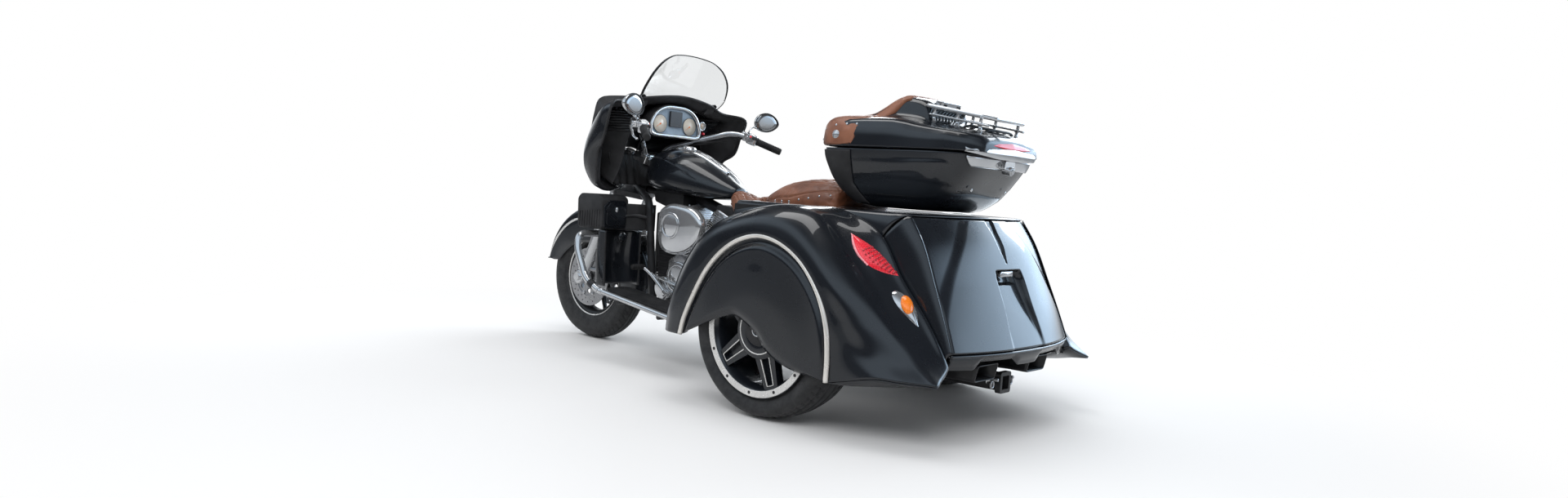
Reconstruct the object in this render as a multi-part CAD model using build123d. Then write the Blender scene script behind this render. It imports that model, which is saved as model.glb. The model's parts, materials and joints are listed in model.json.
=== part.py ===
"""Motor tricycle: a V-twin touring motorcycle with a two-wheeled trunk body at the rear.

Millimetres. +X forward, +Y left, +Z up. The model is laid out from the point on the
ground under the rear axle and moved at the end, so that its origin is the centre of
the footprint of the whole machine.
"""
from build123d import *
from math import atan2, cos, degrees, radians, sin, sqrt, tan
import os

# ------------------------------------------------------------------ driving dimensions
WHEELBASE = 1732.0
CYCLE_LENGTH = 1732.0        # front axle ahead of the motorcycle's own datum

# front wheel
FRONT_TYRE_R = 320.0
FRONT_TYRE_W = 130.0
FRONT_RIM_R = 213.0
FRONT_RIM_W = 96.0
FRONT_DISC_R = 150.0
DISC_THICKNESS = 5.0
FRONT_SPOKES = 10

# rear wheels
REAR_TYRE_R = 326.0
REAR_TYRE_W = 222.0
REAR_RIM_R = 247.0
REAR_TRACK = 1196.0          # between the wheels' centre planes
REAR_SPOKES = 5

# steering
RAKE = 25.5                  # degrees from upright
FORK_OFFSET = 40.0           # fork tubes ahead of the steering axis
FORK_SPREAD = 236.0          # between the fork tubes
FORK_TUBE_R = 23.0
FORK_LEG_R = 29.0
HEAD_Z = 955.0               # height of the top clamp on the steering axis
HEAD_LENGTH = 170.0
BAR_R = 12.7
GRIP_R = 17.0

# overall reach
FENDER_TAIL_X = -700.0
DOOR_FOOT_X = -732.0         # rearmost edge of the trunk door, at its foot on the centre line
DOOR_FOOT_Z = 324.0
WHEEL_ROOM = 26.0            # from a rear tyre's outer wall to the fender's outer face
WELL_ROOM = 31.0             # from a rear tyre's inner wall to the fender's inner face
WELL_LENGTH_ROOM = 6.0       # from a rear tyre's crown to the well's edge behind it
BODY_HALF_WIDTH = REAR_TRACK / 2 + REAR_TYRE_W / 2 + WHEEL_ROOM

# rear body
TRUNK_FLOOR_Z = 330.0
DECK_Z = 782.0
BODY_WALL = 6.0
SPRING_TOP_Z = 600.0
TRUNK_FRONT_X = -125.0       # bulkhead between the trunk and the axle bay
BODY_FRONT_X = 385.0 + WHEELBASE - CYCLE_LENGTH
TRIM_BEAD_R = 9.0
DOOR_THICKNESS = 18.0
DOOR_GAP = 7.0

# top box
BOX_SEAM_Z = 1025.0
BOX_WALL = 5.0

# engine
CRANK_X = 930.0
CRANK_Z = 415.0
V_ANGLE = 49.0
FIN_COUNT = 13
FIN_PITCH = 10.5

RUNNING_CLEARANCE = 0.3      # between a wheel's hub and its spindle

# sheet and small parts
SHEET = 3.0
FAIRING_WALL = 5.0
AXLE_R = 12.0
BOSS_HALF = 32.0             # half length of an axle boss
STEM_R = 17.0
DISC_Y = 74.0                # front discs' distance from the centre line
FENDER_HALF_WIDTH = 80.0     # front fender
FORK_KNEE_Z = 590.0          # top of the lower fork legs
FENDER_INNER_Y = REAR_TRACK / 2 - REAR_TYRE_W / 2 - WELL_ROOM
FENDER_CREST_Y = REAR_TRACK / 2
FRAME_TUBE_R = 19.0
EXHAUST_R = 22.0
FENDER_R = 372.0             # front fender over the tyre's crown
FENDER_TIP_RISE = 66.0       # front fender's tip above the axle
CRASH_BAR_R = 16.0

# origin of the finished part: middle of the length, on the ground
CYCLE_X = WHEELBASE - CYCLE_LENGTH
NOSE_X = WHEELBASE + sqrt(FENDER_R**2 - FENDER_TIP_RISE**2)
ORIGIN = Vector((NOSE_X + DOOR_FOOT_X) / 2, 0, 0)

# ------------------------------------------------------------------ worked-out places
FRONT_AXLE = Vector(CYCLE_LENGTH, 0, FRONT_TYRE_R)
STEER_UP = Vector(-sin(radians(RAKE)), 0, cos(radians(RAKE)))
STEER_FORWARD = Vector(cos(radians(RAKE)), 0, sin(radians(RAKE)))


def on_fork(height):
    """Point on the fork tubes' line, between the tubes, at a height above the ground."""
    return FRONT_AXLE + STEER_UP * ((height - FRONT_AXLE.Z) / STEER_UP.Z)


def on_steering_axis(height):
    """Point on the steering axis nearest to the fork line's point at that height."""
    return on_fork(height) - STEER_FORWARD * FORK_OFFSET


# ------------------------------------------------------------------ helpers
def side_slab(outline, y0, y1):
    """Solid from a side outline (x, z) between two distances to the left."""
    return extrude(Plane.XZ.offset(-y1) * outline, amount=y1 - y0)


def front_slab(outline, x0, x1):
    """Solid from a front outline (y, z) between two distances forward."""
    return extrude(Plane.YZ.offset(x0) * outline, amount=x1 - x0)


def level_slab(outline, z0, z1):
    """Solid from a plan outline (x, y) between two heights."""
    return extrude(Plane.XY.offset(z0) * outline, amount=z1 - z0)


def rounded(points, radius):
    """Closed face through corner points, with rounded corners."""
    return make_face(FilletPolyline(*points, radius=radius, close=True))


def tube(points, radius, bend=40.0):
    """Round bar through points, with bends of one radius."""
    path = FilletPolyline(*points, radius=bend) if len(points) > 2 else Line(*points)
    return sweep(Plane(origin=path @ 0, z_dir=path % 0) * Circle(radius), path=path)


def rod(start, end, radius):
    """Straight round bar between two points."""
    start, end = Vector(*start), Vector(*end)
    return extrude(Plane(origin=start, z_dir=end - start) * Circle(radius),
                   amount=(end - start).length)


def turned(profile, centre):
    """Ring or disc about the line through a point along +Y; profile is (radius, y)."""
    plane = Plane(origin=centre, x_dir=(1, 0, 0), z_dir=(0, 0, 1))
    return revolve(plane * profile, axis=Axis(centre, (0, 1, 0)))


def spun(shape, centre, count):
    """Copies of a shape about the line through a point along +Y."""
    axis = Axis(centre, (0, 1, 0))
    return [shape.rotate(axis, 360 / count * i) for i in range(count)]


def pair(shape):
    """A left-hand shape and its mirror image on the right."""
    return Part() + [shape, mirror(shape, about=Plane.XZ)]


# ------------------------------------------------------------------ wheels
def tyre(centre, outer, width, rim_r):
    """Road tyre: rounded crown, full sidewalls, bead seated on the rim."""
    half = width / 2
    bead = rim_r - 12
    side = (outer + rim_r) / 2
    crown = outer - 0.18 * (outer - rim_r)
    profile = make_face([
        Line((bead, -0.72 * half), (rim_r + 4, -0.80 * half)),
        ThreePointArc((rim_r + 4, -0.80 * half), (side, -half), (crown, -0.80 * half)),
        ThreePointArc((crown, -0.80 * half), (outer, 0), (crown, 0.80 * half)),
        ThreePointArc((crown, 0.80 * half), (side, half), (rim_r + 4, 0.80 * half)),
        Line((rim_r + 4, 0.80 * half), (bead, 0.72 * half)),
        Line((bead, 0.72 * half), (bead, -0.72 * half)),
    ])
    return turned(profile, centre)


def rim_barrel(centre, lip_r, width):
    """Rim: drop-centre barrel between two lips."""
    half = width / 2
    seat = lip_r - 12.3
    profile = Polyline(
        (lip_r, -half), (lip_r, -half + 6), (seat, -half + 9), (seat, half - 9),
        (lip_r, half - 6), (lip_r, half), (seat - 14, half), (seat - 26, half - 22),
        (seat - 26, 22 - half), (seat - 14, -half), close=True)
    return turned(make_face(profile), centre)


def disc_plate(centre, radius, inner, y, holes, hole_r):
    """Drilled brake disc."""
    ring = turned(Pos((radius + inner) / 2, y) * Rectangle(radius - inner, DISC_THICKNESS), centre)
    drill = rod((centre.X + radius - 18, y - 10, centre.Z), (centre.X + radius - 18, y + 10, centre.Z), hole_r)
    drill_in = rod((centre.X + radius - 36, y - 10, centre.Z), (centre.X + radius - 36, y + 10, centre.Z),
                   hole_r)
    half_step = 180 / holes
    inner_row = [hole.rotate(Axis(centre, (0, 1, 0)), half_step) for hole in spun(drill_in, centre, holes)]
    return ring - spun(drill, centre, holes) - inner_row


def build_front_wheel():
    centre = FRONT_AXLE
    rubber = tyre(centre, FRONT_TYRE_R, FRONT_TYRE_W, FRONT_RIM_R)
    spoke_outline = Polyline((38, -17), (190, -10), (190, 10), (38, 17), close=True)
    spoke = side_slab(Pos(centre.X, centre.Z) * make_face(spoke_outline), -14, 14)
    bore = AXLE_R + RUNNING_CLEARANCE
    hub = turned(Pos((bore + 46) / 2, 0) * Rectangle(46 - bore, 116), centre)
    flange = turned(Pos(44, 0) * Rectangle(40, 40), centre)
    rim = rim_barrel(centre, FRONT_RIM_R, FRONT_RIM_W)
    wheel = rim + hub + flange + spun(spoke, centre, FRONT_SPOKES)
    disc = disc_plate(centre, FRONT_DISC_R, 100.0, DISC_Y, 20, 4.0)
    carrier = turned(Pos(68, DISC_Y - 5.5) * Rectangle(70, 6), centre)
    window = side_slab(Pos(centre.X + 74, centre.Z) * Circle(13), DISC_Y - 20, DISC_Y + 20)
    discs = pair(disc + (carrier - spun(window, centre, 8)))
    return {"front_tyre": rubber - wheel, "front_rim": wheel, "front_brake_discs": discs}


def build_rear_wheel():
    """Left rear wheel: tyre and five-spoke rim with pockets through the spokes."""
    centre = Vector(0, REAR_TRACK / 2, REAR_TYRE_R)
    rubber = tyre(centre, REAR_TYRE_R, REAR_TYRE_W, REAR_RIM_R)
    rim = rim_barrel(centre, REAR_RIM_R, REAR_TYRE_W - 12)
    face_y = REAR_TYRE_W / 2 - 8
    spoke_outline = rounded([(52, -44), (232, -30), (232, 30), (52, 44)], 8)
    spoke = side_slab(Pos(0, centre.Z) * spoke_outline, centre.Y + face_y - 34, centre.Y + face_y - 4)
    pocket_outline = rounded([(96, -14), (200, -11), (200, 11), (96, 14)], 3)
    pocket = side_slab(Pos(0, centre.Z) * pocket_outline, centre.Y - REAR_TYRE_W, centre.Y + REAR_TYRE_W)
    hub = turned(Pos(56, 40) * Rectangle(50, 140), centre)
    cap = turned(Pos(20, face_y) * Rectangle(40, 14), centre)
    plate = turned(Pos(50, face_y - 10) * Rectangle(100, 12), centre)
    wheel = rim + hub + cap + plate + spun(spoke, centre, REAR_SPOKES) - spun(pocket, centre, REAR_SPOKES)
    return rubber - wheel, wheel


# ------------------------------------------------------------------ front end
def fork_side(height, offset=0.0):
    """Point on the left fork leg's line, optionally further out."""
    point = on_fork(height)
    return Vector(point.X, FORK_SPREAD / 2 + offset, point.Z)


def build_fork():
    """Two telescopic legs: chrome upper tubes, lower legs with axle bosses."""
    knee = fork_side(FORK_KNEE_Z)
    foot = fork_side(FRONT_AXLE.Z - 14)
    axle_point = fork_side(FRONT_AXLE.Z)
    upper = rod(knee, fork_side(HEAD_Z + 30), FORK_TUBE_R)
    lower = rod(foot, knee, FORK_LEG_R)
    collar = rod(knee - STEER_UP * 8, knee + STEER_UP * 16, FORK_LEG_R + 3)
    across = Vector(0, BOSS_HALF, 0)
    boss = rod(axle_point - across, axle_point + across, 34)
    hole = rod(axle_point - across * 3, axle_point + across * 3, AXLE_R)
    return pair(upper + lower + collar + boss - hole)


def build_fork_clamps():
    """Upper and lower clamps with the steering stem between them."""
    half = FORK_SPREAD / 2
    clamps = Part()
    for height in (HEAD_Z, HEAD_Z - HEAD_LENGTH):
        plane = Plane(origin=on_steering_axis(height), x_dir=(0, 1, 0), z_dir=STEER_UP)
        pads = Circle(38) + [Pos(side * half, -FORK_OFFSET) * Circle(36) for side in (-1, 1)]
        clamps += extrude(plane * make_hull(pads.edges()), amount=14, both=True)
    clamps += rod(on_steering_axis(HEAD_Z - HEAD_LENGTH), on_steering_axis(HEAD_Z), STEM_R)
    holes = pair(rod(fork_side(HEAD_Z - 400), fork_side(HEAD_Z + 200), FORK_TUBE_R))
    return clamps - holes


def build_calipers():
    """Four-piston calipers behind the fork legs, open over the disc."""
    centre = FRONT_AXLE + Vector(-112, 0, 30)
    block = rounded([(-30, -52), (26, -52), (36, 0), (26, 52), (-30, 52)], 8)
    body = side_slab(Pos(centre.X, centre.Z) * block, DISC_Y - 20, DISC_Y + 24)
    slot = side_slab(Pos(FRONT_AXLE.X, FRONT_AXLE.Z) * Circle(FRONT_DISC_R + 6), DISC_Y - 14, DISC_Y + 8)
    lug_end = fork_side(centre.Z + 20)
    lug = rod((centre.X + 10, DISC_Y + 16, centre.Z + 10), lug_end, 12)
    leg = rod(fork_side(FRONT_AXLE.Z - 20), fork_side(FORK_KNEE_Z), FORK_LEG_R)
    return pair(body + lug - slot - leg)


def build_front_fender():
    """Valanced fender: a shell over the tyre with deep sides and a flicked front tip."""
    crown = 34.0

    def section(inset):
        r_out, w = FENDER_R - inset, FENDER_HALF_WIDTH - inset
        return make_face([
            Line((120, -w), (r_out - crown, -w)),
            ThreePointArc((r_out - crown, -w), (r_out, 0), (r_out - crown, w)),
            Line((r_out - crown, w), (120, w)),
            Line((120, w), (120, -w)),
        ])
    shell = turned(section(0), FRONT_AXLE) - turned(section(SHEET), FRONT_AXLE)
    window = [(700, FENDER_TIP_RISE), (250, FENDER_TIP_RISE), (205, 120), (120, 165), (0, 178), (-120, 158), (-215, 80),
              (-262, -20), (-300, -90), (-700, -110), (-700, 700), (700, 700)]
    shell = shell & side_slab(Pos(FRONT_AXLE.X, FRONT_AXLE.Z) * rounded(window, 12), -200, 200)
    height = FRONT_AXLE.Z + 215
    foot = fork_side(height)
    stay = rod((foot.X, FENDER_HALF_WIDTH, foot.Z), foot, 9)
    leg = rod(fork_side(FRONT_AXLE.Z), fork_side(FORK_KNEE_Z), FORK_LEG_R)
    return shell + pair(stay - leg)


def build_front_axle():
    reach = FORK_SPREAD / 2 + BOSS_HALF
    bar = rod((FRONT_AXLE.X, -reach, FRONT_AXLE.Z), (FRONT_AXLE.X, reach, FRONT_AXLE.Z), AXLE_R)
    nut = rod((FRONT_AXLE.X, reach, FRONT_AXLE.Z), (FRONT_AXLE.X, reach + 10, FRONT_AXLE.Z), 19)
    return bar + pair(nut)


# fork-mounted fairing: station x, then (half width, height) of its corners from the top
FAIRING_STATIONS = [
    (1170.0, [(180, 1250), (442, 1196), (452, 1090), (444, 1000), (396, 792), (250, 816)]),
    (1290.0, [(180, 1240), (418, 1184), (450, 1085), (438, 965), (388, 776), (250, 806)]),
    (1375.0, [(180, 1206), (372, 1136), (416, 1045), (420, 930), (358, 804), (240, 832)]),
    (1482.0, [(150, 1108), (296, 1062), (338, 990), (338, 910), (262, 862), (180, 872)]),
    (1590.0, [(50, 1004), (90, 988), (109, 945), (100, 906), (70, 893), (35, 892)]),
]
RIM_FOOT = (1330.0, 780.0)   # x and z of the rear rim's lower corners
RIM_LEAN = 0.365             # how far the rim leans back for each millimetre up
DASH_X = 1302.0
FORK_ARCH_HALF = 206.0
FORK_ARCH_TOP = 905.0
DASH_ARCH_TOP = 1080.0


def fairing_bowl(inset, back_growth):
    """Loft of the fairing's outline, inset evenly from its skin."""
    faces = []
    for index, (x, corners) in enumerate(FAIRING_STATIONS):
        if index == 0:
            x -= back_growth
        if index == len(FAIRING_STATIONS) - 1:
            x -= inset
        middle = (corners[0][1] + corners[-1][1]) / 2
        left = [(half - inset, z - inset if z > middle else z + inset) for half, z in corners]
        right = [(-half, z) for half, z in reversed(left)]
        faces.append(Plane.YZ.offset(x) * rounded(left + right, 34))
    return loft(faces)


def behind_rim():
    """Everything behind the fairing's leaning rear rim."""
    foot_x, foot_z = RIM_FOOT
    low, high = 700.0, 1300.0
    edge = [(foot_x - RIM_LEAN * (z - foot_z), z) for z in (low, high)]
    return side_slab(make_face(Polyline((900, low), *edge, (900, high), close=True)), -600, 600)


def build_fairing():
    """Batwing fairing: outer bowl and the dished inner panel with two grille recesses."""
    outer = fairing_bowl(0, 0) - behind_rim()
    inner = fairing_bowl(FAIRING_WALL, 10)
    arch = [(-FORK_ARCH_HALF, 700), (FORK_ARCH_HALF, 700), (FORK_ARCH_HALF - 20, FORK_ARCH_TOP),
            (20 - FORK_ARCH_HALF, FORK_ARCH_TOP)]
    shell = outer - inner - front_slab(rounded(arch, 30), 1200, 1650)
    slab = front_slab(Pos(0, 1000) * Rectangle(2000, 1000), DASH_X, DASH_X + 9)
    bar_arch = [(-278, 700), (278, 700), (264, 960), (222, DASH_ARCH_TOP), (-222, DASH_ARCH_TOP),
                (-264, 960)]
    panel = (inner & slab) - front_slab(rounded(bar_arch, 40), 1200, 1650)
    grille = front_slab(rounded([(205, 1085), (350, 1075), (352, 1150), (215, 1165)], 12),
                        DASH_X - 6, DASH_X)
    slats = Part() + [front_slab(Pos(280, 1092 + 13 * i) * Rectangle(118, 5), DASH_X - 10, DASH_X - 6)
                      for i in range(5)]
    return outer, shell, panel + pair(grille + slats)


def build_instruments():
    """Instrument pod: D-shaped bezel with a face, two round gauges and a screen between."""
    front = 1232.0
    outline = [(-124, 1063), (124, 1063), (160, 1086), (160, 1138), (120, 1180), (64, 1203), (-64, 1203),
               (-120, 1180), (-160, 1138), (-160, 1086)]
    inner = [(0.9 * y, 1131 + 0.86 * (z - 1131)) for y, z in outline]
    pod = front_slab(rounded(outline, 22), front, DASH_X)
    pod -= front_slab(rounded(inner, 16), front - 10, front + 12)
    gauges = pair(front_slab(Pos(98, 1116) * Circle(42), front + 8, front + 12))
    screen = front_slab(Pos(0, 1142) * Rectangle(80, 72), front + 8, front + 12)
    return pod + gauges + screen


def build_headlamp():
    """Round headlamp in a bright shell on the fairing's nose, with two passing lamps."""
    nose = FAIRING_STATIONS[-1][0]
    lamp = front_slab(Pos(0, 940) * Circle(58), nose, nose + 34)
    lens = Pos(nose + 34, 0, 940) * scale(Sphere(52), by=(0.35, 1, 1))
    return lamp + lens


def build_windshield(fairing_solid):
    """Clear screen: part of a leaning cylinder cut to an egg-shaped outline."""
    lean = radians(33.0)
    radius = 520.0
    foot = Vector(1301, 0, 1210)
    forward = Vector(cos(lean), 0, sin(lean))
    upward = Vector(-sin(lean), 0, cos(lean))
    axis_plane = Plane(origin=foot - forward * radius - upward * 200, x_dir=forward, z_dir=upward)
    wall = Circle(radius) - Circle(radius - 4)
    drum = extrude(axis_plane * wall, amount=700)
    egg = [(-130, 1186), (130, 1186), (262, 1215), (276, 1290), (226, 1392), (110, 1442), (-110, 1442),
           (-226, 1392), (-276, 1290), (-262, 1215)]
    sheet = drum & front_slab(rounded(egg, 45), 1000, 1600)
    return sheet - fairing_solid


def bar_points():
    """Handlebar's left half, from the clamp to the grip's inner end."""
    riser = on_steering_axis(HEAD_Z)
    return [(riser.X - 6, 48, riser.Z + 20), (riser.X - 24, 70, riser.Z + 70), (1250, 205, 1064),
            (1135, 318, 1112), GRIP_END]


GRIP_END = (941.0, 447.0, 1028.0)


def along_grip(distance):
    """Point on the left grip's line, measured in from its outer end."""
    inner = Vector(1135, 318, 1112)
    outer = Vector(*GRIP_END)
    return outer + (inner - outer).normalized() * distance


def build_handlebar():
    points = bar_points()
    half = tube(points, BAR_R, bend=45)
    across = rod((points[0][0], -62, points[0][2]), (points[0][0], 62, points[0][2]), BAR_R)
    riser_top = Vector(points[0][0], 48, points[0][2])
    riser = rod(riser_top - STEER_UP * 18, riser_top, 20)
    sleeve = rod(along_grip(-10), along_grip(132), GRIP_R + 1)
    top = Plane(origin=on_steering_axis(HEAD_Z) + STEER_UP * 14, x_dir=(0, 1, 0), z_dir=-STEER_UP)
    clamp_body = extrude(top * Rectangle(400, 200), amount=60)
    return across + pair(half + riser - sleeve) - clamp_body


def build_grips():
    """Rubber grips with end caps."""
    grip = rod(along_grip(0), along_grip(120), GRIP_R)
    cap = rod(along_grip(-8), along_grip(0), GRIP_R - 1)
    return pair(grip + cap)


def build_hand_controls():
    """Switch housings, master cylinders and levers."""
    centre = along_grip(148)
    direction = (along_grip(180) - along_grip(120)).normalized()
    housing_plane = Plane(origin=along_grip(121), z_dir=direction)
    housing = extrude(housing_plane * Pos(0, 0) * Circle(30), amount=58)
    reservoir = Pos(centre.X + 42, centre.Y + 6, centre.Z + 16) * Box(66, 52, 34)
    lever = tube([(centre.X + 62, centre.Y + 4, centre.Z + 6), (centre.X + 20, centre.Y + 52, centre.Z - 4),
                  (centre.X - 88, centre.Y + 122, centre.Z - 44)], 6.5, bend=30)
    return pair(housing + reservoir + lever)


def build_mirrors():
    """Teardrop mirrors on curved stems from the control housings."""
    head = Vector(1037, 443, 1166)
    root = along_grip(150) + Vector(34, 8, 33)
    stem = tube([root, root + Vector(4, 40, 34), head + Vector(14, -8, -8)], 5.0, bend=18)
    outline = make_face([
        ThreePointArc((-52, -34), (-70, 10), (-40, 44)),
        ThreePointArc((-40, 44), (20, 56), (76, 22)),
        ThreePointArc((76, 22), (84, -2), (60, -22)),
        ThreePointArc((60, -22), (8, -44), (-52, -34)),
    ])
    plane = Plane(origin=head + Vector(16, 0, 0), x_dir=(0.22, 0.975, 0), z_dir=(-0.975, 0.22, 0))
    shell = extrude(plane * outline, amount=20)
    return pair(stem + shell)


# ------------------------------------------------------------------ frame and engine
def build_frame():
    """Backbone, steering head, twin downtubes and the cradle under the engine."""
    head_low, head_high = on_steering_axis(HEAD_Z - HEAD_LENGTH + 16), on_steering_axis(HEAD_Z - 16)
    head = rod(head_low, head_high, 31) - rod(head_low - STEER_UP * 40, head_high + STEER_UP * 40,
                                              STEM_R + RUNNING_CLEARANCE)
    middle = (head_low + head_high) * 0.5
    bore = rod(head_low - STEER_UP * 40, head_high + STEER_UP * 40, STEM_R + RUNNING_CLEARANCE)
    backbone = tube([(middle.X - 14, 0, middle.Z), (1150, 0, 805), (820, 0, 700), (600, 0, 664)], 27, bend=120) - bore
    rail = tube([(head_low.X - 6, 22, head_low.Z + 20), (1238, 140, 740), (1160, 150, 275),
                 (1080, 150, 222), (520, 150, 222), (448, 150, 290), (430, 130, 640), (640, 20, 664)],
                FRAME_TUBE_R, bend=55) - bore
    seat_rail = tube([(640, 10, 668), (500, 150, 672), (388, 150, 672)], 14, bend=50)
    cross = [rod((x, -150, z), (x, 150, z), 15) for x, z in ((520, 222), (1080, 222), (436, 500))]
    return head + backbone + pair(rail) + pair(seat_rail) + cross


def along_cylinder(lean_sign, distance):
    lean = radians(V_ANGLE / 2) * lean_sign
    return Vector(CRANK_X + sin(lean) * distance, 0, CRANK_Z + cos(lean) * distance)


def cylinder_plane(lean_sign, distance):
    lean = radians(V_ANGLE / 2) * lean_sign
    return Plane(origin=along_cylinder(lean_sign, distance), x_dir=(0, 1, 0),
                 z_dir=(sin(lean), 0, cos(lean)))


CASE_TOP = 118.0             # cylinder base, from the crank
HEAD_START = 118.0 + FIN_COUNT * FIN_PITCH
HEAD_HEIGHT = 78.0


def build_engine_case():
    """Crankcase and gearbox, plain outside: the engine's heavy block."""
    outline = [(1085, 300), (1098, 430), (1040, 520), (930, 545), (820, 520), (700, 505), (560, 470),
               (545, 330), (600, 262), (1010, 258)]
    block = side_slab(rounded(outline, 26), -112, 112)
    fill = []
    for lean_sign in (-1, 1):
        fill.append(extrude(cylinder_plane(lean_sign, 0) * Circle(62), amount=CASE_TOP))
    return block + fill


def build_cylinders():
    """Two finned barrels."""
    barrels = Part()
    for lean_sign in (-1, 1):
        barrel = extrude(cylinder_plane(lean_sign, CASE_TOP) * Circle(52), amount=FIN_COUNT * FIN_PITCH)
        for i in range(FIN_COUNT):
            plane = cylinder_plane(lean_sign, CASE_TOP + (i + 0.4) * FIN_PITCH)
            barrel += extrude(plane * RectangleRounded(176, 138, 24), amount=3.6)
        beyond = side_slab(Pos(CRANK_X - lean_sign * 198, 700) * Rectangle(400, 1000), -200, 200)
        barrels += barrel - beyond
    return barrels


def build_cylinder_heads():
    """Finned heads with rocker covers."""
    heads = Part()
    for lean_sign in (-1, 1):
        heads += extrude(cylinder_plane(lean_sign, HEAD_START) * RectangleRounded(150, 118, 24),
                         amount=HEAD_HEIGHT - 24)
        for i in range(4):
            plane = cylinder_plane(lean_sign, HEAD_START + (i + 0.4) * FIN_PITCH)
            heads += extrude(plane * RectangleRounded(180, 140, 24), amount=4)
        heads += extrude(cylinder_plane(lean_sign, HEAD_START + HEAD_HEIGHT - 26)
                         * RectangleRounded(176, 128, 40), amount=26)
    return heads - side_slab(Pos(CRANK_X, 800) * Rectangle(600, 100), -28, 28)


def build_covers():
    """Primary cover on the left, cam cover and pushrod tubes on the right."""
    left = rounded([(1060, 330), (1062, 480), (980, 520), (700, 490), (640, 440), (640, 330),
                    (700, 290), (980, 285)], 34)
    primary = side_slab(left, 112, 168)
    dome = side_slab(Pos(975, 400) * Circle(72), 168, 182)
    clutch = side_slab(Pos(725, 392) * Circle(60), 168, 184)
    cam = side_slab(rounded([(1040, 340), (1040, 500), (820, 500), (820, 340)], 50), -158, -112)
    rods = []
    for lean_sign in (-1, 1):
        for shift in (-16, 16):
            start = along_cylinder(lean_sign, 60) + Vector(shift, -132, 0)
            end = along_cylinder(lean_sign, HEAD_START + 10) + Vector(shift * 1.6, -84, 0)
            rods.append(rod(start, end, 9))
    return primary + dome + clutch + cam + rods


def build_air_cleaner():
    """Large rounded cover on the engine's left with a raised round inset."""
    outline = rounded([(1064, 575), (1072, 690), (1000, 735), (850, 722), (808, 640), (880, 530),
                       (1000, 512)], 44)
    cover = side_slab(outline, 178, 236)
    inset = side_slab(Pos(975, 640) * Circle(62), 236, 246)
    neck = rod((940, 60, 620), (940, 178, 620), 38)
    return cover + inset + neck


def build_exhaust():
    """Right-hand headers, joined and led back under the frame to two tapered tips."""
    front = tube([(1104, -70, 660), (1148, -84, 640), (1136, -98, 180), (1100, -204, 174),
                  (800, -204, 182), (420, -196, 186)], EXHAUST_R, bend=40)
    rear = tube([(728, -70, 640), (668, -140, 610), (648, -204, 480), (655, -204, 250), (600, -204, 189)],
                EXHAUST_R, bend=36)
    joined = (front + rear).moved(Pos(CYCLE_X, 0, 0))
    link = tube([(CYCLE_X + 420, -196, 186), (CYCLE_X + 250, -120, 182), (-120, -120, 182),
                 (-250, -200, 205), (-420, -200, 222)], EXHAUST_R, bend=60)
    other = tube([(CYCLE_X + 250, -120, 182), (CYCLE_X + 120, 60, 182), (-120, 120, 182), (-250, 200, 205),
                  (-420, 200, 222)], EXHAUST_R, bend=60)
    return joined + link + other


def build_silencers():
    """Two faceted silencers, widening to slanted open tips."""
    small = Plane.YZ.offset(-400) * (Pos(200, 222) * RectangleRounded(86, 58, 12))
    wide = Plane.YZ.offset(-590) * (Pos(200, 236) * RectangleRounded(150, 64, 12))
    body = loft([small, wide])
    tip = extrude(wide, amount=-80)
    tip_bore = front_slab(Pos(200, 236) * RectangleRounded(138, 52, 8), -690, -560)
    slant = side_slab(make_face(Polyline((-700, 180), (-642, 180), (-668, 300), (-700, 300), close=True)),
                      100, 300)
    return pair(body + tip - tip_bore - slant)


# ------------------------------------------------------------------ tank and saddles
# tank station x, half width, top z, bottom z
TANK_STATIONS = [
    (1330.0, 62.0, 940.0, 838.0),
    (1276.0, 128.0, 980.0, 800.0),
    (1170.0, 172.0, 1000.0, 778.0),
    (1010.0, 170.0, 968.0, 772.0),
    (880.0, 126.0, 905.0, 772.0),
    (782.0, 66.0, 846.0, 778.0),
]


def build_tank():
    """Teardrop fuel tank, closed, sitting over the backbone."""
    faces = []
    for x, half, top, bottom in TANK_STATIONS:
        height = top - bottom
        points = [(0.34 * half, top), (0.86 * half, top - 0.22 * height), (half, bottom + 0.38 * height),
                  (0.84 * half, bottom), (-0.84 * half, bottom), (-half, bottom + 0.38 * height),
                  (-0.86 * half, top - 0.22 * height), (-0.34 * half, top)]
        faces.append(Plane.YZ.offset(x) * rounded(points, 0.26 * half))
    tank = loft(faces)
    tunnel = side_slab(rounded([(1500, 860), (1340, 905), (1150, 850), (700, 800), (700, 600), (1500, 600)],
                               10), -34, 34)
    return tank - tunnel


def build_console(tank):
    """Bright strap along the tank's ridge with the filler cap at its front."""
    outline = rounded([(1170, -46), (1190, -30), (1190, 30), (1170, 46), (900, 22), (868, 12), (868, -12),
                       (900, -22)], 8)
    strap = level_slab(outline, 780, 1100)
    above = loft([Plane.YZ.offset(x) * (Pos(0, top - 8) * Rectangle(2 * half, 40))
                  for x, half, top, _ in TANK_STATIONS[1:]])
    shell = (strap & above) - tank
    cap_centre = Vector(1120, 0, 1004)
    cap = rod(cap_centre - Vector(0, 0, 30), cap_centre + Vector(0, 0, 12), 34) - tank
    return shell + cap


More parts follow.
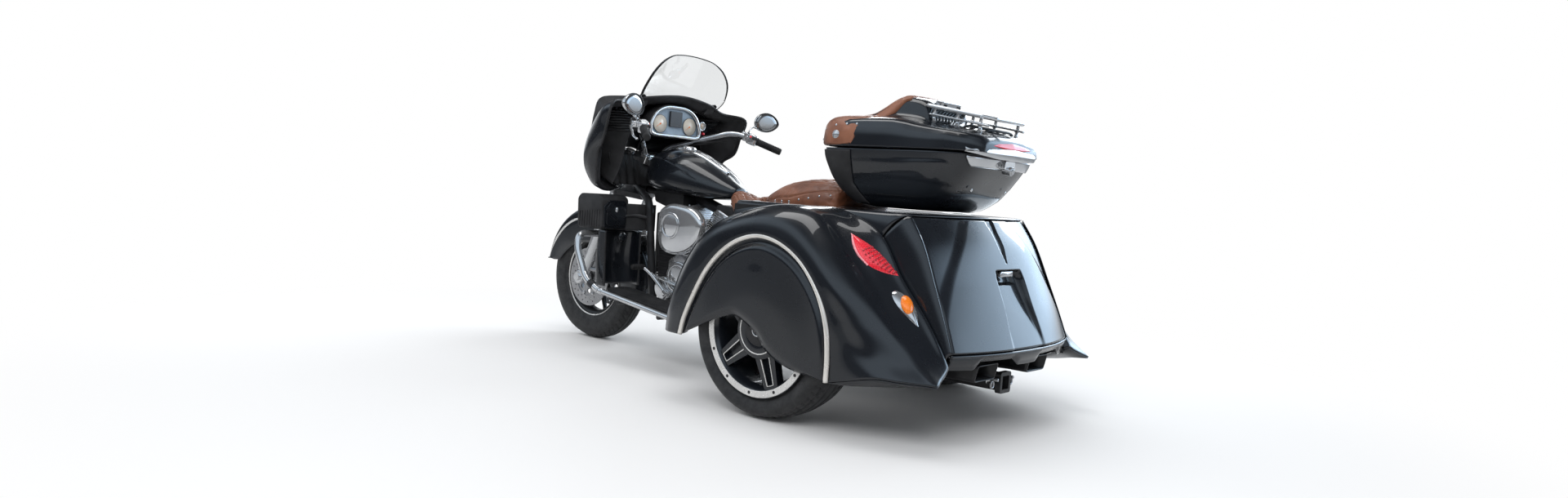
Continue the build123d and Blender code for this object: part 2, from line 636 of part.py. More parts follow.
def build_saddles():
    """Rider's bucket and the passenger's pad, both plain closed solids."""
    rider_profile = [(868, 868), (862, 884), (780, 818), (690, 778), (590, 770), (500, 792), (480, 700),
                     (700, 704), (790, 742)]
    rider_plan = [(880, -26), (880, 26), (790, 62), (640, 160), (480, 182), (480, -182), (640, -160),
                  (790, -62)]
    rider = side_slab(rounded(rider_profile, 5), -200, 200) & level_slab(rounded(rider_plan, 20), 600, 1000)
    back, front = 80.0, CYCLE_X + 470

    def along(share):
        return back + (front - back) * share
    passenger_profile = [(front, 786), (along(0.97), 808), (along(0.83), 842), (along(0.62), 868),
                         (along(0.36), 883), (along(0.04), 886), (back, 786)]
    passenger_plan = [(front + 1, -88), (front + 1, 88), (along(0.77), 162), (along(0.30), 190), (back, 196),
                      (back, -196), (along(0.30), -190), (along(0.77), -162)]
    passenger = (side_slab(rounded(passenger_profile, 10), -220, 220)
                 & level_slab(rounded(passenger_plan, 30), 700, 1000))
    return rider.moved(Pos(CYCLE_X, 0, 0)), passenger


# ------------------------------------------------------------------ leg shields and boards
def build_leg_shields():
    """Ribbed glove box above a dished shield, one each side."""
    box = side_slab(rounded([(1296, 592), (1300, 744), (1330, 762), (1462, 760), (1484, 738), (1476, 592)],
                            16), 214, 376)
    ribs = [side_slab(Pos(1322 + 18 * i, 652) * Rectangle(6, 104), 376, 380) for i in range(8)]
    plan_outer = make_face([
        Line((1240, 178), (1304, 164)),
        ThreePointArc((1304, 164), (1352, 262), (1318, 372)),
        Line((1318, 372), (1262, 372)),
        ThreePointArc((1262, 372), (1298, 268), (1240, 178)),
    ])
    shield = level_slab(plan_outer, 335, 592)
    bracket = rod((1222, 150, 660), (1330, 254, 660), 9)
    return pair(box + ribs + shield + bracket)


def build_crash_bars():
    """Bright hoops from the frame around the leg shields to the boards."""
    hoop = tube([(1212, 146, 590), (1392, 126, 568), (1418, 196, 568), (1414, 410, 568), (1396, 428, 500),
                 (1326, 430, 366), (1222, 430, 318)], CRASH_BAR_R, bend=26)
    return pair(hoop)


def build_floorboards():
    """Rubber-topped boards on a bright rail, with pedals."""
    board = level_slab(rounded([(1228, 250), (1215, 402), (760, 412), (705, 398), (705, 300), (800, 250)],
                               40), 0, 16)
    tilt = degrees(atan2(66.0, 510.0))
    board = board.rotate(Axis((1222, 0, 0), (0, 1, 0)), -tilt).moved(Pos(0, 0, 318))
    rail = tube([(1222, 430, 318), (716, 432, 250), (690, 396, 246)], 12, bend=18)
    arms = [tube([(x, 150, 232), (x, 200, z), (x, 430, z)], 13, bend=30) for x, z in ((1090, 288), (820, 253))]
    return board, rail, arms


def build_controls():
    """Heel-and-toe shift lever with its rod on the left, brake pedal on the right."""
    lever = tube([(1046, 176, 318), (1130, 196, 400), (1176, 214, 430)], 8, bend=30)
    peg = rod((1176, 206, 430), (1176, 280, 430), 12)
    shift_rod = rod((1130, 190, 400), (830, 190, 330), 5)
    boss = rod((1046, 168.5, 318), (1046, 188, 318), 16)
    brake = tube([(1046, -230, 318), (1110, -232, 360), (1176, -240, 430)], 9, bend=30)
    brake_pad = Pos(1180, -246, 436) * Box(60, 70, 14)
    return lever + peg + shift_rod + boss + brake + brake_pad


# ------------------------------------------------------------------ rear axle
def build_rear_axle():
    """Differential with axle tubes, carrying arms and hub spindles."""
    centre = Vector(0, 0, REAR_TYRE_R)
    inner = REAR_TRACK / 2 + 40 - 70
    case = turned(make_face(Polyline((0, -92), (70, -92), (112, -40), (112, 40), (70, 92), (0, 92), close=True)),
                  centre)
    tubes = rod((0, -inner + 24, centre.Z), (0, inner - 24, centre.Z), 40)
    flange = turned(Pos(45, inner - 14) * Rectangle(90, 20), centre)
    spindle = rod((0, inner - 20, centre.Z), (0, REAR_TRACK / 2 + 60, centre.Z), 31 - RUNNING_CLEARANCE)
    return case + tubes + pair(flange + spindle)


def build_swingarm():
    """Twin arms from the cradle to the axle, with spring struts up to the body."""
    pivot_x, level = CYCLE_X + 452, REAR_TYRE_R - 26
    arm = tube([(pivot_x, 100, 330), (pivot_x - 152, 150, level), (0, 190, level)], 26, bend=60)
    pad = Pos(0, 190, REAR_TYRE_R) * Box(110, 46, 118)
    hole = rod((0, 100, REAR_TYRE_R), (0, 300, REAR_TYRE_R), 40)
    pivot = rod((pivot_x, -118, 330), (pivot_x, 118, 330), 28)
    seat, top = (-40, 190, REAR_TYRE_R + 54), (-70, 190, SPRING_TOP_Z)
    strut = rod(seat, top, 20) - level_slab(Pos(-70, 190) * Rectangle(200, 200), SPRING_TOP_Z,
                                            SPRING_TOP_Z + 40)
    coil = [turned_coil(seat, top, i) for i in range(7)]
    return pivot + pair(arm + (pad - hole) + strut + coil)


def turned_coil(low, high, index):
    low, high = Vector(*low), Vector(*high)
    direction = (high - low).normalized()
    start = low + direction * (34 + 22 * index)
    return rod(start, start + direction * 10, 34)


# ------------------------------------------------------------------ rear body
# height, rear edge x at the sides, rear edge x on the centre line, half width
REAR_FACE = [
    (DOOR_FOOT_Z, -660.0, DOOR_FOOT_X, FENDER_INNER_Y),
    (470.0, -604.0, -672.0, FENDER_INNER_Y - 8),
    (640.0, -522.0, -590.0, FENDER_INNER_Y - 18),
    (784.0, -438.0, -516.0, FENDER_INNER_Y - 34),
]
SILL_DROP = 6.0              # the trunk's floor below the door's foot


def rear_outline(station, narrowing):
    """Plan of the rear body at one height: straight sides and a bowed rear edge."""
    _, side_x, centre_x, half = station
    half -= narrowing
    front_x = TRUNK_FRONT_X - DOOR_THICKNESS - DOOR_GAP
    return make_face([
        ThreePointArc((side_x, half), (centre_x, 0), (side_x, -half)),
        Line((side_x, -half), (front_x, -half)),
        Line((front_x, -half), (front_x, half)),
        Line((front_x, half), (side_x, half)),
    ])


def rear_block(shift, narrowing=0.0):
    """Block behind the bulkhead with the rear body's outer face, moved forward."""
    block = loft([Plane.XY.offset(s[0]) * rear_outline(s, narrowing) for s in REAR_FACE], ruled=True)
    return block.moved(Pos(shift, 0, 0))


def build_trunk():
    """Trunk tub with its deck running forward under the saddle, open at the back."""
    skin = DOOR_THICKNESS + DOOR_GAP
    tub = rear_block(skin)
    cavity = rear_block(skin - BODY_WALL, BODY_WALL) + rear_block(-10 * BODY_WALL, BODY_WALL)
    cavity &= level_slab(Rectangle(2000, 2000), TRUNK_FLOOR_Z + 14, DECK_Z - 14)
    tub -= cavity
    sill = level_slab(rear_outline(REAR_FACE[0], 0), DOOR_FOOT_Z - SILL_DROP, DOOR_FOOT_Z)
    tub += sill.moved(Pos(skin, 0, 0))
    deck = level_slab(Pos((BODY_FRONT_X + TRUNK_FRONT_X) / 2, 0)
                      * Rectangle(BODY_FRONT_X - TRUNK_FRONT_X, 2 * FENDER_INNER_Y), DECK_Z - 4, DECK_Z + 2)
    front = side_slab(make_face(Polyline((BODY_FRONT_X - 6, DECK_Z - 4), (BODY_FRONT_X, DECK_Z - 4),
                                         (BODY_FRONT_X + 30, 440), (BODY_FRONT_X + 24, 440), close=True)),
                      -FENDER_INNER_Y, FENDER_INNER_Y)
    side = side_slab(make_face(Polyline((TRUNK_FRONT_X, 440), (BODY_FRONT_X + 24, 440),
                                        (BODY_FRONT_X - 6, DECK_Z - 4), (TRUNK_FRONT_X, DECK_Z - 4),
                                        close=True)), FENDER_INNER_Y - BODY_WALL, FENDER_INNER_Y)
    bracket = side_slab(Pos((TRUNK_FRONT_X - 20) / 2, SPRING_TOP_Z + 10)
                        * Rectangle(-20 - TRUNK_FRONT_X, 20), 150, 230)
    return tub + deck + front + pair(side) + pair(bracket)


# rear fender: side profile on the crest line and on the outer face, matched point by point
CREST_PROFILE = [(527, 262), (516, 390), (462, 522), (395, 622), (300, 700), (165, 757), (-20, 786),
                 (-165, 768), (-262, 690), (-400, 532), (-520, 396), (-615, 292), (FENDER_TAIL_X, 226),
                 (FENDER_TAIL_X + 4, 206), (-600, 202), (-350, 196)]
OUTER_PROFILE = [(392, 262), (372, 352), (322, 470), (262, 560), (190, 628), (100, 672), (0, 690),
                 (-110, 675), (-205, 622), (-300, 520), (-352, 410), (-372, 300), (-384, 222),
                 (-382, 202), (-370, 199), (-350, 196)]
INNER_PROFILE = [(508, 262), (497, 384), (442, 514), (374, 612), (284, 690), (156, 745), (-20, 783),
                 (-185, 777), (-345, 708), (-452, 560), (-575, 415), (-640, 322), (-672, 250),
                 (-666, 206), (-600, 202), (-350, 196)]
# distance to the left, and the profile there: 0 the outer face's, 1 the crest's, 2 the inner face's
FENDER_STATIONS = [
    (BODY_HALF_WIDTH, 0.0), (BODY_HALF_WIDTH - 8, 0.30), (BODY_HALF_WIDTH - 29, 0.58),
    (BODY_HALF_WIDTH - 67, 0.85), (FENDER_CREST_Y, 1.0), (FENDER_CREST_Y - 46, 1.35),
    (FENDER_CREST_Y - 96, 1.75), (FENDER_INNER_Y, 2.0)]


def fender_profile(place):
    """Side profile between the outer face's, the crest's and the inner face's."""
    if place > 1:
        near, far, share = CREST_PROFILE, INNER_PROFILE, place - 1
    else:
        near, far, share = OUTER_PROFILE, CREST_PROFILE, place
    return [(a[0] + (b[0] - a[0]) * share, a[1] + (b[1] - a[1]) * share) for a, b in zip(near, far)]


def fender_solid(inset):
    faces = []
    for index, (y, place) in enumerate(FENDER_STATIONS):
        if index == 0:
            y -= inset
        if index == len(FENDER_STATIONS) - 1:
            y += inset
        face = make_face(Polyline(*fender_profile(place), close=True))
        if inset:
            face = offset(face, amount=-inset, kind=Kind.INTERSECTION)
        faces.append(Plane.XZ.offset(-y) * face)
    return loft(faces, ruled=True)


def build_fender():
    outer = fender_solid(0)
    inner = fender_solid(BODY_WALL)
    back, front = -REAR_TYRE_R - WELL_LENGTH_ROOM, REAR_TYRE_R + 46
    well = side_slab(Pos((back + front) / 2, 200) * Rectangle(front - back, 200),
                     FENDER_INNER_Y + BODY_WALL, BODY_HALF_WIDTH - BODY_WALL)
    opening = side_slab(skirt_outline(closed_below=True), BODY_HALF_WIDTH - 2 * BODY_WALL,
                        BODY_HALF_WIDTH + 5)
    axle_slot = side_slab(Pos(0, REAR_TYRE_R - 75) * Rectangle(150, 300), FENDER_INNER_Y - 5, FENDER_INNER_Y + 40)
    return outer - inner - well - opening - axle_slot


def arch_edges():
    """Line of the bright trim: three arcs and a straight front leg, rear end first."""
    return [
        ThreePointArc((-344, 199), (-336, 420), (-205, 597)),
        ThreePointArc((-205, 597), (-110, 652), (0, 671)),
        ThreePointArc((0, 671), (140, 632), (245, 530)),
        Line((245, 530), (370, 272)),
    ]


def skirt_outline(closed_below=False):
    if closed_below:
        lower = [Line((370, 272), (370, 100)), Line((370, 100), (-344, 100)), Line((-344, 100), (-344, 199))]
    else:
        lower = [Line((370, 272), (200, 338)), ThreePointArc((200, 338), (96, 366), (20, 340)),
                 Line((20, 340), (-70, 262)), ThreePointArc((-70, 262), (-110, 236), (-170, 226)),
                 Line((-170, 226), (-344, 199))]
    return make_face(arch_edges() + lower)


def build_skirt():
    return side_slab(skirt_outline(), BODY_HALF_WIDTH - BODY_WALL, BODY_HALF_WIDTH)


def build_trim():
    """Half-round bright bead along the skirt's edge."""
    path = Wire(arch_edges())
    moved = Plane.XZ.offset(-BODY_HALF_WIDTH) * path
    start = Plane(origin=moved @ 0, z_dir=moved % 0)
    bead = sweep(start * Circle(TRIM_BEAD_R), path=moved)
    return bead - side_slab(Rectangle(4000, 4000), 400, BODY_HALF_WIDTH)


def build_tail_lamps(fender):
    """Leaf-shaped tail lamps in the valley between fender and trunk."""
    leaf = make_face([
        ThreePointArc((-110, 0), (-40, 44), (100, 8)),
        ThreePointArc((100, 8), (0, -40), (-110, 0)),
    ])
    start, end = Vector(-285, FENDER_INNER_Y + 96, 704), Vector(-437, FENDER_INNER_Y + 30, 566)
    middle = (start + end) * 0.5
    along = (end - start).normalized()
    outward = Vector(-0.69, 0.39, 0.585)
    plane = Plane(origin=middle, x_dir=along, z_dir=outward - along * outward.dot(along))
    lamp = extrude(plane * leaf, amount=14, both=True)
    return lamp - fender


def build_signals(fender):
    """Oval amber indicators lower in the same valley."""
    centre = Vector(-510, FENDER_INNER_Y + 58, 462)
    plane = Plane(origin=centre, z_dir=(-0.69, 0.39, 0.585))
    body = extrude(plane * Ellipse(27, 20), amount=26, both=True)
    return body - fender


RECESS_CENTRE = (-623.8, 0, 570)
RECESS_INWARD = (0.901, 0, -0.434)


def build_door():
    """Drop-down trunk door over the whole rear face, bowed, with a latch recess."""
    outer = rear_block(0)
    rear = level_slab(Pos(-560, 0) * Rectangle(400, 2000), 200, 900)
    low, high = FENDER_INNER_Y - 6, FENDER_INNER_Y - 36
    below, top = DOOR_FOOT_Z - 40, DECK_Z - 3
    window = front_slab(make_face(Polyline((-low, below), (low, below), (high, top), (-high, top),
                                           close=True)), -800, -300)
    panel = (outer - rear_block(DOOR_THICKNESS)) & rear & window
    recess_depth, proud = DOOR_THICKNESS - BODY_WALL, 20.0
    face = Plane(origin=RECESS_CENTRE, x_dir=(0, 1, 0), z_dir=RECESS_INWARD).offset(-proud)
    recess = extrude(face * RectangleRounded(108, 64, 20), amount=proud + recess_depth)
    return panel - recess


def build_door_latch():
    """Bright pull in the door's recess and the keyed lock above it."""
    pull = side_slab(rounded([(-606, 558), (-596, 588), (-617, 588), (-627, 566)], 4), -26, 26)
    lock = rod((-571, 0, 697), (-544, 0, 708), 14)
    return pull + lock


def build_valance():
    """Skirt under the door, bowed as the door is, with arches for the silencers."""
    edge = FENDER_INNER_Y - 4
    sill_z = DOOR_FOOT_Z - SILL_DROP
    plate = SILL_DROP
    _, side_x, centre_x, _ = REAR_FACE[0]
    front_x = side_x + 70

    def bowed(shift):
        return make_face([
            ThreePointArc((side_x + shift, edge), (centre_x + shift, 0), (side_x + shift, -edge)),
            Line((side_x + shift, -edge), (front_x, -edge)),
            Line((front_x, -edge), (front_x, edge)),
            Line((front_x, edge), (side_x + shift, edge)),
        ])
    outline = [(-edge, sill_z), (edge, sill_z), (edge, 262), (330, 258), (300, 290), (110, 290), (70, 262),
               (-70, 262), (-110, 290), (-300, 290), (-330, 258), (-edge, 262)]
    wall = level_slab(bowed(4), 240, sill_z - plate / 2) - level_slab(bowed(4 + plate), 200, 400)
    skirt = wall & front_slab(rounded(outline, 5), -800, -500)
    return skirt + level_slab(bowed(4), sill_z - plate, sill_z)


def build_hitch():
    """Receiver tube for a rack or trailer, on a cross beam under the trunk."""
    tube_out = front_slab(Pos(0, 176) * RectangleRounded(64, 64, 8), -640, -380)
    bore = front_slab(Pos(0, 176) * RectangleRounded(51, 51, 3), -700, -440)
    collar = front_slab(Pos(0, 176) * RectangleRounded(80, 80, 10), -640, -618) - front_slab(
        Pos(0, 176) * RectangleRounded(63, 63, 8), -700, -600)
    beam = side_slab(Pos(-400, 176) * Rectangle(44, 44), -88, 88)
    ears = pair(front_slab(Pos(60, 176) * Rectangle(50, 12), -618, -606))
    pin_hole = rod((-590, -80, 176), (-590, 80, 176), 8)
    hangers = pair(side_slab(Pos(-400, 254) * Rectangle(60, 128), 70, 78))
    return tube_out - bore + collar + beam + ears + hangers - pin_hole


# ------------------------------------------------------------------ top box
# height, front x, rear x, half width of the lower shell
BOX_STATIONS = [
    (802.0, -78.0, -378.0, 196.0),
    (850.0, 14.0, -458.0, 254.0),
    (900.0, 56.0, -500.0, 276.0),
    (950.0, 82.0, -538.0, 289.0),
    (1020.0, 101.0, -572.0, 300.0),
]
BOX_TAIL_CUT = 95.0          # slanted corners at the tail
BOX_CORNER_R = 42.0
# lid station x, then (half width, height) at the shoulder, ridge, step and hump, from the seam up
LID_STATIONS = [
    (86.0, 236.0, [(238, 1060), (226, 1092), (170, 1106), (120, 1112)]),
    (60.0, 276.0, [(277, 1075), (262, 1112), (190, 1124), (150, 1132)]),
    (0.0, 297.0, [(296, 1085), (277, 1128), (184, 1140), (158, 1156)]),
    (-70.0, 301.0, [(298, 1088), (278, 1134), (176, 1146), (154, 1194)]),
    (-140.0, 302.0, [(298, 1088), (277, 1135), (172, 1149), (150, 1228)]),
    (-225.0, 301.0, [(297, 1087), (275, 1134), (168, 1146), (146, 1230)]),
    (-285.0, 300.0, [(295, 1084), (272, 1126), (164, 1138), (142, 1210)]),
    (-318.0, 299.0, [(294, 1080), (270, 1120), (160, 1126), (138, 1142)]),
    (-480.0, 288.0, [(284, 1072), (264, 1097), (142, 1103), (122, 1110)]),
    (-535.0, 262.0, [(258, 1062), (238, 1088), (132, 1096), (112, 1101)]),
    (-568.0, 226.0, [(222, 1052), (204, 1078), (120, 1086), (100, 1090)]),
    (-586.0, 200.0, [(196, 1044), (182, 1060), (110, 1066), (90, 1068)]),
]


def box_plan(front, rear, half, inset):
    """Plan of the box at one height: square at the front, with cut corners at the tail."""
    front, rear, half = front - inset, rear + inset, half - inset
    cut = BOX_TAIL_CUT
    corners = [(front, -half), (front, half), (rear + cut, half), (rear, half - cut),
               (rear, cut - half), (rear + cut, -half)]
    return rounded(corners, BOX_CORNER_R - inset)


def box_solid(inset):
    faces = []
    for index, (z, front, rear, half) in enumerate(BOX_STATIONS):
        if index == 0:
            z += inset
        faces.append(Plane.XY.offset(z) * box_plan(front, rear, half, inset))
    if inset:
        z, front, rear, half = BOX_STATIONS[-1]
        faces.append(Plane.XY.offset(z + 20) * box_plan(front, rear, half, inset))
    return loft(faces, ruled=True)


def build_top_box():
    """Lower shell of the box, open at the top, on a low foot on the deck."""
    foot_x = (BOX_STATIONS[0][1] + BOX_STATIONS[0][2]) / 2
    foot = level_slab(Pos(foot_x, 0) * RectangleRounded(230, 300, 30), DECK_Z + 2, BOX_STATIONS[0][0] + 2)
    return box_solid(0) - box_solid(BOX_WALL) + foot


def lid_solid(inset):
    faces = []
    for index, (x, seam_half, corners) in enumerate(LID_STATIONS):
        if index == 0:
            x -= inset
        if index == len(LID_STATIONS) - 1:
            x += inset
        bottom = BOX_SEAM_Z - (20 if inset else 0)
        left = [(seam_half - inset, bottom)] + [(half - inset, z - inset) for half, z in corners]
        right = [(-y, z) for y, z in reversed(left)]
        faces.append(Plane.YZ.offset(x) * make_face(Polyline(*left, *right, close=True)))
    return loft(faces, ruled=True)


def build_lid():
    return lid_solid(0) - lid_solid(BOX_WALL)


def build_backrest():
    """Backrest: a wrap-round lower pad and a taller middle pad on the lid's front."""
    low_plan = [(138, -170), (138, 170), (118, 266), (70, 312), (-124, 314), (-124, -314), (70, -312),
                (118, -266)]
    low_profile = [(-61, 1030), (150, 1030), (150, 1062), (118, 1108), (64, 1130), (-122, 1136)]
    low = level_slab(rounded(low_plan, 24), 1020, 1150) & side_slab(rounded(low_profile, 8), -400, 400)
    high_profile = [(112, 1090), (106, 1136), (64, 1160), (-42, 1172), (-113, 1208), (-176, 1241), (-221, 1247),
                    (-240, 1226), (-240, 1090)]
    high = side_slab(rounded(high_profile, 8), -165, 165)
    return (low + high) - lid_solid(0)


RACK_FRONT = (-292.0, 1200.0)    # x and z of the rack's front bar
RACK_SLOPE = atan2(46.0, 272.0)
RACK_LENGTH = 280.0


def build_rack():
    """Bright luggage rack: a ring with bars along it, on six posts from the lid."""
    front_x, front_z = RACK_FRONT
    plane = Plane(origin=(front_x, 0, front_z), x_dir=(cos(RACK_SLOPE), 0, sin(RACK_SLOPE)),
                  z_dir=(-sin(RACK_SLOPE), 0, cos(RACK_SLOPE)))
    tail = 44.0
    local = [(0, -150), (0, 150), (tail - RACK_LENGTH, 144), (-RACK_LENGTH, 108), (-RACK_LENGTH, -108),
             (tail - RACK_LENGTH, -144)]
    path = plane * FilletPolyline(*local, radius=26, close=True)
    ring = sweep(Plane(origin=path @ 0, z_dir=path % 0) * Circle(7), path=path)
    bars = [extrude(plane * Pos(-RACK_LENGTH / 2, y) * Rectangle(RACK_LENGTH, 12), amount=3, both=True)
            for y in (-84, -28, 28, 84)]
    block = plane * Pos(6, 0, 6) * Box(34, 150, 26)
    posts = Part()
    for x in (-330, -432, -524):
        z = front_z + (x - front_x) * tan(RACK_SLOPE)
        posts += rod((x, 145, z), (x + 6, 140, z - 84), 5.5)
    return ring + bars + block + pair(posts) - lid_solid(0)


def build_box_trim():
    """Bright wrap along the box's rear with the lid's latch."""
    band = level_slab(Pos(-680, 0) * Rectangle(400, 2000), 970, 1012)
    band &= box_solid(-4) - box_solid(0)
    hook = Pos(-574, 0, 976) * Box(44, 64, 44) - box_solid(0)
    return band + hook


def build_box_lamp():
    """Red lamp across the lid's tail."""
    outline = [(-198, 1046), (198, 1046), (188, 1060), (60, 1086), (-60, 1086), (-188, 1060)]
    lamp = front_slab(rounded(outline, 5), -596, -560)
    return lamp - lid_solid(0)


# ------------------------------------------------------------------ assembly
# a piece and what it seats on, which it is cut to fit
SEATS = [
    ("air_cleaner", "cylinders"), ("air_cleaner", "cylinder_heads"),
    ("crash_bars", "floorboards"),
    ("cylinders", "engine_case"), ("engine_covers", "cylinders"), ("engine_covers", "cylinder_heads"),
    ("engine_covers", "engine_case"), ("cylinder_heads", "frame"), ("exhaust", "cylinder_heads"),
    ("trunk_door", "door_latch"), ("mirrors", "handlebar"),
    ("leg_shields", "frame"), ("crash_bars", "frame"),
    ("swingarm", "frame"), ("swingarm", "rear_axle"), ("trunk_body", "frame"),
    ("rider_saddle", "fuel_tank"), ("rider_saddle", "tank_console"), ("rider_saddle", "frame"),
    ("front_calipers", "fork_legs"),
]


# pieces laid out from the motorcycle's datum, which moves with the wheelbase
CYCLE_PIECES = [
    "front_tyre", "front_rim", "front_brake_discs", "front_axle", "fork_legs", "fork_clamps",
    "front_calipers", "front_fender", "fairing", "fairing_dash", "instruments", "headlamp", "windshield",
    "handlebar", "grips", "mirrors", "frame", "engine_case", "cylinders", "cylinder_heads",
    "engine_covers", "air_cleaner", "fuel_tank", "tank_console", "leg_shields", "crash_bars",
    "floorboards", "foot_controls",
]


def assemble_parts():
    parts = {}
    parts.update(build_front_wheel())
    parts["front_axle"] = build_front_axle()
    parts["fork_legs"] = build_fork()
    parts["fork_clamps"] = build_fork_clamps()
    parts["front_calipers"] = build_calipers()
    parts["front_fender"] = build_front_fender()
    fairing_bulk, parts["fairing"], parts["fairing_dash"] = build_fairing()
    parts["instruments"] = build_instruments()
    parts["headlamp"] = build_headlamp()
    parts["windshield"] = build_windshield(fairing_bulk)
    parts["handlebar"] = build_handlebar() + build_hand_controls()
    parts["grips"] = build_grips()
    parts["mirrors"] = build_mirrors()

    parts["frame"] = build_frame()
    parts["engine_case"] = build_engine_case()
    parts["cylinders"] = build_cylinders()
    parts["cylinder_heads"] = build_cylinder_heads()
    parts["engine_covers"] = build_covers()
    parts["air_cleaner"] = build_air_cleaner()
    pipes, silencers = build_exhaust(), build_silencers()
    parts["exhaust"] = pipes + (silencers - pipes)
    parts["fuel_tank"] = build_tank()
    parts["tank_console"] = build_console(parts["fuel_tank"])
    parts["rider_saddle"], parts["passenger_saddle"] = build_saddles()
    parts["leg_shields"] = build_leg_shields()
    parts["crash_bars"] = build_crash_bars()
    parts["floorboards"], rail, arms = build_floorboards()
    parts["crash_bars"] += pair(rail) + pair(Part() + arms)
    parts["floorboards"] = pair(parts["floorboards"])
    parts["foot_controls"] = build_controls()

    parts["rear_axle"] = build_rear_axle()
    parts["swingarm"] = build_swingarm()
    rubber, rim = build_rear_wheel()
    parts["rear_tyre_left"], parts["rear_rim_left"] = rubber, rim
    parts["rear_tyre_right"], parts["rear_rim_right"] = mirror(rubber, Plane.XZ), mirror(rim, Plane.XZ)

    parts["trunk_body"] = build_trunk()
    fender = build_fender()
    parts["rear_fenders"] = pair(fender)
    parts["wheel_skirts"] = pair(build_skirt())
    parts["fender_trims"] = pair(build_trim())
    parts["tail_lamps"] = pair(build_tail_lamps(fender_solid(0)))
    parts["turn_signals"] = pair(build_signals(fender_solid(0)))
    parts["trunk_door"] = build_door()
    parts["door_latch"] = build_door_latch()
    parts["rear_valance"] = build_valance()
    parts["hitch_receiver"] = build_hitch()

    parts["top_box"] = build_top_box()
    parts["top_box_lid"] = build_lid()
    parts["backrest"] = build_backrest()
    parts["luggage_rack"] = build_rack()
    parts["box_trim"] = build_box_trim()
    parts["box_lamp"] = build_box_lamp()
    for name in CYCLE_PIECES:
        parts[name] = parts[name].moved(Pos(CYCLE_X, 0, 0))
    for piece, carrier in SEATS:
        parts[piece] -= parts[carrier]
    return parts


os.makedirs("parts", exist_ok=True)
for node, shape in assemble_parts().items():
    export_step(shape.moved(Pos(-ORIGIN)), "parts/" + node + ".step")
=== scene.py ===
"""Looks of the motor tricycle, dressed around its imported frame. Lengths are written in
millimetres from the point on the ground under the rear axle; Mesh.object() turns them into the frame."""

import json
import math

import bmesh
import bpy
import numpy as np
from mathutils import Matrix, Vector

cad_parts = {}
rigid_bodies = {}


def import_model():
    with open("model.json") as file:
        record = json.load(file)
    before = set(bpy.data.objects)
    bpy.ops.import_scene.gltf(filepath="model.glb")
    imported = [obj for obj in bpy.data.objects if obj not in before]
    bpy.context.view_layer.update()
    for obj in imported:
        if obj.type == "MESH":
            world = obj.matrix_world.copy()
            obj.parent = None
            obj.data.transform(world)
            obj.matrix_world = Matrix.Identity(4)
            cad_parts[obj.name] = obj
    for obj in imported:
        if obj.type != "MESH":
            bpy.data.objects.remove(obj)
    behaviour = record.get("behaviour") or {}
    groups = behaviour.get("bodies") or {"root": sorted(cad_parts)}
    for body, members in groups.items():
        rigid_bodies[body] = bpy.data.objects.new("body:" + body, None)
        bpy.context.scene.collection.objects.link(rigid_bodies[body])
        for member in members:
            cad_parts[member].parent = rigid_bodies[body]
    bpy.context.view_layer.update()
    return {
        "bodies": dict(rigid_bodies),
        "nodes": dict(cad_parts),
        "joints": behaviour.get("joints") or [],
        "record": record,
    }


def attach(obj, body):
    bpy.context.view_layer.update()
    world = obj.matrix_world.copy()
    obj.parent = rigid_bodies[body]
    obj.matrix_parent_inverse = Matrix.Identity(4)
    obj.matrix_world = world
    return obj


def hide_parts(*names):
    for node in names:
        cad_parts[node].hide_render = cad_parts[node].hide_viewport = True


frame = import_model()
CAD = frame["nodes"]
AXLE = Vector(next(j["pos_m"] for j in frame["joints"] if j["name"] == "rear_left_spin"))
SHIFT = np.array([AXLE.x, 0.0, 0.0])

REAR_AXLE = (0.0, 598.0, 326.0)   # middle of the left rear wheel
FRONT_AXLE = (1732.0, 0.0, 320.0)
RAKE = math.radians(25.5)         # lean of the steering axis
DOWN, INWARD = (0, 0, -1), (0, -1, 0)
# a touch off their axes, so that cross products stay defined
LEFT, BACKWARD = (0, 1, 0.001), (-1, 0, 0.001)


# ------------------------------------------------------------------ curves and grids
def arr(points):
    return np.array([tuple(p) if hasattr(p, "__len__") else p for p in points], float)


def between(t, start, end, first, second):
    """Straight mix of two points as t goes from start to end."""
    return (end - t) / (end - start) * first + (t - start) / (end - start) * second


def spline(points, count, closed=False):
    """Even samples of a smooth curve through points (centripetal Catmull-Rom)."""
    p = arr(points)
    if closed:
        p = np.vstack([p[-1], p, p[0], p[1]])
    else:
        p = np.vstack([2 * p[0] - p[1], p, 2 * p[-1] - p[-2]])
    knots = np.concatenate([[0], np.cumsum(np.sqrt(np.linalg.norm(np.diff(p, axis=0), axis=1)) + 1e-9)])
    fine = []
    for i in range(1, len(p) - 2):
        k = knots[i - 1:i + 3]
        t = np.linspace(k[1], k[2], 24, endpoint=False)[:, None]
        a = [between(t, k[j], k[j + 1], p[i - 1 + j], p[i + j]) for j in range(3)]
        b = [between(t, k[j], k[j + 2], a[j], a[j + 1]) for j in range(2)]
        fine.append(between(t, k[1], k[2], b[0], b[1]))
    fine = np.vstack(fine + [p[-2][None]])
    return even(fine, count, closed)


def even(path, count, closed=False):
    """Evenly spaced samples along a polyline; a closed one leaves out the repeated end."""
    path = arr(path)
    along = np.concatenate([[0], np.cumsum(np.linalg.norm(np.diff(path, axis=0), axis=1))])
    want = np.linspace(0, along[-1], count + 1)[:-1] if closed else np.linspace(0, along[-1], count)
    return np.stack([np.interp(want, along, path[:, k]) for k in range(path.shape[1])], 1)


def loft(sections, along):
    """Smooth surface through sections with the same number of points."""
    sections = np.array(sections)
    return np.stack([spline(sections[:, j], along) for j in range(sections.shape[1])], 1)


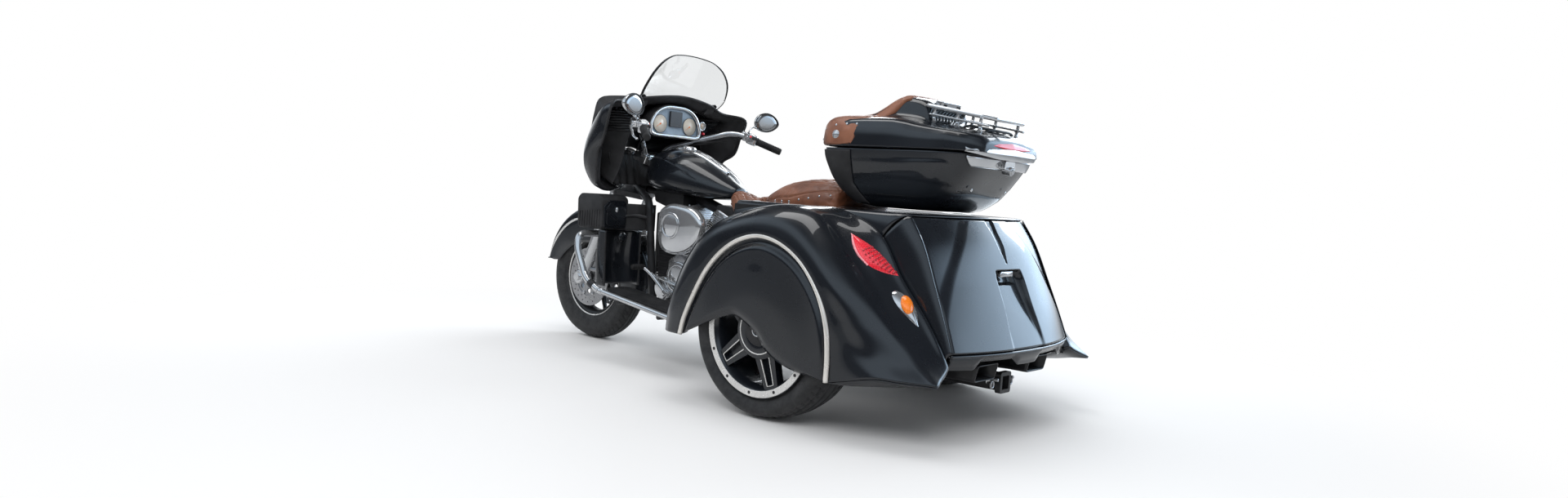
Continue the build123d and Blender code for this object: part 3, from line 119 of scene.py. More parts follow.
def corner_arc(corner, u, v, cut, steps):
    """Arc in place of a corner; u and v are the unit directions away from it."""
    return [(1 - t) ** 2 * (corner + u * cut) + 2 * t * (1 - t) * corner + t ** 2 * (corner + v * cut)
            for t in np.linspace(0, 1, steps)]


def rounded(points, radius, steps=6):
    """Closed outline with its corners turned into arcs."""
    p = arr(points)
    out = []
    for i in range(len(p)):
        a, b, c = p[i - 1], p[i], p[(i + 1) % len(p)]
        u, v = (a - b), (c - b)
        lu, lv = np.linalg.norm(u), np.linalg.norm(v)
        u, v = u / lu, v / lv
        angle = math.acos(np.clip(u @ v, -1, 1))
        cut = min(radius / max(math.tan(angle / 2), 1e-3), 0.48 * lu, 0.48 * lv)
        out += corner_arc(b, u, v, cut, steps)
    return np.array(out)


def rounded_open(points, radius, steps=6):
    """Open outline with its inner corners turned into arcs."""
    p = arr(points)
    out = [p[0]]
    for a, b, c in zip(p[:-2], p[1:-1], p[2:]):
        lu, lv = np.linalg.norm(a - b), np.linalg.norm(c - b)
        out += corner_arc(b, (a - b) / lu, (c - b) / lv, min(radius, 0.48 * lu, 0.48 * lv), steps)
    out.append(p[-1])
    return np.array(out)


def bend(points, radius, count=120):
    """Path through corner points with each corner turned into an arc."""
    return even(rounded_open(points, radius, 14), count)


def circle(radius, count, centre=(0, 0)):
    """Points round a circle, the first one straight along u."""
    return [(centre[0] + radius * math.cos(a), centre[1] + radius * math.sin(a))
            for a in np.linspace(0, 2 * math.pi, count + 1)[:-1]]


def smooth(t):
    t = np.clip(t, 0, 1)
    return t * t * (3 - 2 * t)


def faces_of(rows, cols, close_rows, close_cols):
    out = []
    for i in range(rows if close_rows else rows - 1):
        for j in range(cols if close_cols else cols - 1):
            a, b = i * cols + j, i * cols + (j + 1) % cols
            c, d = ((i + 1) % rows) * cols + (j + 1) % cols, ((i + 1) % rows) * cols + j
            out.append((a, b, c, d))
    return out


class Mesh:
    """Vertices and faces gathered from several shapes, in millimetres."""

    def __init__(self):
        self.v, self.f, self.n = [], [], 0

    def add(self, verts, faces):
        verts = arr(verts)
        self.f += [tuple(i + self.n for i in face) for face in faces]
        self.v.append(verts)
        self.n += len(verts)
        return self

    def grid(self, rows, close_rows=False, close_cols=False, caps=False, flip=False):
        rows = np.asarray(rows, float)
        n, m = rows.shape[:2]
        faces = faces_of(n, m, close_rows, close_cols)
        if caps and not close_rows:
            faces.append(tuple(range(m - 1, -1, -1)))
            faces.append(tuple((n - 1) * m + j for j in range(m)))
        if flip:
            faces = [face[::-1] for face in faces]
        return self.add(rows.reshape(-1, 3), faces)

    def tube(self, path, radius, sides, closed=False, squash=1.0):
        """Round bar along a path; radius is one number or one for each point."""
        path = arr(path)
        n = len(path)
        radius = np.broadcast_to(np.asarray(radius, float), (n,))
        tangent = np.gradient(path, axis=0) if not closed else np.roll(path, -1, 0) - np.roll(path, 1, 0)
        tangent /= np.linalg.norm(tangent, axis=1)[:, None] + 1e-12
        ref = np.array([0, 0, 1.0]) if abs(tangent[0][2]) < 0.9 else np.array([1.0, 0, 0])
        normal = np.cross(tangent[0], ref)
        normal /= np.linalg.norm(normal)
        rings = []
        for i in range(n):
            normal = normal - tangent[i] * (normal @ tangent[i])
            normal /= np.linalg.norm(normal)
            side = np.cross(tangent[i], normal)
            angle = np.linspace(0, 2 * math.pi, sides, endpoint=False)[:, None]
            rings.append(path[i] + radius[i] * (np.cos(angle) * normal + squash * np.sin(angle) * side))
        return self.grid(rings, close_rows=closed, close_cols=True, caps=not closed)

    def rod(self, start, end, radius, sides=20, edge=1.0):
        """Straight round bar with softened ends."""
        start, end = np.array(start, float), np.array(end, float)
        length = np.linalg.norm(end - start)
        edge = min(edge, 0.3 * length, 0.5 * radius)
        along = (end - start) / length
        stops = [0, edge * 0.3, edge, length - edge, length - edge * 0.3, length]
        radii = [radius - edge, radius - edge * 0.3, radius, radius, radius - edge * 0.3, radius - edge]
        return self.tube([start + along * s for s in stops], radii, sides)

    def lathe(self, profile, centre, axis, sides, closed=True):
        """Turned shape; profile is (radius, distance along the axis)."""
        profile = arr(profile)
        angle = np.linspace(0, 2 * math.pi, sides, endpoint=False)
        rows = []
        for r, h in profile:
            c, s = r * np.cos(angle), r * np.sin(angle)
            flat = np.full(sides, h)
            ring = {"y": (s, flat, c), "x": (flat, c, s), "z": (c, s, flat)}[axis]
            rows.append(np.stack(ring, 1) + np.array(centre, float))
        return self.grid(rows, close_rows=closed, close_cols=True)

    def slab(self, outline, depth, place):
        """Plate from an outline (u, v); place(u, v, w) gives the point at depth w."""
        outline = arr(outline)
        low = [place(u, v, depth[0]) for u, v in outline]
        high = [place(u, v, depth[1]) for u, v in outline]
        n = len(outline)
        faces = [tuple(range(n))[::-1], tuple(range(n, 2 * n))]
        faces += [(i, (i + 1) % n, n + (i + 1) % n, n + i) for i in range(n)]
        return self.add(low + high, faces)

    def turned(self, matrix):
        """The same shapes moved by a 4x4 matrix."""
        other = Mesh()
        m = np.array(matrix)
        for block in self.v:
            other.v.append(block @ m[:3, :3].T + m[:3, 3])
        other.f, other.n = list(self.f), self.n
        return other

    def join(self, other):
        return self.add(np.vstack(other.v), other.f)

    def reflected(self):
        """The mirror image on the other side of the centre plane."""
        return Mesh().add(np.vstack(self.v) * np.array([1, -1, 1.0]), [face[::-1] for face in self.f])

    def mirrored(self):
        """The shapes with their mirror image beside them."""
        return self.join(self.reflected())

    def object(self, name, material, bevel=0.0, steps=2, thickness=0.0, offset=-1.0, weld=0.0):
        """The Blender object; bevel, thickness and weld are in millimetres, offset is as in Solidify."""
        mesh = bpy.data.meshes.new(name)
        verts = np.vstack(self.v) / 1000 + SHIFT
        mesh.from_pydata(verts.tolist(), [], self.f)
        if weld:
            welded = bmesh.new()
            welded.from_mesh(mesh)
            bmesh.ops.remove_doubles(welded, verts=welded.verts, dist=weld / 1000)
            welded.to_mesh(mesh)
            welded.free()
        mesh.update()
        mesh.polygons.foreach_set("use_smooth", [True] * len(mesh.polygons))
        obj = bpy.data.objects.new(name, mesh)
        bpy.context.scene.collection.objects.link(obj)
        obj.data.materials.append(material)
        if thickness:
            solid = obj.modifiers.new("thickness", "SOLIDIFY")
            solid.thickness = thickness / 1000
            solid.offset = offset
            solid.use_even_offset = False
        if bevel:
            edge = obj.modifiers.new("edges", "BEVEL")
            edge.width = bevel / 1000
            edge.segments = steps
            edge.limit_method = "ANGLE"
            edge.angle_limit = math.radians(35)
            edge.use_clamp_overlap = True
            normals = obj.modifiers.new("normals", "WEIGHTED_NORMAL")
            normals.keep_sharp = True
        return obj


def put(obj, body, slot, *nodes):
    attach(obj, body)
    if nodes:
        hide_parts(*nodes)
    return obj


def side(y0, flip=1):
    """Place function for a plate drawn from the side, (x, z), standing at y0."""
    return lambda u, v, w: (u, y0 + flip * w, v)


def plan(u, v, w):
    """Place function for a plate drawn from above, (x, y)."""
    return u, v, w


def facing(x0, flip=1):
    """Place function for a plate drawn from the front, (y, z), standing at x0."""
    return lambda u, v, w: (x0 + flip * w, u, v)


# ------------------------------------------------------------------ materials
class Nodes:
    """Shader nodes of a material or a world; socket names are written with _ for a space."""

    def __init__(self, tree):
        self.tree = tree

    def node(self, kind, **sockets):
        node = self.tree.nodes.new(kind)
        for key, value in sockets.items():
            node.inputs[key.replace("_", " ")].default_value = value
        return node

    def link(self, out, into):
        self.tree.links.new(out, into)

    def math(self, operation, first, second):
        node = self.node("ShaderNodeMath")
        node.operation = operation
        for value, socket in zip((first, second), node.inputs):
            if isinstance(value, float):
                socket.default_value = value
            else:
                self.link(value, socket)
        return node.outputs[0]

    def eased(self, value, low, high):
        """0 at low, 1 at high, easing in and out."""
        node = self.node("ShaderNodeMapRange", From_Min=low, From_Max=high)
        node.interpolation_type = "SMOOTHSTEP"
        self.link(value, node.inputs["Value"])
        return node.outputs["Result"]

    def mixed(self, factor, first, second):
        """Mix of two shaders."""
        node = self.node("ShaderNodeMixShader")
        for value, socket in zip((factor, first, second), node.inputs):
            self.link(value, socket)
        return node.outputs[0]


class Finish(Nodes):
    """A node material around one Principled shader, in object coordinates."""

    def __init__(self, name, **sockets):
        self.mat = bpy.data.materials.new(name)
        self.mat.use_nodes = True
        super().__init__(self.mat.node_tree)
        self.bsdf = next(n for n in self.tree.nodes if n.type == "BSDF_PRINCIPLED")
        for key, value in sockets.items():
            self.bsdf.inputs[key.replace("_", " ")].default_value = value
        self.coords = self.node("ShaderNodeTexCoord").outputs["Object"]
        self.height = None

    def noise(self, scale, detail=4.0, rough=0.5):
        node = self.node("ShaderNodeTexNoise", Scale=scale, Detail=detail, Roughness=rough)
        self.link(self.coords, node.inputs["Vector"])
        return node.outputs["Fac"]

    def cells(self, scale, feature="F1", randomness=1.0):
        node = self.node("ShaderNodeTexVoronoi", Scale=scale, Randomness=randomness)
        node.feature = feature
        self.link(self.coords, node.inputs["Vector"])
        return node.outputs["Distance"]

    def rings(self, scale):
        """Turning marks round the wheel's axle."""
        node = self.node("ShaderNodeTexWave", Scale=scale, Distortion=0.0)
        node.wave_type = "RINGS"
        node.rings_direction = "Y"
        self.link(self.coords, node.inputs["Vector"])
        return node.outputs["Fac"]

    def ramp(self, value, stops):
        node = self.node("ShaderNodeValToRGB")
        elements = node.color_ramp.elements
        while len(elements) < len(stops):
            elements.new(0.5)
        for element, (place, colour) in zip(elements, stops):
            element.position = place
            element.color = (*colour, 1)
        self.link(value, node.inputs["Fac"])
        return node.outputs["Color"]

    def spread(self, value, low, high, a=0.3, b=0.7):
        node = self.node("ShaderNodeMapRange", From_Min=a, From_Max=b, To_Min=low, To_Max=high)
        self.link(value, node.inputs["Value"])
        return node.outputs["Result"]

    def colour(self, value, stops):
        self.link(self.ramp(value, stops), self.bsdf.inputs["Base Color"])
        return self

    def blend(self, amount, first, second, kind="MIX"):
        node = self.node("ShaderNodeMix")
        node.data_type = "RGBA"
        node.blend_type = kind
        a, b = node.inputs[6], node.inputs[7]
        self.link(amount, node.inputs[0])
        for value, socket in ((first, a), (second, b)):
            if isinstance(value, tuple):
                socket.default_value = (*value, 1)
            else:
                self.link(value, socket)
        return node.outputs[2]

    def roughness(self, value, low, high):
        self.link(self.spread(value, low, high), self.bsdf.inputs["Roughness"])
        return self

    def relief(self, value, strength, distance):
        """Bump on top of the bumps added before."""
        node = self.node("ShaderNodeBump", Strength=strength, Distance=distance)
        self.link(value, node.inputs["Height"])
        if self.height is not None:
            self.link(self.height, node.inputs["Normal"])
        self.height = node.outputs["Normal"]
        self.link(self.height, self.bsdf.inputs["Normal"])
        return self


def gloss_paint(name, low, high):
    f = Finish(name, Coat_Weight=1.0, Coat_Roughness=0.02, Coat_IOR=1.5, Specular_IOR_Level=0.3)
    flake = f.noise(2600, 1.0)
    body = f.ramp(f.noise(2.2, 3.0), [(0.3, low), (0.7, high)])
    f.link(f.blend(f.spread(flake, 0, 0.5), body, high), f.bsdf.inputs["Base Color"])
    f.roughness(f.noise(9, 4), 0.24, 0.34)
    f.relief(f.noise(150, 2.0), 0.012, 0.0005)
    return f.mat


def coated(name, low, high, rough, grain, depth, metal=0.0, coat=0.0):
    """Painted, moulded or cast surface with an even fine grain and soft blotches."""
    shine = 0.5 if metal else 0.28
    f = Finish(name, Metallic=metal, Coat_Weight=coat, Coat_Roughness=0.2, Specular_IOR_Level=shine)
    f.colour(f.noise(14, 6), [(0.32, low), (0.68, high)])
    f.roughness(f.noise(40, 5), rough - 0.07, rough + 0.09)
    f.relief(f.noise(grain, 3), 0.35, depth)
    return f.mat


def plated(name, low, high, rough, wave=0.0):
    """Polished or plated metal with faint polishing marks and handling haze."""
    f = Finish(name, Metallic=0.84)
    f.colour(f.noise(6, 4), [(0.3, low), (0.7, high)])
    haze = f.noise(24, 6, 0.65)
    f.roughness(haze, rough, rough * 1.9 + 0.02)
    f.relief(f.noise(45, 2), 0.02, 0.001)
    if wave:
        f.relief(f.rings(wave), 0.08, 0.0002)
    return f.mat


def leather(name, dark, mid, light):
    f = Finish(name, Sheen_Weight=0.12, Sheen_Roughness=0.4, Coat_Weight=0.18, Coat_Roughness=0.32)
    wide = f.noise(9, 5, 0.6)
    pores = f.cells(620, "DISTANCE_TO_EDGE")
    base = f.ramp(wide, [(0.28, dark), (0.5, mid), (0.74, light)])
    f.link(f.blend(f.spread(pores, 0.35, 0.0, 0.0, 0.12), base, dark, "MULTIPLY"),
           f.bsdf.inputs["Base Color"])
    f.roughness(f.noise(60, 4), 0.36, 0.56)
    f.relief(pores, 0.30, 0.0006)
    f.relief(f.noise(34, 5, 0.6), 0.22, 0.0022)
    return f.mat


def tyre_rubber():
    f = Finish("tyre", Sheen_Weight=0.08)
    f.colour(f.noise(30, 6), [(0.3, (0.013, 0.013, 0.014)), (0.7, (0.030, 0.030, 0.031))])
    f.roughness(f.noise(80, 4), 0.58, 0.78)
    f.relief(f.noise(420, 4), 0.3, 0.0006)
    return f.mat


def lens(name, low, high, cell, glow=0.0):
    f = Finish(name, Coat_Weight=1.0, Coat_Roughness=0.03, IOR=1.5)
    pattern = f.cells(cell, randomness=0.15)
    f.link(f.ramp(pattern, [(0.18, high), (0.6, low)]), f.bsdf.inputs["Base Color"])
    f.roughness(f.noise(70, 3), 0.12, 0.2)
    f.relief(pattern, 0.25, 0.0012)
    if glow:
        f.bsdf.inputs["Emission Color"].default_value = (*high, 1)
        f.bsdf.inputs["Emission Strength"].default_value = glow
    return f.mat


def clear(name, tint):
    f = Finish(name, Transmission_Weight=1.0, IOR=1.45)
    f.colour(f.noise(3, 3), [(0.3, tint), (0.7, tuple(min(1, c * 1.03) for c in tint))])
    f.roughness(f.noise(20, 5, 0.7), 0.01, 0.025)
    f.relief(f.noise(5, 2), 0.01, 0.001)
    return f.mat


# The black is the paint's own colour; the faint blue cast in both base colours is a painted reflection of
# blue sky.
PAINT = gloss_paint("paint_black", (0.0045, 0.0055, 0.0075), (0.009, 0.011, 0.015))
SATIN = coated("paint_satin", (0.012, 0.012, 0.013), (0.026, 0.026, 0.028), 0.36, 900, 0.0003, coat=0.3)
MATTE = coated("plastic_black", (0.018, 0.018, 0.019), (0.034, 0.034, 0.036), 0.55, 1500, 0.0006)
CARPET = coated("liner", (0.012, 0.012, 0.013), (0.030, 0.030, 0.032), 0.92, 2400, 0.0016)
CHROME = plated("chrome", (0.66, 0.67, 0.69), (0.80, 0.81, 0.82), 0.05)
MACHINED = coated("machined", (0.70, 0.69, 0.67), (0.80, 0.79, 0.77), 0.26, 900, 0.0003, metal=0.45)
BRIGHT = coated("bright_trim", (0.74, 0.71, 0.66), (0.86, 0.83, 0.78), 0.20, 800, 0.0002, metal=0.5)
ALLOY = coated("cast_alloy", (0.38, 0.38, 0.39), (0.52, 0.52, 0.53), 0.40, 700, 0.0006, metal=1.0)
STEEL = plated("disc_steel", (0.42, 0.42, 0.43), (0.56, 0.56, 0.57), 0.26, wave=520)
TYRE = tyre_rubber()
CASE_GREY = coated("engine_cast", (0.10, 0.10, 0.105), (0.16, 0.16, 0.165), 0.42, 600, 0.0007, metal=0.8)
RUBBER = coated("rubber", (0.014, 0.014, 0.015), (0.028, 0.028, 0.029), 0.68, 600, 0.0010)
LEATHER = leather("tan_leather", (0.115, 0.040, 0.020), (0.215, 0.080, 0.040), (0.30, 0.125, 0.068))
LEATHER_DARK = leather("leather_piping", (0.080, 0.030, 0.016), (0.14, 0.052, 0.028), (0.19, 0.075, 0.040))
THREAD = coated("thread", (0.24, 0.10, 0.055), (0.36, 0.16, 0.09), 0.7, 2600, 0.0004)
SCREEN = clear("clear_screen", (0.84, 0.855, 0.86))
MIRROR = plated("mirror_glass", (0.27, 0.275, 0.28), (0.33, 0.335, 0.34), 0.015)
RED = lens("red_lens", (0.60, 0.010, 0.022), (0.86, 0.045, 0.07), 150, 0.10)
PANEL_BLUE = coated("dial_panel", (0.24, 0.33, 0.43), (0.34, 0.44, 0.54), 0.28, 900, 0.0002, coat=0.6)
FACE_CREAM = coated("dial_face", (0.62, 0.58, 0.50), (0.74, 0.70, 0.62), 0.35, 1200, 0.0001, coat=0.5)
SCREEN_DARK = coated("dark_glass", (0.008, 0.008, 0.010), (0.016, 0.014, 0.014), 0.12, 1200, 0.0001, coat=1.0)
GLASS_BLACK = coated("pod_black", (0.006, 0.006, 0.008), (0.012, 0.012, 0.014), 0.16, 900, 0.0001, coat=1.0)
RED_DARK = lens("cell_red", (0.30, 0.004, 0.010), (0.46, 0.012, 0.025), 400)
ROSE = lens("strip_rose", (0.86, 0.30, 0.34), (0.95, 0.42, 0.45), 300)
AMBER = lens("amber_lens", (0.80, 0.16, 0.008), (0.95, 0.30, 0.02), 210, 0.05)

SLOT_MATERIAL = {
    "gloss_black": PAINT, "satin_black": SATIN, "matte_black": MATTE, "chrome": CHROME,
    "cast_grey": ALLOY, "tyre_rubber": TYRE, "rubber": RUBBER, "tan_leather": LEATHER,
    "clear_screen": SCREEN, "red_lens": RED, "amber_lens": AMBER, "steel": STEEL,
}

# CAD nodes that stay in view take their slot's finish
for name, node in CAD.items():
    for index, old in enumerate(node.data.materials):
        node.data.materials[index] = SLOT_MATERIAL[old.name.split(".")[0]]
CAD["engine_covers"].data.materials[0] = CHROME
CAD["rear_axle"].data.materials[0] = SATIN


# ------------------------------------------------------------------ rear fenders
CREST = arr([(527, 262), (518, 361), (469, 498), (400, 614), (300, 698), (165, 751), (-20, 786),
             (-165, 768), (-262, 690), (-400, 536), (-520, 398), (-615, 292), (-700, 230)])
OUTER = arr([(392, 262), (374, 352), (326, 470), (266, 560), (192, 630), (100, 676), (0, 696),
             (-110, 680), (-212, 624), (-306, 520), (-372, 410), (-430, 312), (-520, 236)])
ARCH = arr([(370, 262), (352, 330), (305, 430), (250, 522), (180, 596), (96, 648), (0, 671),
            (-100, 654), (-200, 598), (-284, 500), (-330, 392), (-345, 290), (-346, 199)])
INNER = arr([(508, 262), (499, 358), (449, 492), (380, 606), (284, 690), (156, 742), (-20, 783),
             (-190, 777), (-345, 708), (-452, 560), (-575, 415), (-640, 322), (-668, 275)])
OUT_Y, CREST_Y, IN_Y = 735.0, 598.0, 456.0
RIDGE_Y, VALLEY_Y = 480.0, 462.0
TIP_Y = 664.0


def sunk(profile, depths):
    """Profile moved inward along its own normals, by a depth at each point."""
    tangent = np.gradient(profile, axis=0)
    tangent /= np.linalg.norm(tangent, axis=1)[:, None]
    return profile + np.column_stack([tangent[:, 1], -tangent[:, 0]]) * -np.array(depths, float)[:, None]


VALLEY = sunk(INNER, [4, 4, 4, 4, 4, 4, 6, 16, 30, 34, 32, 26, 18])


def fender_stations():
    """Side profiles across the fender, outer arch first, with each one's distance to the left."""
    mix = lambda a, b, t: a + (b - a) * t
    y_tip = lambda y, share: np.array([y - share * (OUT_Y - TIP_Y) * smooth((-x - 330) / 370)
                                       for x, _ in CREST])
    return [
        (ARCH, y_tip(OUT_Y - 1, 0.2)),
        (mix(ARCH, OUTER, 0.35), y_tip(OUT_Y, 0.35)),
        (OUTER, y_tip(OUT_Y - 1, 0.65)),
        (mix(OUTER, CREST, 0.36), y_tip(OUT_Y - 10, 0.9)),
        (mix(OUTER, CREST, 0.66), y_tip(OUT_Y - 38, 0.95)),
        (mix(OUTER, CREST, 0.90), y_tip(OUT_Y - 84, 0.65)),
        (CREST, y_tip(CREST_Y, 0.0)),
        (mix(CREST, INNER, 0.35), y_tip(CREST_Y - 46, 0.0)),
        (mix(CREST, INNER, 0.75), y_tip(CREST_Y - 96, 0.0)),
        (INNER, y_tip(RIDGE_Y, 0.0)),
        (sunk(INNER, np.full(13, 3.0)), y_tip(RIDGE_Y - 7, 0.0)),
        (VALLEY, y_tip(VALLEY_Y, 0.0)),
    ]


FENDER = loft([spline([(x, y, z) for (x, z), y in zip(profile, ys)], 150)
               for profile, ys in fender_stations()], 84)
REAR_SLOPE = FENDER[FENDER.shape[0] // 2:, FENDER.shape[1] // 2:].reshape(-1, 3)


def build_fenders():
    mesh = Mesh().grid(FENDER, flip=True)
    put(mesh.mirrored().object("rear_fenders_skin", PAINT, thickness=5), "chassis", "gloss_black",
        "rear_fenders")
    top = FENDER[-1]
    # the wall stops higher over the axle
    floor_z = np.minimum(np.where(np.abs(top[:, 0]) < 92, 412.0, 252.0), top[:, 2] - 3)
    low = np.column_stack([top[:, 0], np.full(len(top), IN_Y + 3), floor_z])
    wall = Mesh().grid([top + np.array([0, -1.0, 0]), low])
    put(wall.mirrored().object("wheel_well_walls", PAINT, thickness=5), "chassis", "gloss_black")
    belly = Mesh()
    tail = FENDER[:, -1]
    foot = FENDER[0, -1]
    rows = []
    for t in np.linspace(0, 1, 6):
        row = tail.copy()
        row[:, 0] = tail[:, 0] + (np.maximum(tail[:, 0], -352) - tail[:, 0]) * t
        row[:, 2] = tail[:, 2] + (foot[2] - tail[:, 2]) * smooth(t * 1.6)
        rows.append(row)
    belly.grid(rows)
    put(belly.mirrored().object("fender_tails_underside", PAINT, thickness=4), "chassis", "gloss_black")


def skirt_rows():
    """Domed cover inside the arch: rows run from the bright bead to the lower edge."""
    count = 90
    arch = spline(ARCH[::-1], count)
    lower = spline([(-346, 199), (-260, 206), (-166, 220), (-107, 241), (-60, 268), (-20, 312), (40, 350),
                    (94, 370), (143, 359), (204, 338), (266, 311), (338, 278), (370, 262)], count)
    rows = []
    for t in np.concatenate([np.linspace(0, 0.2, 14), np.linspace(0.22, 0.97, 22), [1.0]]):
        flat = arch + (lower - arch) * t
        gap = np.linalg.norm(flat - arch, axis=1)
        y = OUT_Y - 7 - 6 * smooth(gap / 8) + 15 * smooth((gap - 22) / 26)
        y += 6 * smooth((gap - 40) / 190)
        y -= 14 * smooth((t - 0.9) / 0.1)
        rows.append(np.stack([flat[:, 0], y, flat[:, 1]], 1))
    return np.array(rows)


def build_skirts():
    mesh = Mesh().grid(skirt_rows())
    put(mesh.mirrored().object("wheel_skirts_domed", PAINT, thickness=3.5), "chassis", "gloss_black",
        "wheel_skirts")
    path = spline([(x, OUT_Y - 2, z) for x, z in ARCH[::-1]], 120)
    bead = Mesh().tube(path, 9.6, 16, squash=0.9)
    put(bead.mirrored().object("fender_bead", BRIGHT), "chassis", "chrome", "fender_trims")


# ------------------------------------------------------------------ trunk door
DOOR_EDGE = arr([(-664, 318), (-627, 410), (-570, 540), (-503, 685), (-440, 779)])
DOOR_BULGE = 70.0


def build_door():
    heights = np.linspace(319, 779, 150)
    edge_line = spline(DOOR_EDGE, 300)
    edge = np.interp(heights, edge_line[:, 1], edge_line[:, 0])
    shares = np.linspace(-1, 1, 190)
    grid = np.zeros((len(heights), len(shares), 3))
    for i, z in enumerate(heights):
        half = door_half(z)
        y = shares * half
        x = edge[i] - DOOR_BULGE * (1 - np.abs(shares) ** 2.3)
        drop = np.zeros(len(shares))
        # centre groove, narrowing to a point under the lock
        low_end = 622
        width = 15 * smooth((z - low_end) / 70) + 9 * smooth((z - 730) / 45)
        if z > low_end:
            drop += 9 * smooth((width + 5 - np.abs(y)) / 6)
        # inverted-V scoop below the latch: sides spread towards the bottom edge
        depth = 30 * smooth((600 - z) / 14) * (1 - smooth((560 - z) / 250)) + 6 * smooth((600 - z) / 20)
        spread_y = 98 - 6 * smooth((z - 560) / 30) + 22 * smooth((500 - z) / 180)
        drop += depth * smooth((spread_y + 10 - np.abs(y)) / 20)
        # deep pocket behind the latch
        pocket = smooth((600 - z) / 8) * smooth((z - 540) / 8)
        drop += 14 * pocket * smooth((78 - np.abs(y)) / 10)
        # soft shoulder creases from the top corners
        crease = 150 + 1.15 * (779 - z) - 0.0009 * (779 - z) ** 2
        drop += 6 * smooth((np.abs(y) - crease + 20) / 60)
        # rolled edges
        rim = np.minimum(np.minimum(half - np.abs(y), z - 318), 781 - z)
        drop += 7 * (1 - smooth(rim / 9)) ** 2
        grid[i] = np.stack([x + drop, y, np.full(len(y), z)], 1)
    mesh = Mesh().grid(grid, flip=True)
    put(mesh.object("trunk_door_skin", PAINT, thickness=12), "trunk_hatch", "gloss_black", "trunk_door")
    latch = Mesh()
    face = lambda u, v, w: (-600 - w, u, 582 + v)
    domed(latch, rounded([(-52, -11), (52, -11), (46, 11), (-46, 11)], 8, 6),
          [(0.97, 0), (1, 2), (1, 6), (0.96, 9), (0.88, 10)], 3, face)
    latch.slab(rounded([(-14, -7), (14, -7), (14, 7), (-14, 7)], 4, 5), (-34, 2), face)
    put(latch.object("door_latch_paddle", CHROME, bevel=0.6), "trunk_hatch", "chrome", "door_latch")
    liner = Mesh().slab(rounded([(-74, -24), (74, -24), (70, 12), (-70, 12)], 10, 6), (-44, -38), face)
    put(liner.object("door_latch_pocket", MATTE, bevel=1), "trunk_hatch", "matte_black")


# ------------------------------------------------------------------ trunk between the fenders
SHOULDER_Y = 418.0


def door_half(z):
    """Half width of the door at a height."""
    return 448 - 30 * (z - 318) / 461


def seam_point(z):
    """Trunk's edge beside the door at a height, on the left."""
    edge = spline(DOOR_EDGE, 200)
    x = np.interp(z, edge[:, 1], edge[:, 0])
    return np.array([x + 1.5, door_half(z) + 4, z])


def deck_rear_x(y):
    """Rear edge of the deck above the door's top, bowed like the door."""
    share = np.minimum(1, np.abs(y) / SHOULDER_Y)
    return -437 - DOOR_BULGE * (1 - share ** 2.3)


def valley_point(x):
    line = spline(VALLEY[::-1], 400)
    z = np.interp(x, line[:, 0], line[:, 1])
    return np.array([x, VALLEY_Y, z])


def shoulder(start, control, end, count):
    """Rounded corner between two edges: a quadratic curve."""
    t = np.linspace(0, 1, count)[:, None]
    return (1 - t) ** 2 * start + 2 * t * (1 - t) * control + t ** 2 * end


def trunk_rows():
    """Rows across the trunk's left half: over the deck, then down beside the door."""
    flat_ys = np.linspace(0, SHOULDER_Y, 26)
    rows = []
    for u in np.linspace(0, 1, 64):
        x = 388 + (deck_rear_x(flat_ys) - 388) * u
        z = 784.5 + 2.5 * (1 - (flat_ys / SHOULDER_Y) ** 2) - 5.0 * smooth((u - 0.965) / 0.035)
        deck = np.column_stack([x, flat_ys, z])
        foot = valley_point(388 + (-335 - 388) * u)
        control = np.array([x[-1] * 0.6 + foot[0] * 0.4, VALLEY_Y + 1, deck[-1, 2] + 1])
        rows.append(np.vstack([deck[:-1], shoulder(deck[-1], control, foot, 22)]))
    beside = []
    for w in np.linspace(0, 1, 46):
        z = 779.5 + (320 - 779.5) * w
        start = seam_point(z)
        foot = valley_point(-335 + (-640 + 335) * w)
        control = np.array([start[0] + 10, VALLEY_Y + 1, z + 1])
        beside.append(shoulder(start, control, foot, 22))
    return np.array(rows), np.array(beside)


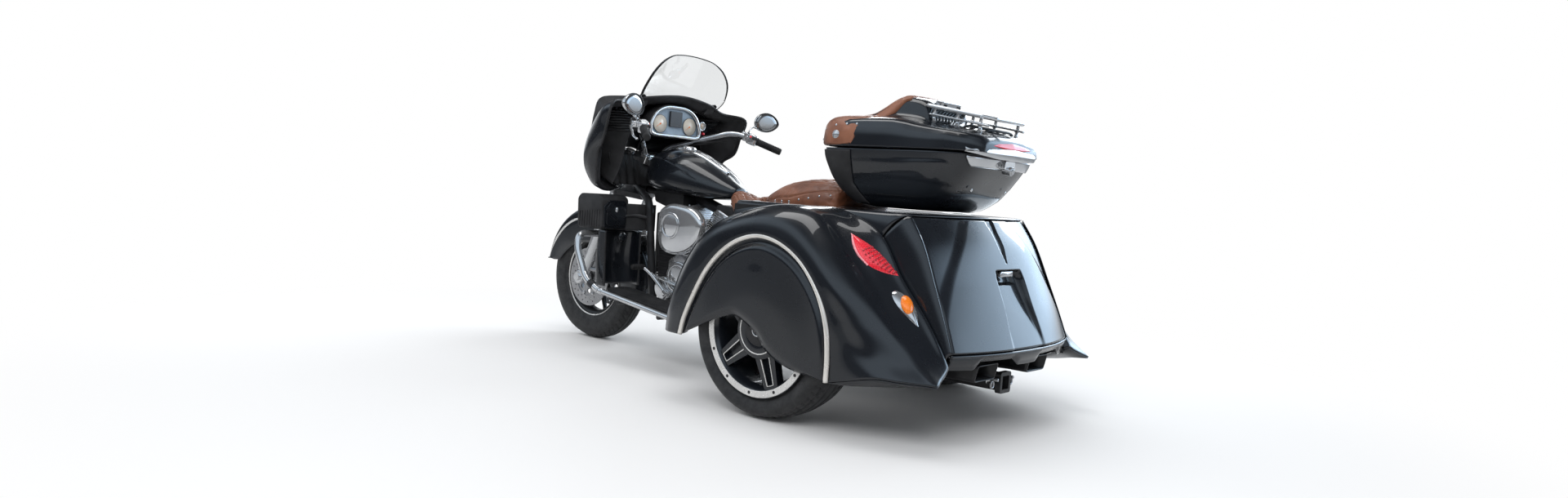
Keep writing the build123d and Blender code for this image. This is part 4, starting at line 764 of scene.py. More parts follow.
def build_trunk():
    deck, beside = trunk_rows()
    mesh = Mesh().grid(deck, flip=True).grid(beside, flip=True)
    put(mesh.mirrored().object("trunk_shell", PAINT, thickness=3.5, weld=0.4), "chassis", "gloss_black",
        "trunk_body")
    # carpeted tub: a sheet round three sides, open behind
    heights = np.linspace(344, 772, 22)
    rows = []
    for z in heights:
        edge = seam_point(z)
        half = edge[1] - 8
        line = rounded_open([(edge[0] + 26, half), (-131, half), (-131, -half), (edge[0] + 26, -half)], 40)
        rows.append([(x, y, z) for x, y in line])
    tub = Mesh().grid(np.array(rows))
    floor = [(x, y, 345) for x, y in tub_plan(345, 26)]
    roof = [(x, y, 771) for x, y in tub_plan(771, 26)]
    tub.add(np.array(floor), [tuple(range(len(floor)))])
    tub.add(np.array(roof), [tuple(range(len(roof)))[::-1]])
    put(tub.object("trunk_lining", CARPET, thickness=4), "chassis", "matte_black")
    pan = Mesh().slab(tub_plan(324, 22), (318, 341), plan)
    put(pan.object("trunk_floor_pan", SATIN, bevel=3), "chassis", "satin_black")
    front = Mesh()
    front.slab(rounded([(-446, 441), (446, 441), (446, 776), (-446, 776)], 20), (0, 5),
               lambda u, v, w: (410 - (v - 440) * 0.089 + w, u, v))
    front.slab(rounded([(-446, 420), (446, 420), (446, 776), (-446, 776)], 10), (0, 5), facing(-128))
    for y in (-1, 1):
        front.slab([(-126, 446), (408, 446), (386, 774), (-126, 774)], (0, 4),
                   lambda u, v, w, y=y: (u, y * (449 + w), v))
        front.slab(rounded([(-125, 590), (-22, 590), (-22, 606), (-125, 618)], 4), (0, 70),
                   lambda u, v, w, y=y: (u, y * (155 + w), v))
    put(front.object("trunk_bulkheads", SATIN, bevel=1.5), "chassis", "satin_black")
    seal = Mesh()
    edge = [seam_point(z) + [22, -9, 0] for z in np.linspace(340, 762, 24)]
    top = [(deck_rear_x(y) + 22, y, 768) for y in np.linspace(400, -400, 30)]
    low = [(-700 + 62 * abs(y / 440) ** 2.3 + 14, y, 345) for y in np.linspace(-430, 430, 30)]
    path = spline(np.vstack([edge, top, [p * [1, -1, 1] for p in edge[::-1]], low]), 260, closed=True)
    seal.tube(path, 5.5, 8, closed=True)
    put(seal.object("trunk_door_seal", RUBBER), "chassis", "rubber")


def tub_plan(z, gap):
    """Plan outline of the trunk's inside at a height, with the bowed rear edge."""
    edge = seam_point(max(z, 320))
    half = edge[1] - 8
    ys = np.linspace(half, -half, 25)
    rear = [(edge[0] + gap - DOOR_BULGE * (1 - abs(y / half) ** 2.3), y) for y in ys]
    return rear + [(-130, -half), (-130, half)]


# ------------------------------------------------------------------ tail lamps and indicators
def on_fender(y, z):
    """Point on the left fender's rear slope at a distance to the left and a height."""
    gap = (REAR_SLOPE[:, 1] - y) ** 2 + (REAR_SLOPE[:, 2] - z) ** 2
    near = np.argsort(gap)[:6]
    weight = 1 / (gap[near] + 1)
    return np.array([(REAR_SLOPE[near, 0] * weight).sum() / weight.sum(), y, z])


SLOPE_OUT = arr([-0.69, 0.39, 0.585])


def leaf(left, right, rows, columns, raise_edge, raise_middle, power=2.0):
    """Sheet on the fender between two edges given as (y, z), domed between them."""
    left, right = spline(left, rows), spline(right, rows)
    grid = np.zeros((rows, columns, 3))
    for i in range(rows):
        for j, t in enumerate(np.linspace(0, 1, columns)):
            y, z = left[i] + (right[i] - left[i]) * t
            across = 1 - abs(2 * t - 1) ** power
            along = 1 - abs(2 * i / (rows - 1) - 1) ** power
            raised = raise_edge + (raise_middle - raise_edge) * across * along
            grid[i, j] = on_fender(y, z) + SLOPE_OUT * raised
    return grid


def leaf_solid(grid, depth):
    """Closed piece from a sheet: the sheet in front and a copy sunk behind it."""
    mesh = Mesh()
    front, back = grid, grid - SLOPE_OUT * depth
    mesh.grid(front, flip=True).grid(back)
    for a, b in ((front[:, 0], back[:, 0]), (back[:, -1], front[:, -1]), (back[0], front[0]),
                 (front[-1], back[-1])):
        mesh.grid(np.array([a, b]), flip=True)
    return mesh


def build_tail_lamps():
    pod_left = [(548, 722), (574, 676), (588, 632), (585, 560), (569, 462), (550, 396), (530, 362)]
    pod_right = [(546, 724), (532, 690), (512, 656), (494, 590), (490, 500), (499, 430), (528, 362)]
    pod = leaf(pod_left, pod_right, 60, 14, 1.5, 3.0, 6)
    put(leaf_solid(pod, 4).mirrored().object("lamp_pods", GLASS_BLACK), "chassis", "gloss_black")
    edge = np.vstack([pod[:, 0], pod[::-1, -1]])
    rim = Mesh().tube(spline(edge[::4], 140, closed=True) + SLOPE_OUT * 0.5, 2.0, 8, closed=True)
    put(rim.mirrored().object("lamp_pod_rims", PAINT), "chassis", "gloss_black")
    lamp_left = [(557, 698), (573, 664), (578, 630), (566, 598), (532, 577), (486, 566)]
    lamp_right = [(555, 699), (541, 684), (524, 664), (506, 634), (494, 602), (484, 566)]
    lens_grid = leaf(lamp_left, lamp_right, 44, 20, 5, 17)
    put(leaf_solid(lens_grid, 8).mirrored().object("tail_lamp_lenses", RED), "chassis", "red_lens",
        "tail_lamps")
    strip_left = [(560, 701), (577, 665), (582, 630), (570, 595)]
    strip_right = [(558, 699), (571, 665), (576, 630), (565, 598)]
    strip = leaf(strip_left, strip_right, 24, 5, 8, 12)
    put(leaf_solid(strip, 6).mirrored().object("tail_lamp_side_strips", ROSE), "chassis", "red_lens")
    dots = Mesh()
    for i in range(15, 42, 3):
        for j in range(5 + (i % 2), 19, 3):
            dots.add(*dome(lens_grid[i, j], SLOPE_OUT, 4.6, 2.4))
    put(dots.mirrored().object("tail_lamp_cells", RED_DARK), "chassis", "red_lens")


def dome(centre, normal, radius, height, rings=4, sides=12, wide=None):
    """Vertices and faces of a low dome standing on a surface; wide stretches it two ways across it."""
    n = arr(normal) / np.linalg.norm(normal)
    u = np.cross(n, [0, 0, 1.0])
    u /= np.linalg.norm(u)
    v = np.cross(n, u)
    stretch_u, stretch_v = wide if wide else (1.0, 1.0)
    verts, faces = [], []
    for r in range(rings):
        a = math.pi / 2 * r / rings
        for s in range(sides):
            b = 2 * math.pi * s / sides
            level = (u * math.cos(b) * stretch_u + v * math.sin(b) * stretch_v) * radius * math.cos(a)
            verts.append(arr(centre) + level + n * height * math.sin(a))
    verts.append(arr(centre) + n * height)
    for r in range(rings - 1):
        for s in range(sides):
            k, m = r * sides + s, r * sides + (s + 1) % sides
            faces.append((k, k + sides, m + sides, m))
    top = (rings - 1) * sides
    for s in range(sides):
        faces.append((top + s, rings * sides, top + (s + 1) % sides))
    faces.append(tuple(range(sides)))
    return np.array(verts), faces


def build_indicators():
    base_left = [(520, 520), (542, 508), (548, 478), (540, 446), (528, 420), (516, 400)]
    base_right = [(517, 520), (498, 508), (488, 478), (494, 446), (505, 420), (514, 400)]
    base = leaf(base_left, base_right, 26, 14, 3, 16)
    put(leaf_solid(base, 6).mirrored().object("indicator_bases", CHROME), "chassis", "chrome")
    centre = on_fender(514, 470) + SLOPE_OUT * 10
    lens_mesh = Mesh().add(*dome(centre, SLOPE_OUT, 26, 16, 8, 36, wide=(0.92, 1.45)))
    put(lens_mesh.mirrored().object("indicator_lenses", AMBER), "chassis", "amber_lens", "turn_signals")


# ------------------------------------------------------------------ below the door
def build_valance():
    count = 120
    ys = np.linspace(-450, 450, count)
    x_edge = -657 - DOOR_BULGE * (1 - np.abs(ys / 450) ** 2.3)
    bottom = np.interp(np.abs(ys), [0, 70, 110, 300, 332, 450], [262, 263, 289, 289, 260, 264])
    rows = []
    for t in np.linspace(0, 1, 14):
        z = 316 + (bottom - 316) * t
        swell = 6 * np.sin(math.pi * min(1, t * 1.3)) - 10 * t
        rows.append(np.column_stack([x_edge - swell, ys, z]))
    sheet = Mesh().grid(np.array(rows))
    plate = np.array([np.column_stack([x_edge, ys, np.full(count, 316.0)]),
                      np.column_stack([np.full(count, -592.0), ys * 0.985, np.full(count, 316.0)])])
    sheet.grid(plate, flip=True)
    put(sheet.object("rear_valance_sheet", PAINT, thickness=4, weld=0.4), "chassis", "gloss_black",
        "rear_valance")
    lip = Mesh().tube(np.column_stack([x_edge - 1, ys, np.full(count, 312.0)]), 5.0, 10)
    put(lip.object("valance_lip", PAINT), "chassis", "gloss_black")


def build_hitch_details():
    mesh = Mesh()
    mesh.rod((-594, -46, 176), (-594, 46, 176), 7.6)
    mesh.lathe([(0, 0), (11, 0), (11, 6), (0, 6)], (-594, 44, 176), "y", 24, closed=False)
    put(mesh.object("hitch_pin", CHROME, bevel=0.8), "chassis", "chrome")
    eyes = Mesh()
    for y in (-1, 1):
        ring = [(-622, y * (72 + 11 * math.cos(a)), 172 + 13 * math.sin(a))
                for a in np.linspace(0, 2 * math.pi, 24)[:-1]]
        eyes.tube(ring, 4.2, 10, closed=True)
        eyes.rod((-600, y * 60, 190), (-640, y * 60, 190), 6)
    put(eyes.object("hitch_chain_eyes", STEEL), "chassis", "steel")


# ------------------------------------------------------------------ top box
def plan_ring(front, rear, half, count=160):
    """Closed plan outline, its corners fuller in front than behind: front and rear x, half width."""
    angle = np.linspace(0, 2 * math.pi, count, endpoint=False)
    c, s = np.cos(angle), np.sin(angle)
    power = np.where(c > 0, 2 / 9, 2 / 4.4)
    x = (front + rear) / 2 + (front - rear) / 2 * np.sign(c) * np.abs(c) ** power
    return np.stack([x, half * np.sign(s) * np.abs(s) ** power], 1)


# height, front x, rear x, half width of the lower shell
BOX = [(803, -78, -378, 196), (812, -40, -404, 222), (850, 14, -458, 254), (900, 56, -500, 276),
       (950, 82, -538, 289), (990, 97, -562, 297), (1020, 101, -572, 300)]


def box_rows(heights, inset=0.0):
    line = spline(BOX, 400)
    rows = []
    for z in heights:
        front, rear, half = (np.interp(z, line[:, 0], line[:, k]) for k in (1, 2, 3))
        ring = plan_ring(front - inset, rear + inset, half - inset)
        rows.append(np.column_stack([ring, np.full(len(ring), z)]))
    return np.array(rows)


def build_box():
    rows = box_rows(np.linspace(803, 1020, 34))
    x, y, z = rows[..., 0], rows[..., 1], rows[..., 2]
    # raised panel on each side, its upper edge arching rearward
    edge = np.interp(-x, [80, 94, 143, 219, 313, 463, 500], [860, 904, 955, 979, 987, 990, 975])
    inside = smooth((edge - z) / 9) * smooth((-x - 84) / 16) * smooth((500 + x) / 30) * smooth((z - 838) / 14)
    lower = np.interp(-x, [140, 211, 350, 500], [880, 921, 917, 900])
    inside -= 0.55 * smooth((lower - z) / 7) * smooth((-x - 120) / 30) * smooth((520 + x) / 60)
    rows[..., 1] += np.sign(y) * 5.0 * inside * smooth((np.abs(y) - 150) / 60)
    floor = np.array([[(p[0] + 280) * 0.94 - 280, p[1] * 0.94, 799.5] for p in rows[0]])
    inner = box_rows(np.linspace(1020, 812, 12), 5.0)
    mesh = Mesh().grid(np.concatenate([[floor], rows, inner]), close_cols=True, caps=True, flip=True)
    put(mesh.object("top_box_shell", PAINT), "chassis", "gloss_black", "top_box")
    # matte wrap over the front of the shell, with a slanted rear edge
    wrap = box_rows(np.linspace(812, 1013, 30), -3.0)
    count = wrap.shape[1]
    half_count = count // 4 + 4
    order = np.arange(-half_count, half_count + 1) % count
    wrap = wrap[:, order]
    limit = np.interp(wrap[..., 2], [808, 887, 1023], [-116, -65, -58])
    wrap[..., 0] = np.maximum(wrap[..., 0], limit)
    side_half = np.interp(wrap[..., 2], [r[0] for r in BOX], [r[3] for r in BOX]) + 3
    flat = wrap[..., 0] <= limit + 0.5
    wrap[..., 1] = np.where(flat, np.sign(wrap[..., 1]) * np.minimum(side_half, np.abs(wrap[..., 1]) + 6),
                            wrap[..., 1])
    put(Mesh().grid(wrap, flip=True).object("top_box_front_wrap", MATTE, thickness=3), "chassis",
        "matte_black")


# station x, then (y, z) from the seam to the centre line: side, ridge, step, hump
LID = [
    (86, [(236, 1026), (238, 1060), (226, 1090), (170, 1106), (120, 1112), (0, 1114)]),
    (60, [(276, 1026), (277, 1075), (262, 1112), (190, 1124), (150, 1130), (0, 1131)]),
    (0, [(297, 1026), (296, 1085), (277, 1128), (184, 1138), (158, 1142), (0, 1144)]),
    (-70, [(301, 1026), (298, 1088), (278, 1134), (176, 1143), (154, 1168), (0, 1172)]),
    (-140, [(302, 1026), (298, 1088), (277, 1135), (172, 1149), (150, 1208), (0, 1214)]),
    (-185, [(302, 1026), (298, 1088), (276, 1135), (170, 1148), (148, 1227), (0, 1233)]),
    (-225, [(301, 1026), (297, 1087), (275, 1134), (168, 1146), (146, 1228), (0, 1234)]),
    (-285, [(300, 1026), (295, 1084), (272, 1126), (164, 1138), (142, 1208), (0, 1214)]),
    (-318, [(299, 1026), (294, 1080), (270, 1120), (160, 1126), (138, 1140), (0, 1144)]),
    (-400, [(295, 1026), (290, 1074), (268, 1107), (152, 1112), (130, 1122), (0, 1128)]),
    (-480, [(288, 1026), (284, 1072), (264, 1097), (142, 1103), (122, 1109), (0, 1113)]),
    (-535, [(262, 1026), (258, 1062), (238, 1088), (132, 1096), (112, 1101), (0, 1104)]),
    (-568, [(226, 1026), (222, 1052), (204, 1078), (120, 1086), (100, 1090), (0, 1092)]),
    (-586, [(200, 1026), (196, 1044), (182, 1060), (110, 1066), (90, 1068), (0, 1069)]),
]


def lid_rows():
    sections = []
    for x, points in LID:
        half = [(x, y, z) for y, z in points]
        sections.append(section_samples(half + [(x, -y, z) for _, y, z in half[-2::-1]]))
    return loft(sections, 90)


def section_samples(points, per=9):
    """Samples of a section with firm but rounded corners, the same number for each stretch."""
    p = arr(points)
    out = []
    for i in range(len(p) - 1):
        a, b = p[i], p[i + 1]
        for t in np.linspace(0, 1, per, endpoint=False):
            q = a + (b - a) * t
            near = min(t, 1 - t)
            if near < 0.22:
                corner = i if t < 0.5 else i + 1
                if 0 < corner < len(p) - 1:
                    prev, here, after = p[corner - 1], p[corner], p[corner + 1]
                    pull = 0.16 * (prev + after - 2 * here) * (0.22 - near) / 0.22 * 0.5
                    limit = np.linalg.norm(pull)
                    q = q + pull * min(1, 9 / (limit + 1e-6))
            out.append(q)
    out.append(p[-1])
    return np.array(out)


def build_lid():
    rows = lid_rows()
    mesh = Mesh().grid(rows, caps=True)
    put(mesh.object("top_box_lid_shell", PAINT, thickness=4), "box_cover", "gloss_black", "top_box_lid")
    middle = (rows[:, :, 0].min() + rows[:, :, 0].max()) / 2
    inside = rows.copy()
    inside[..., 0] = middle + (rows[..., 0] - middle) * 0.86
    inside[..., 1] *= 0.84
    inside[..., 2] = np.maximum(rows[..., 2] - 40, 1029)
    inside[..., 2] = np.where(rows[..., 2] > 1120, np.minimum(inside[..., 2], 1098), inside[..., 2])
    put(Mesh().grid(inside, flip=True).object("lid_lining", CARPET, thickness=2), "box_cover", "satin_black")
    ribs = Mesh()
    for i in range(4):
        x = -440 - 30 * i
        z = np.interp(x, [r[0] for r in LID][::-1], [r[1][-1][1] for r in LID][::-1])
        path = spline([(x + 10, -118, z - 8), (x, -90, z + 7), (x - 6, 0, z + 10), (x, 90, z + 7),
                       (x + 10, 118, z - 8)], 30)
        ribs.tube(path, 6.5, 10, squash=0.7)
    put(ribs.object("lid_ribs", SATIN), "box_cover", "satin_black")


def tail_band(z_low, z_high, grow, x_limit, count=70):
    """Strip round the box's rear: from the left side, round the tail, to the right side."""
    line = spline(BOX, 300)
    rows = []
    for z in np.linspace(z_low, z_high, 6):
        front, rear, half = (np.interp(z, line[:, 0], line[:, k]) for k in (1, 2, 3))
        ring = plan_ring(front + grow, rear - grow, half + grow, 400)
        ring = ring[ring[:, 0] < x_limit]
        ring = ring[np.argsort(ring[:, 1])]
        rows.append(np.column_stack([even(ring, count), np.full(count, z)]))
    return np.array(rows)


def build_box_trim():
    mesh = Mesh().grid(tail_band(972, 1010, 3.5, -536))
    put(mesh.object("box_rear_band", CHROME, thickness=4), "chassis", "chrome", "box_trim")
    latch = Mesh().rod((-560, 0, 972), (-596, 0, 966), 17).rod((-592, 0, 967), (-601, 0, 965), 11)
    latch.slab(rounded([(-44, -16), (44, -16), (34, 20), (-34, 20)], 6), (-586, -572),
               lambda u, v, w: (w, u, 988 + v))
    put(latch.object("box_latch", CHROME, bevel=1.0), "chassis", "chrome")
    screws = Mesh()
    for y, x in ((130, -503), (-130, -503)):
        screws.add(*dome((x + 1, y, 887), (-1, 0, -0.5), 7.5, 4, 4, 20))
    put(screws.object("box_screws", CHROME), "chassis", "chrome")


def build_rack():
    slope = math.atan2(46.0, 272.0)
    place = lambda u, v, w=0: (-292 + u * math.cos(slope) - w * math.sin(slope), v,
                               1200 + u * math.sin(slope) + w * math.cos(slope))
    mesh = Mesh()
    ring = rounded([(4, -150), (4, 150), (-236, 144), (-280, 108), (-280, -108), (-236, -144)], 34, 9)
    mesh.tube([place(u, v) for u, v in ring], 10, 18, closed=True, squash=0.8)
    slats = Mesh()
    for y in (-120, -96, -72, -48, -24, 0, 24, 48, 72, 96, 120):
        reach = 276 if abs(y) < 100 else 262
        slats.tube([place(t, y, -3) for t in np.linspace(2, -reach, 12)], 8, 12, squash=0.42)
    put(slats.object("luggage_rack_slats", SATIN), "box_cover", "satin_black")
    for x in (-330, -432, -530):
        z = 1200 + (x + 292) * math.tan(slope)
        for y in (-145, 145):
            mesh.rod((x, y, z), (x + 3, y, z - 27), 6.0)
            mesh.lathe([(0, z - 34), (11, z - 34), (11, z - 26), (8, z - 22), (0, z - 22)], (x + 3, y, 0),
                       "z", 24, closed=False)
            mesh.tube([(x + 3, y, z - 30), (x + 5, y * 0.97, z - 50), (x + 8, y * 0.93, z - 66)], [6, 7, 10],
                      14)
    # lower rails along the lid beside the ribs
    for y in (-1, 1):
        mesh.tube(spline([(-296, y * 140, 1168), (-330, y * 146, 1164), (-430, y * 146, 1148),
                          (-530, y * 144, 1131), (-558, y * 134, 1125)], 40), 5.5, 12, squash=0.8)
    put(mesh.object("luggage_rack_bars", CHROME), "box_cover", "chrome", "luggage_rack")
    block = Mesh().slab(rounded([(-20, -72), (16, -72), (16, 72), (-20, 72)], 12), (-6, 26), place)
    put(block.object("rack_block", CHROME, bevel=3, steps=3), "box_cover", "chrome")
    bolts = Mesh()
    for v in (-50, 50):
        bolts.rod(place(-22, v, 12), place(-27, v, 12), 6)
    put(bolts.object("rack_block_bolts", SATIN), "box_cover", "satin_black")


def tail_x(y, z):
    """Rear face of the lid at a distance from the centre line and a height."""
    wall = np.interp(abs(y), [0, 100, 160, 190, 204, 226, 262], [-598, -594, -588, -582, -575, -566, -535])
    return wall + 22 * max(0.0, (z - 1046) / 40) ** 1.4


def tail_sheet(half, columns, levels, shape):
    """Sheet across the lid's tail; shape(share, t) gives its height and how far it stands out."""
    rows = []
    for t in np.linspace(0, 1, levels):
        row = []
        for y in np.linspace(-half, half, columns):
            z, out = shape(abs(y) / half, t)
            row.append((tail_x(y, z) - out, y, z))
        rows.append(row)
    return Mesh().grid(np.array(rows), flip=True)


def lamp_shape(share, t):
    low = 1046 + 16 * share ** 2
    top = low + 2 + 40 * (1 - share ** 2.2)
    return low + (top - low) * t, 2.5


def lip_shape(share, t):
    return 1004 + 20 * share ** 3 + (42 - 24 * share ** 2) * t, 5 * math.sin(math.pi * t) + 3


def build_box_lamp():
    """Three-cornered red lamp wrapped across the lid's tail, above a deep bright lip."""
    lamp = tail_sheet(212, 90, 10, lamp_shape)
    put(lamp.object("box_lamp_lens", RED, thickness=5), "box_cover", "red_lens", "box_lamp")
    put(tail_sheet(262, 110, 12, lip_shape).object("box_lamp_lip", CHROME, thickness=3), "box_cover",
        "chrome")


# ------------------------------------------------------------------ leather
def settle(obj):
    """Turn a piece's modifiers into its own mesh."""
    graph = bpy.context.evaluated_depsgraph_get()
    mesh = bpy.data.meshes.new_from_object(obj.evaluated_get(graph), depsgraph=graph)
    obj.modifiers.clear()
    obj.data = mesh
    mesh.polygons.foreach_set("use_smooth", [True] * len(mesh.polygons))


def coords_of(mesh):
    flat = np.empty(len(mesh.vertices) * 3)
    mesh.vertices.foreach_get("co", flat)
    return flat.reshape(-1, 3)


def swell(obj, held_below, cap_mm, pressure):
    """Fill the form like a cushion with cloth under pressure; its underside stays put."""
    remesh = obj.modifiers.new("remesh", "REMESH")
    remesh.mode = "VOXEL"
    remesh.voxel_size = 0.006
    settle(obj)
    before = coords_of(obj.data)
    group = obj.vertex_groups.new(name="held")
    group.add([int(i) for i in np.nonzero(before[:, 2] < held_below(before) / 1000)[0]], 1.0, "REPLACE")
    cloth = obj.modifiers.new("cloth", "CLOTH")
    cloth.settings.vertex_group_mass = "held"
    cloth.settings.use_pressure = True
    cloth.settings.uniform_pressure_force = pressure
    cloth.settings.effector_weights.gravity = 0
    cloth.settings.quality = 5
    cloth.settings.mass = 0.3
    cloth.settings.tension_stiffness = cloth.settings.compression_stiffness = 12
    cloth.settings.shear_stiffness = 5
    cloth.settings.bending_stiffness = 0.6
    cloth.point_cache.frame_start, cloth.point_cache.frame_end = 1, 20
    scene = bpy.context.scene
    for step in range(1, 21):
        scene.frame_set(step)
    graph = bpy.context.evaluated_depsgraph_get()
    after = coords_of(obj.evaluated_get(graph).to_mesh())
    moved = after - before
    reach = np.linalg.norm(moved, axis=1)[:, None] + 1e-9
    limit = cap_mm / 1000
    moved *= limit * np.tanh(reach / limit) / reach
    obj.modifiers.clear()
    obj.vertex_groups.clear()
    obj.data.vertices.foreach_set("co", (before + moved).ravel())
    scene.frame_set(1)


def pillow(name, body, nodes, rows, cap_mm, held=None, pressure=4.0, press=None):
    """Closed leather form, swollen by simulation, then pressed in along its seams."""
    obj = Mesh().grid(rows, close_cols=True, caps=True).object(name, LEATHER)
    low = rows[..., 2].min()
    swell(obj, held or (lambda p: np.full(len(p), low + 12.0)), cap_mm, pressure)
    sub = obj.modifiers.new("subdivide", "SUBSURF")
    sub.levels = sub.render_levels = 1
    settle(obj)
    if press:
        points = coords_of(obj.data)
        normals = np.empty(len(points) * 3)
        obj.data.vertices.foreach_get("normal", normals)
        normals = normals.reshape(-1, 3)
        depth = press((points - SHIFT) * 1000, normals)
        obj.data.vertices.foreach_set("co", (points - normals * depth[:, None] / 1000).ravel())
        obj.data.update()
    return put(obj, body, "tan_leather", *nodes)


def near_line(points, line):
    """Distance from points to a polyline (x, z), seen from the side."""
    p = points[:, (0, 2)]
    best = np.full(len(p), 1e9)
    for a, b in zip(line[:-1], line[1:]):
        step = np.array(b, float) - a
        t = np.clip(((p - a) @ step) / (step @ step + 1e-9), 0, 1)
        best = np.minimum(best, np.linalg.norm(p - (a + t[:, None] * step), axis=1))
    return best


def seat_on(obj, points, towards, lift=0.0):
    """Points dropped on a piece along a direction, with the surface normals there."""
    graph = bpy.context.evaluated_depsgraph_get()
    way = Vector(towards).normalized()
    found, normals = [], []
    for p in points:
        start = Vector((np.array(p, float) / 1000 + SHIFT).tolist()) - way * 0.25
        hit, place, normal, _ = obj.ray_cast(start, way, distance=0.6, depsgraph=graph)
        if hit:
            found.append((np.array(place) - SHIFT) * 1000 + np.array(normal) * lift)
            normals.append(np.array(normal))
    return np.array(found), np.array(normals)


def welt(name, obj, points, towards, radius=2.6):
    """Sewn leather piping laid along both sides of a pad."""
    line, _ = seat_on(obj, spline(points, 90), towards, radius * 0.3)
    pipe = Mesh().tube(line, radius, 10)
    put(pipe.mirrored().object(name + "_piping", LEATHER_DARK), "chassis", "tan_leather")


def pressed_line(gap, width, depth=3.4):
    """Depth of a seam's groove at a distance from its middle."""
    return depth * np.exp(-(gap / width) ** 2)


DIAMOND = 0.72  # sideways run of a quilting line for each unit forward


def diamond_gap(x, y, pitch):
    """Distance to the nearest line of a diamond net."""
    first, second = (x * DIAMOND + y) / pitch, (x * DIAMOND - y) / pitch
    return np.minimum(np.abs(first - np.round(first)), np.abs(second - np.round(second))) * pitch * 0.81


def faces_up(normals, start=0.3):
    return smooth((normals[:, 2] - start) / 0.3)


def stitches(mesh, line, normals, offset, length=5.0, gap=2.6, radius=0.75):
    """Short raised threads along a line, set off to one side of it."""
    along = np.concatenate([[0], np.cumsum(np.linalg.norm(np.diff(line, axis=0), axis=1))])
    for start in np.arange(3.0, along[-1] - length, length + gap):
        ends = [np.array([np.interp(s, along, line[:, k]) for k in range(3)])
                for s in (start, start + length)]
        middle = np.array([np.interp(start, along, normals[:, k]) for k in range(3)])
        side_way = np.cross(ends[1] - ends[0], middle)
        side_way *= offset / (np.linalg.norm(side_way) + 1e-9)
        a, b = ends[0] + side_way + middle * 0.2, ends[1] + side_way + middle * 0.2
        mesh.tube([a, a * 0.8 + b * 0.2 + middle * 0.7, a * 0.2 + b * 0.8 + middle * 0.7, b], radius, 6)
    return mesh


def diamond_threads(mesh, obj, front, length, steps, pitch, lines, border, height):
    """Threads along both families of quilting lines, inside the border on a pad's left half."""
    for k in lines:
        for sign in (-1, 1):
            points = []
            for t in np.linspace(0, 1, steps):
                x = front - length * t
                y = sign * (x * DIAMOND - pitch * k)
                if abs(y) < np.interp(x, *border) and y >= 0:
                    points.append((x, y, height))
            if len(points) > 3:
                row, around = seat_on(obj, points, DOWN)
                if len(row) > 3:
                    stitches(mesh, row, around, 0.01)


def studs(name, obj, body, points, towards, height=3.4):
    """Domed nail heads on both sides of a piece."""
    mesh = Mesh()
    for p, n in zip(*seat_on(obj, points, towards)):
        mesh.add(*dome(p - n * 0.4, n, 5.0, height, 6, 20))
    put(mesh.mirrored().object(name, CHROME), body, "chrome")


def crown_ring(x, half, top, fall, power, edge, drop, count):
    """Points across a pad's top, falling to its sides and rolled down past the share called edge."""
    ring = []
    for t in np.linspace(-1, 1, count):
        z = top + fall * abs(t) ** power
        if abs(t) > edge:
            z -= drop * smooth((abs(t) - edge) / (1 - edge))
        ring.append((x, half * t, z))
    return ring


def build_rider_saddle():
    """Rider's bucket, quilted between its side seams."""
    # stations down the length: x, half width, top at the centre, top at the side, underside
    table = [(802, 40, 822, 814, 800), (786, 52, 822, 808, 764), (740, 92, 806, 782, 728),
             (690, 128, 788, 762, 712), (630, 156, 780, 756, 706), (575, 172, 784, 766, 704),
             (535, 178, 800, 784, 706), (508, 172, 812, 796, 712)]
    rows = []
    for x, half, top, rim, low in spline(table, 60):
        ring = crown_ring(x, half, top, rim - top, 2.6, 0.86, 14, 41)
        ring += [(x, half * t * (1.0 - 0.10 * (1 - abs(t))), low + 10 * abs(t) ** 3)
                 for t in np.linspace(1, -1, 25)]
        rows.append(ring)
    stops = [520, 600, 690, 752]

    def quilted(points, normals):
        x, y = points[:, 0], points[:, 1]
        inside = smooth((np.minimum(752 - x, x - 520)) / 14) * smooth((118 - np.abs(y)) / 12)
        inside *= faces_up(normals)
        inside *= smooth((np.interp(x, stops, [132, 120, 92, 50]) - np.abs(y)) / 12)
        edge = np.minimum(np.abs(np.abs(y) - np.interp(x, stops, [140, 128, 98, 56])), 20)
        net = pressed_line(diamond_gap(x, y, 46), 4.2, 3.6) * inside
        return net + pressed_line(edge, 4.0, 3.0) * faces_up(normals, 0.2)

    obj = pillow("rider_saddle_leather", "chassis", ["rider_saddle"], np.array(rows), 8, press=quilted)
    border = [(760, 46, 900), (690, 98, 900), (600, 128, 900), (516, 141, 900)]
    threads = stitches(Mesh(), *seat_on(obj, spline(border, 120), DOWN), 3.2)
    diamond_threads(threads, obj, 752, 232, 60, 46, range(7, 19), (stops, [128, 116, 88, 46]), 900)
    put(threads.mirrored().object("rider_saddle_threads", THREAD), "chassis", "tan_leather")
    welt("rider_saddle_edge", obj, [(770, 66, 760), (700, 122, 738), (620, 158, 730), (540, 178, 732)],
         (0, -1, 0.12))


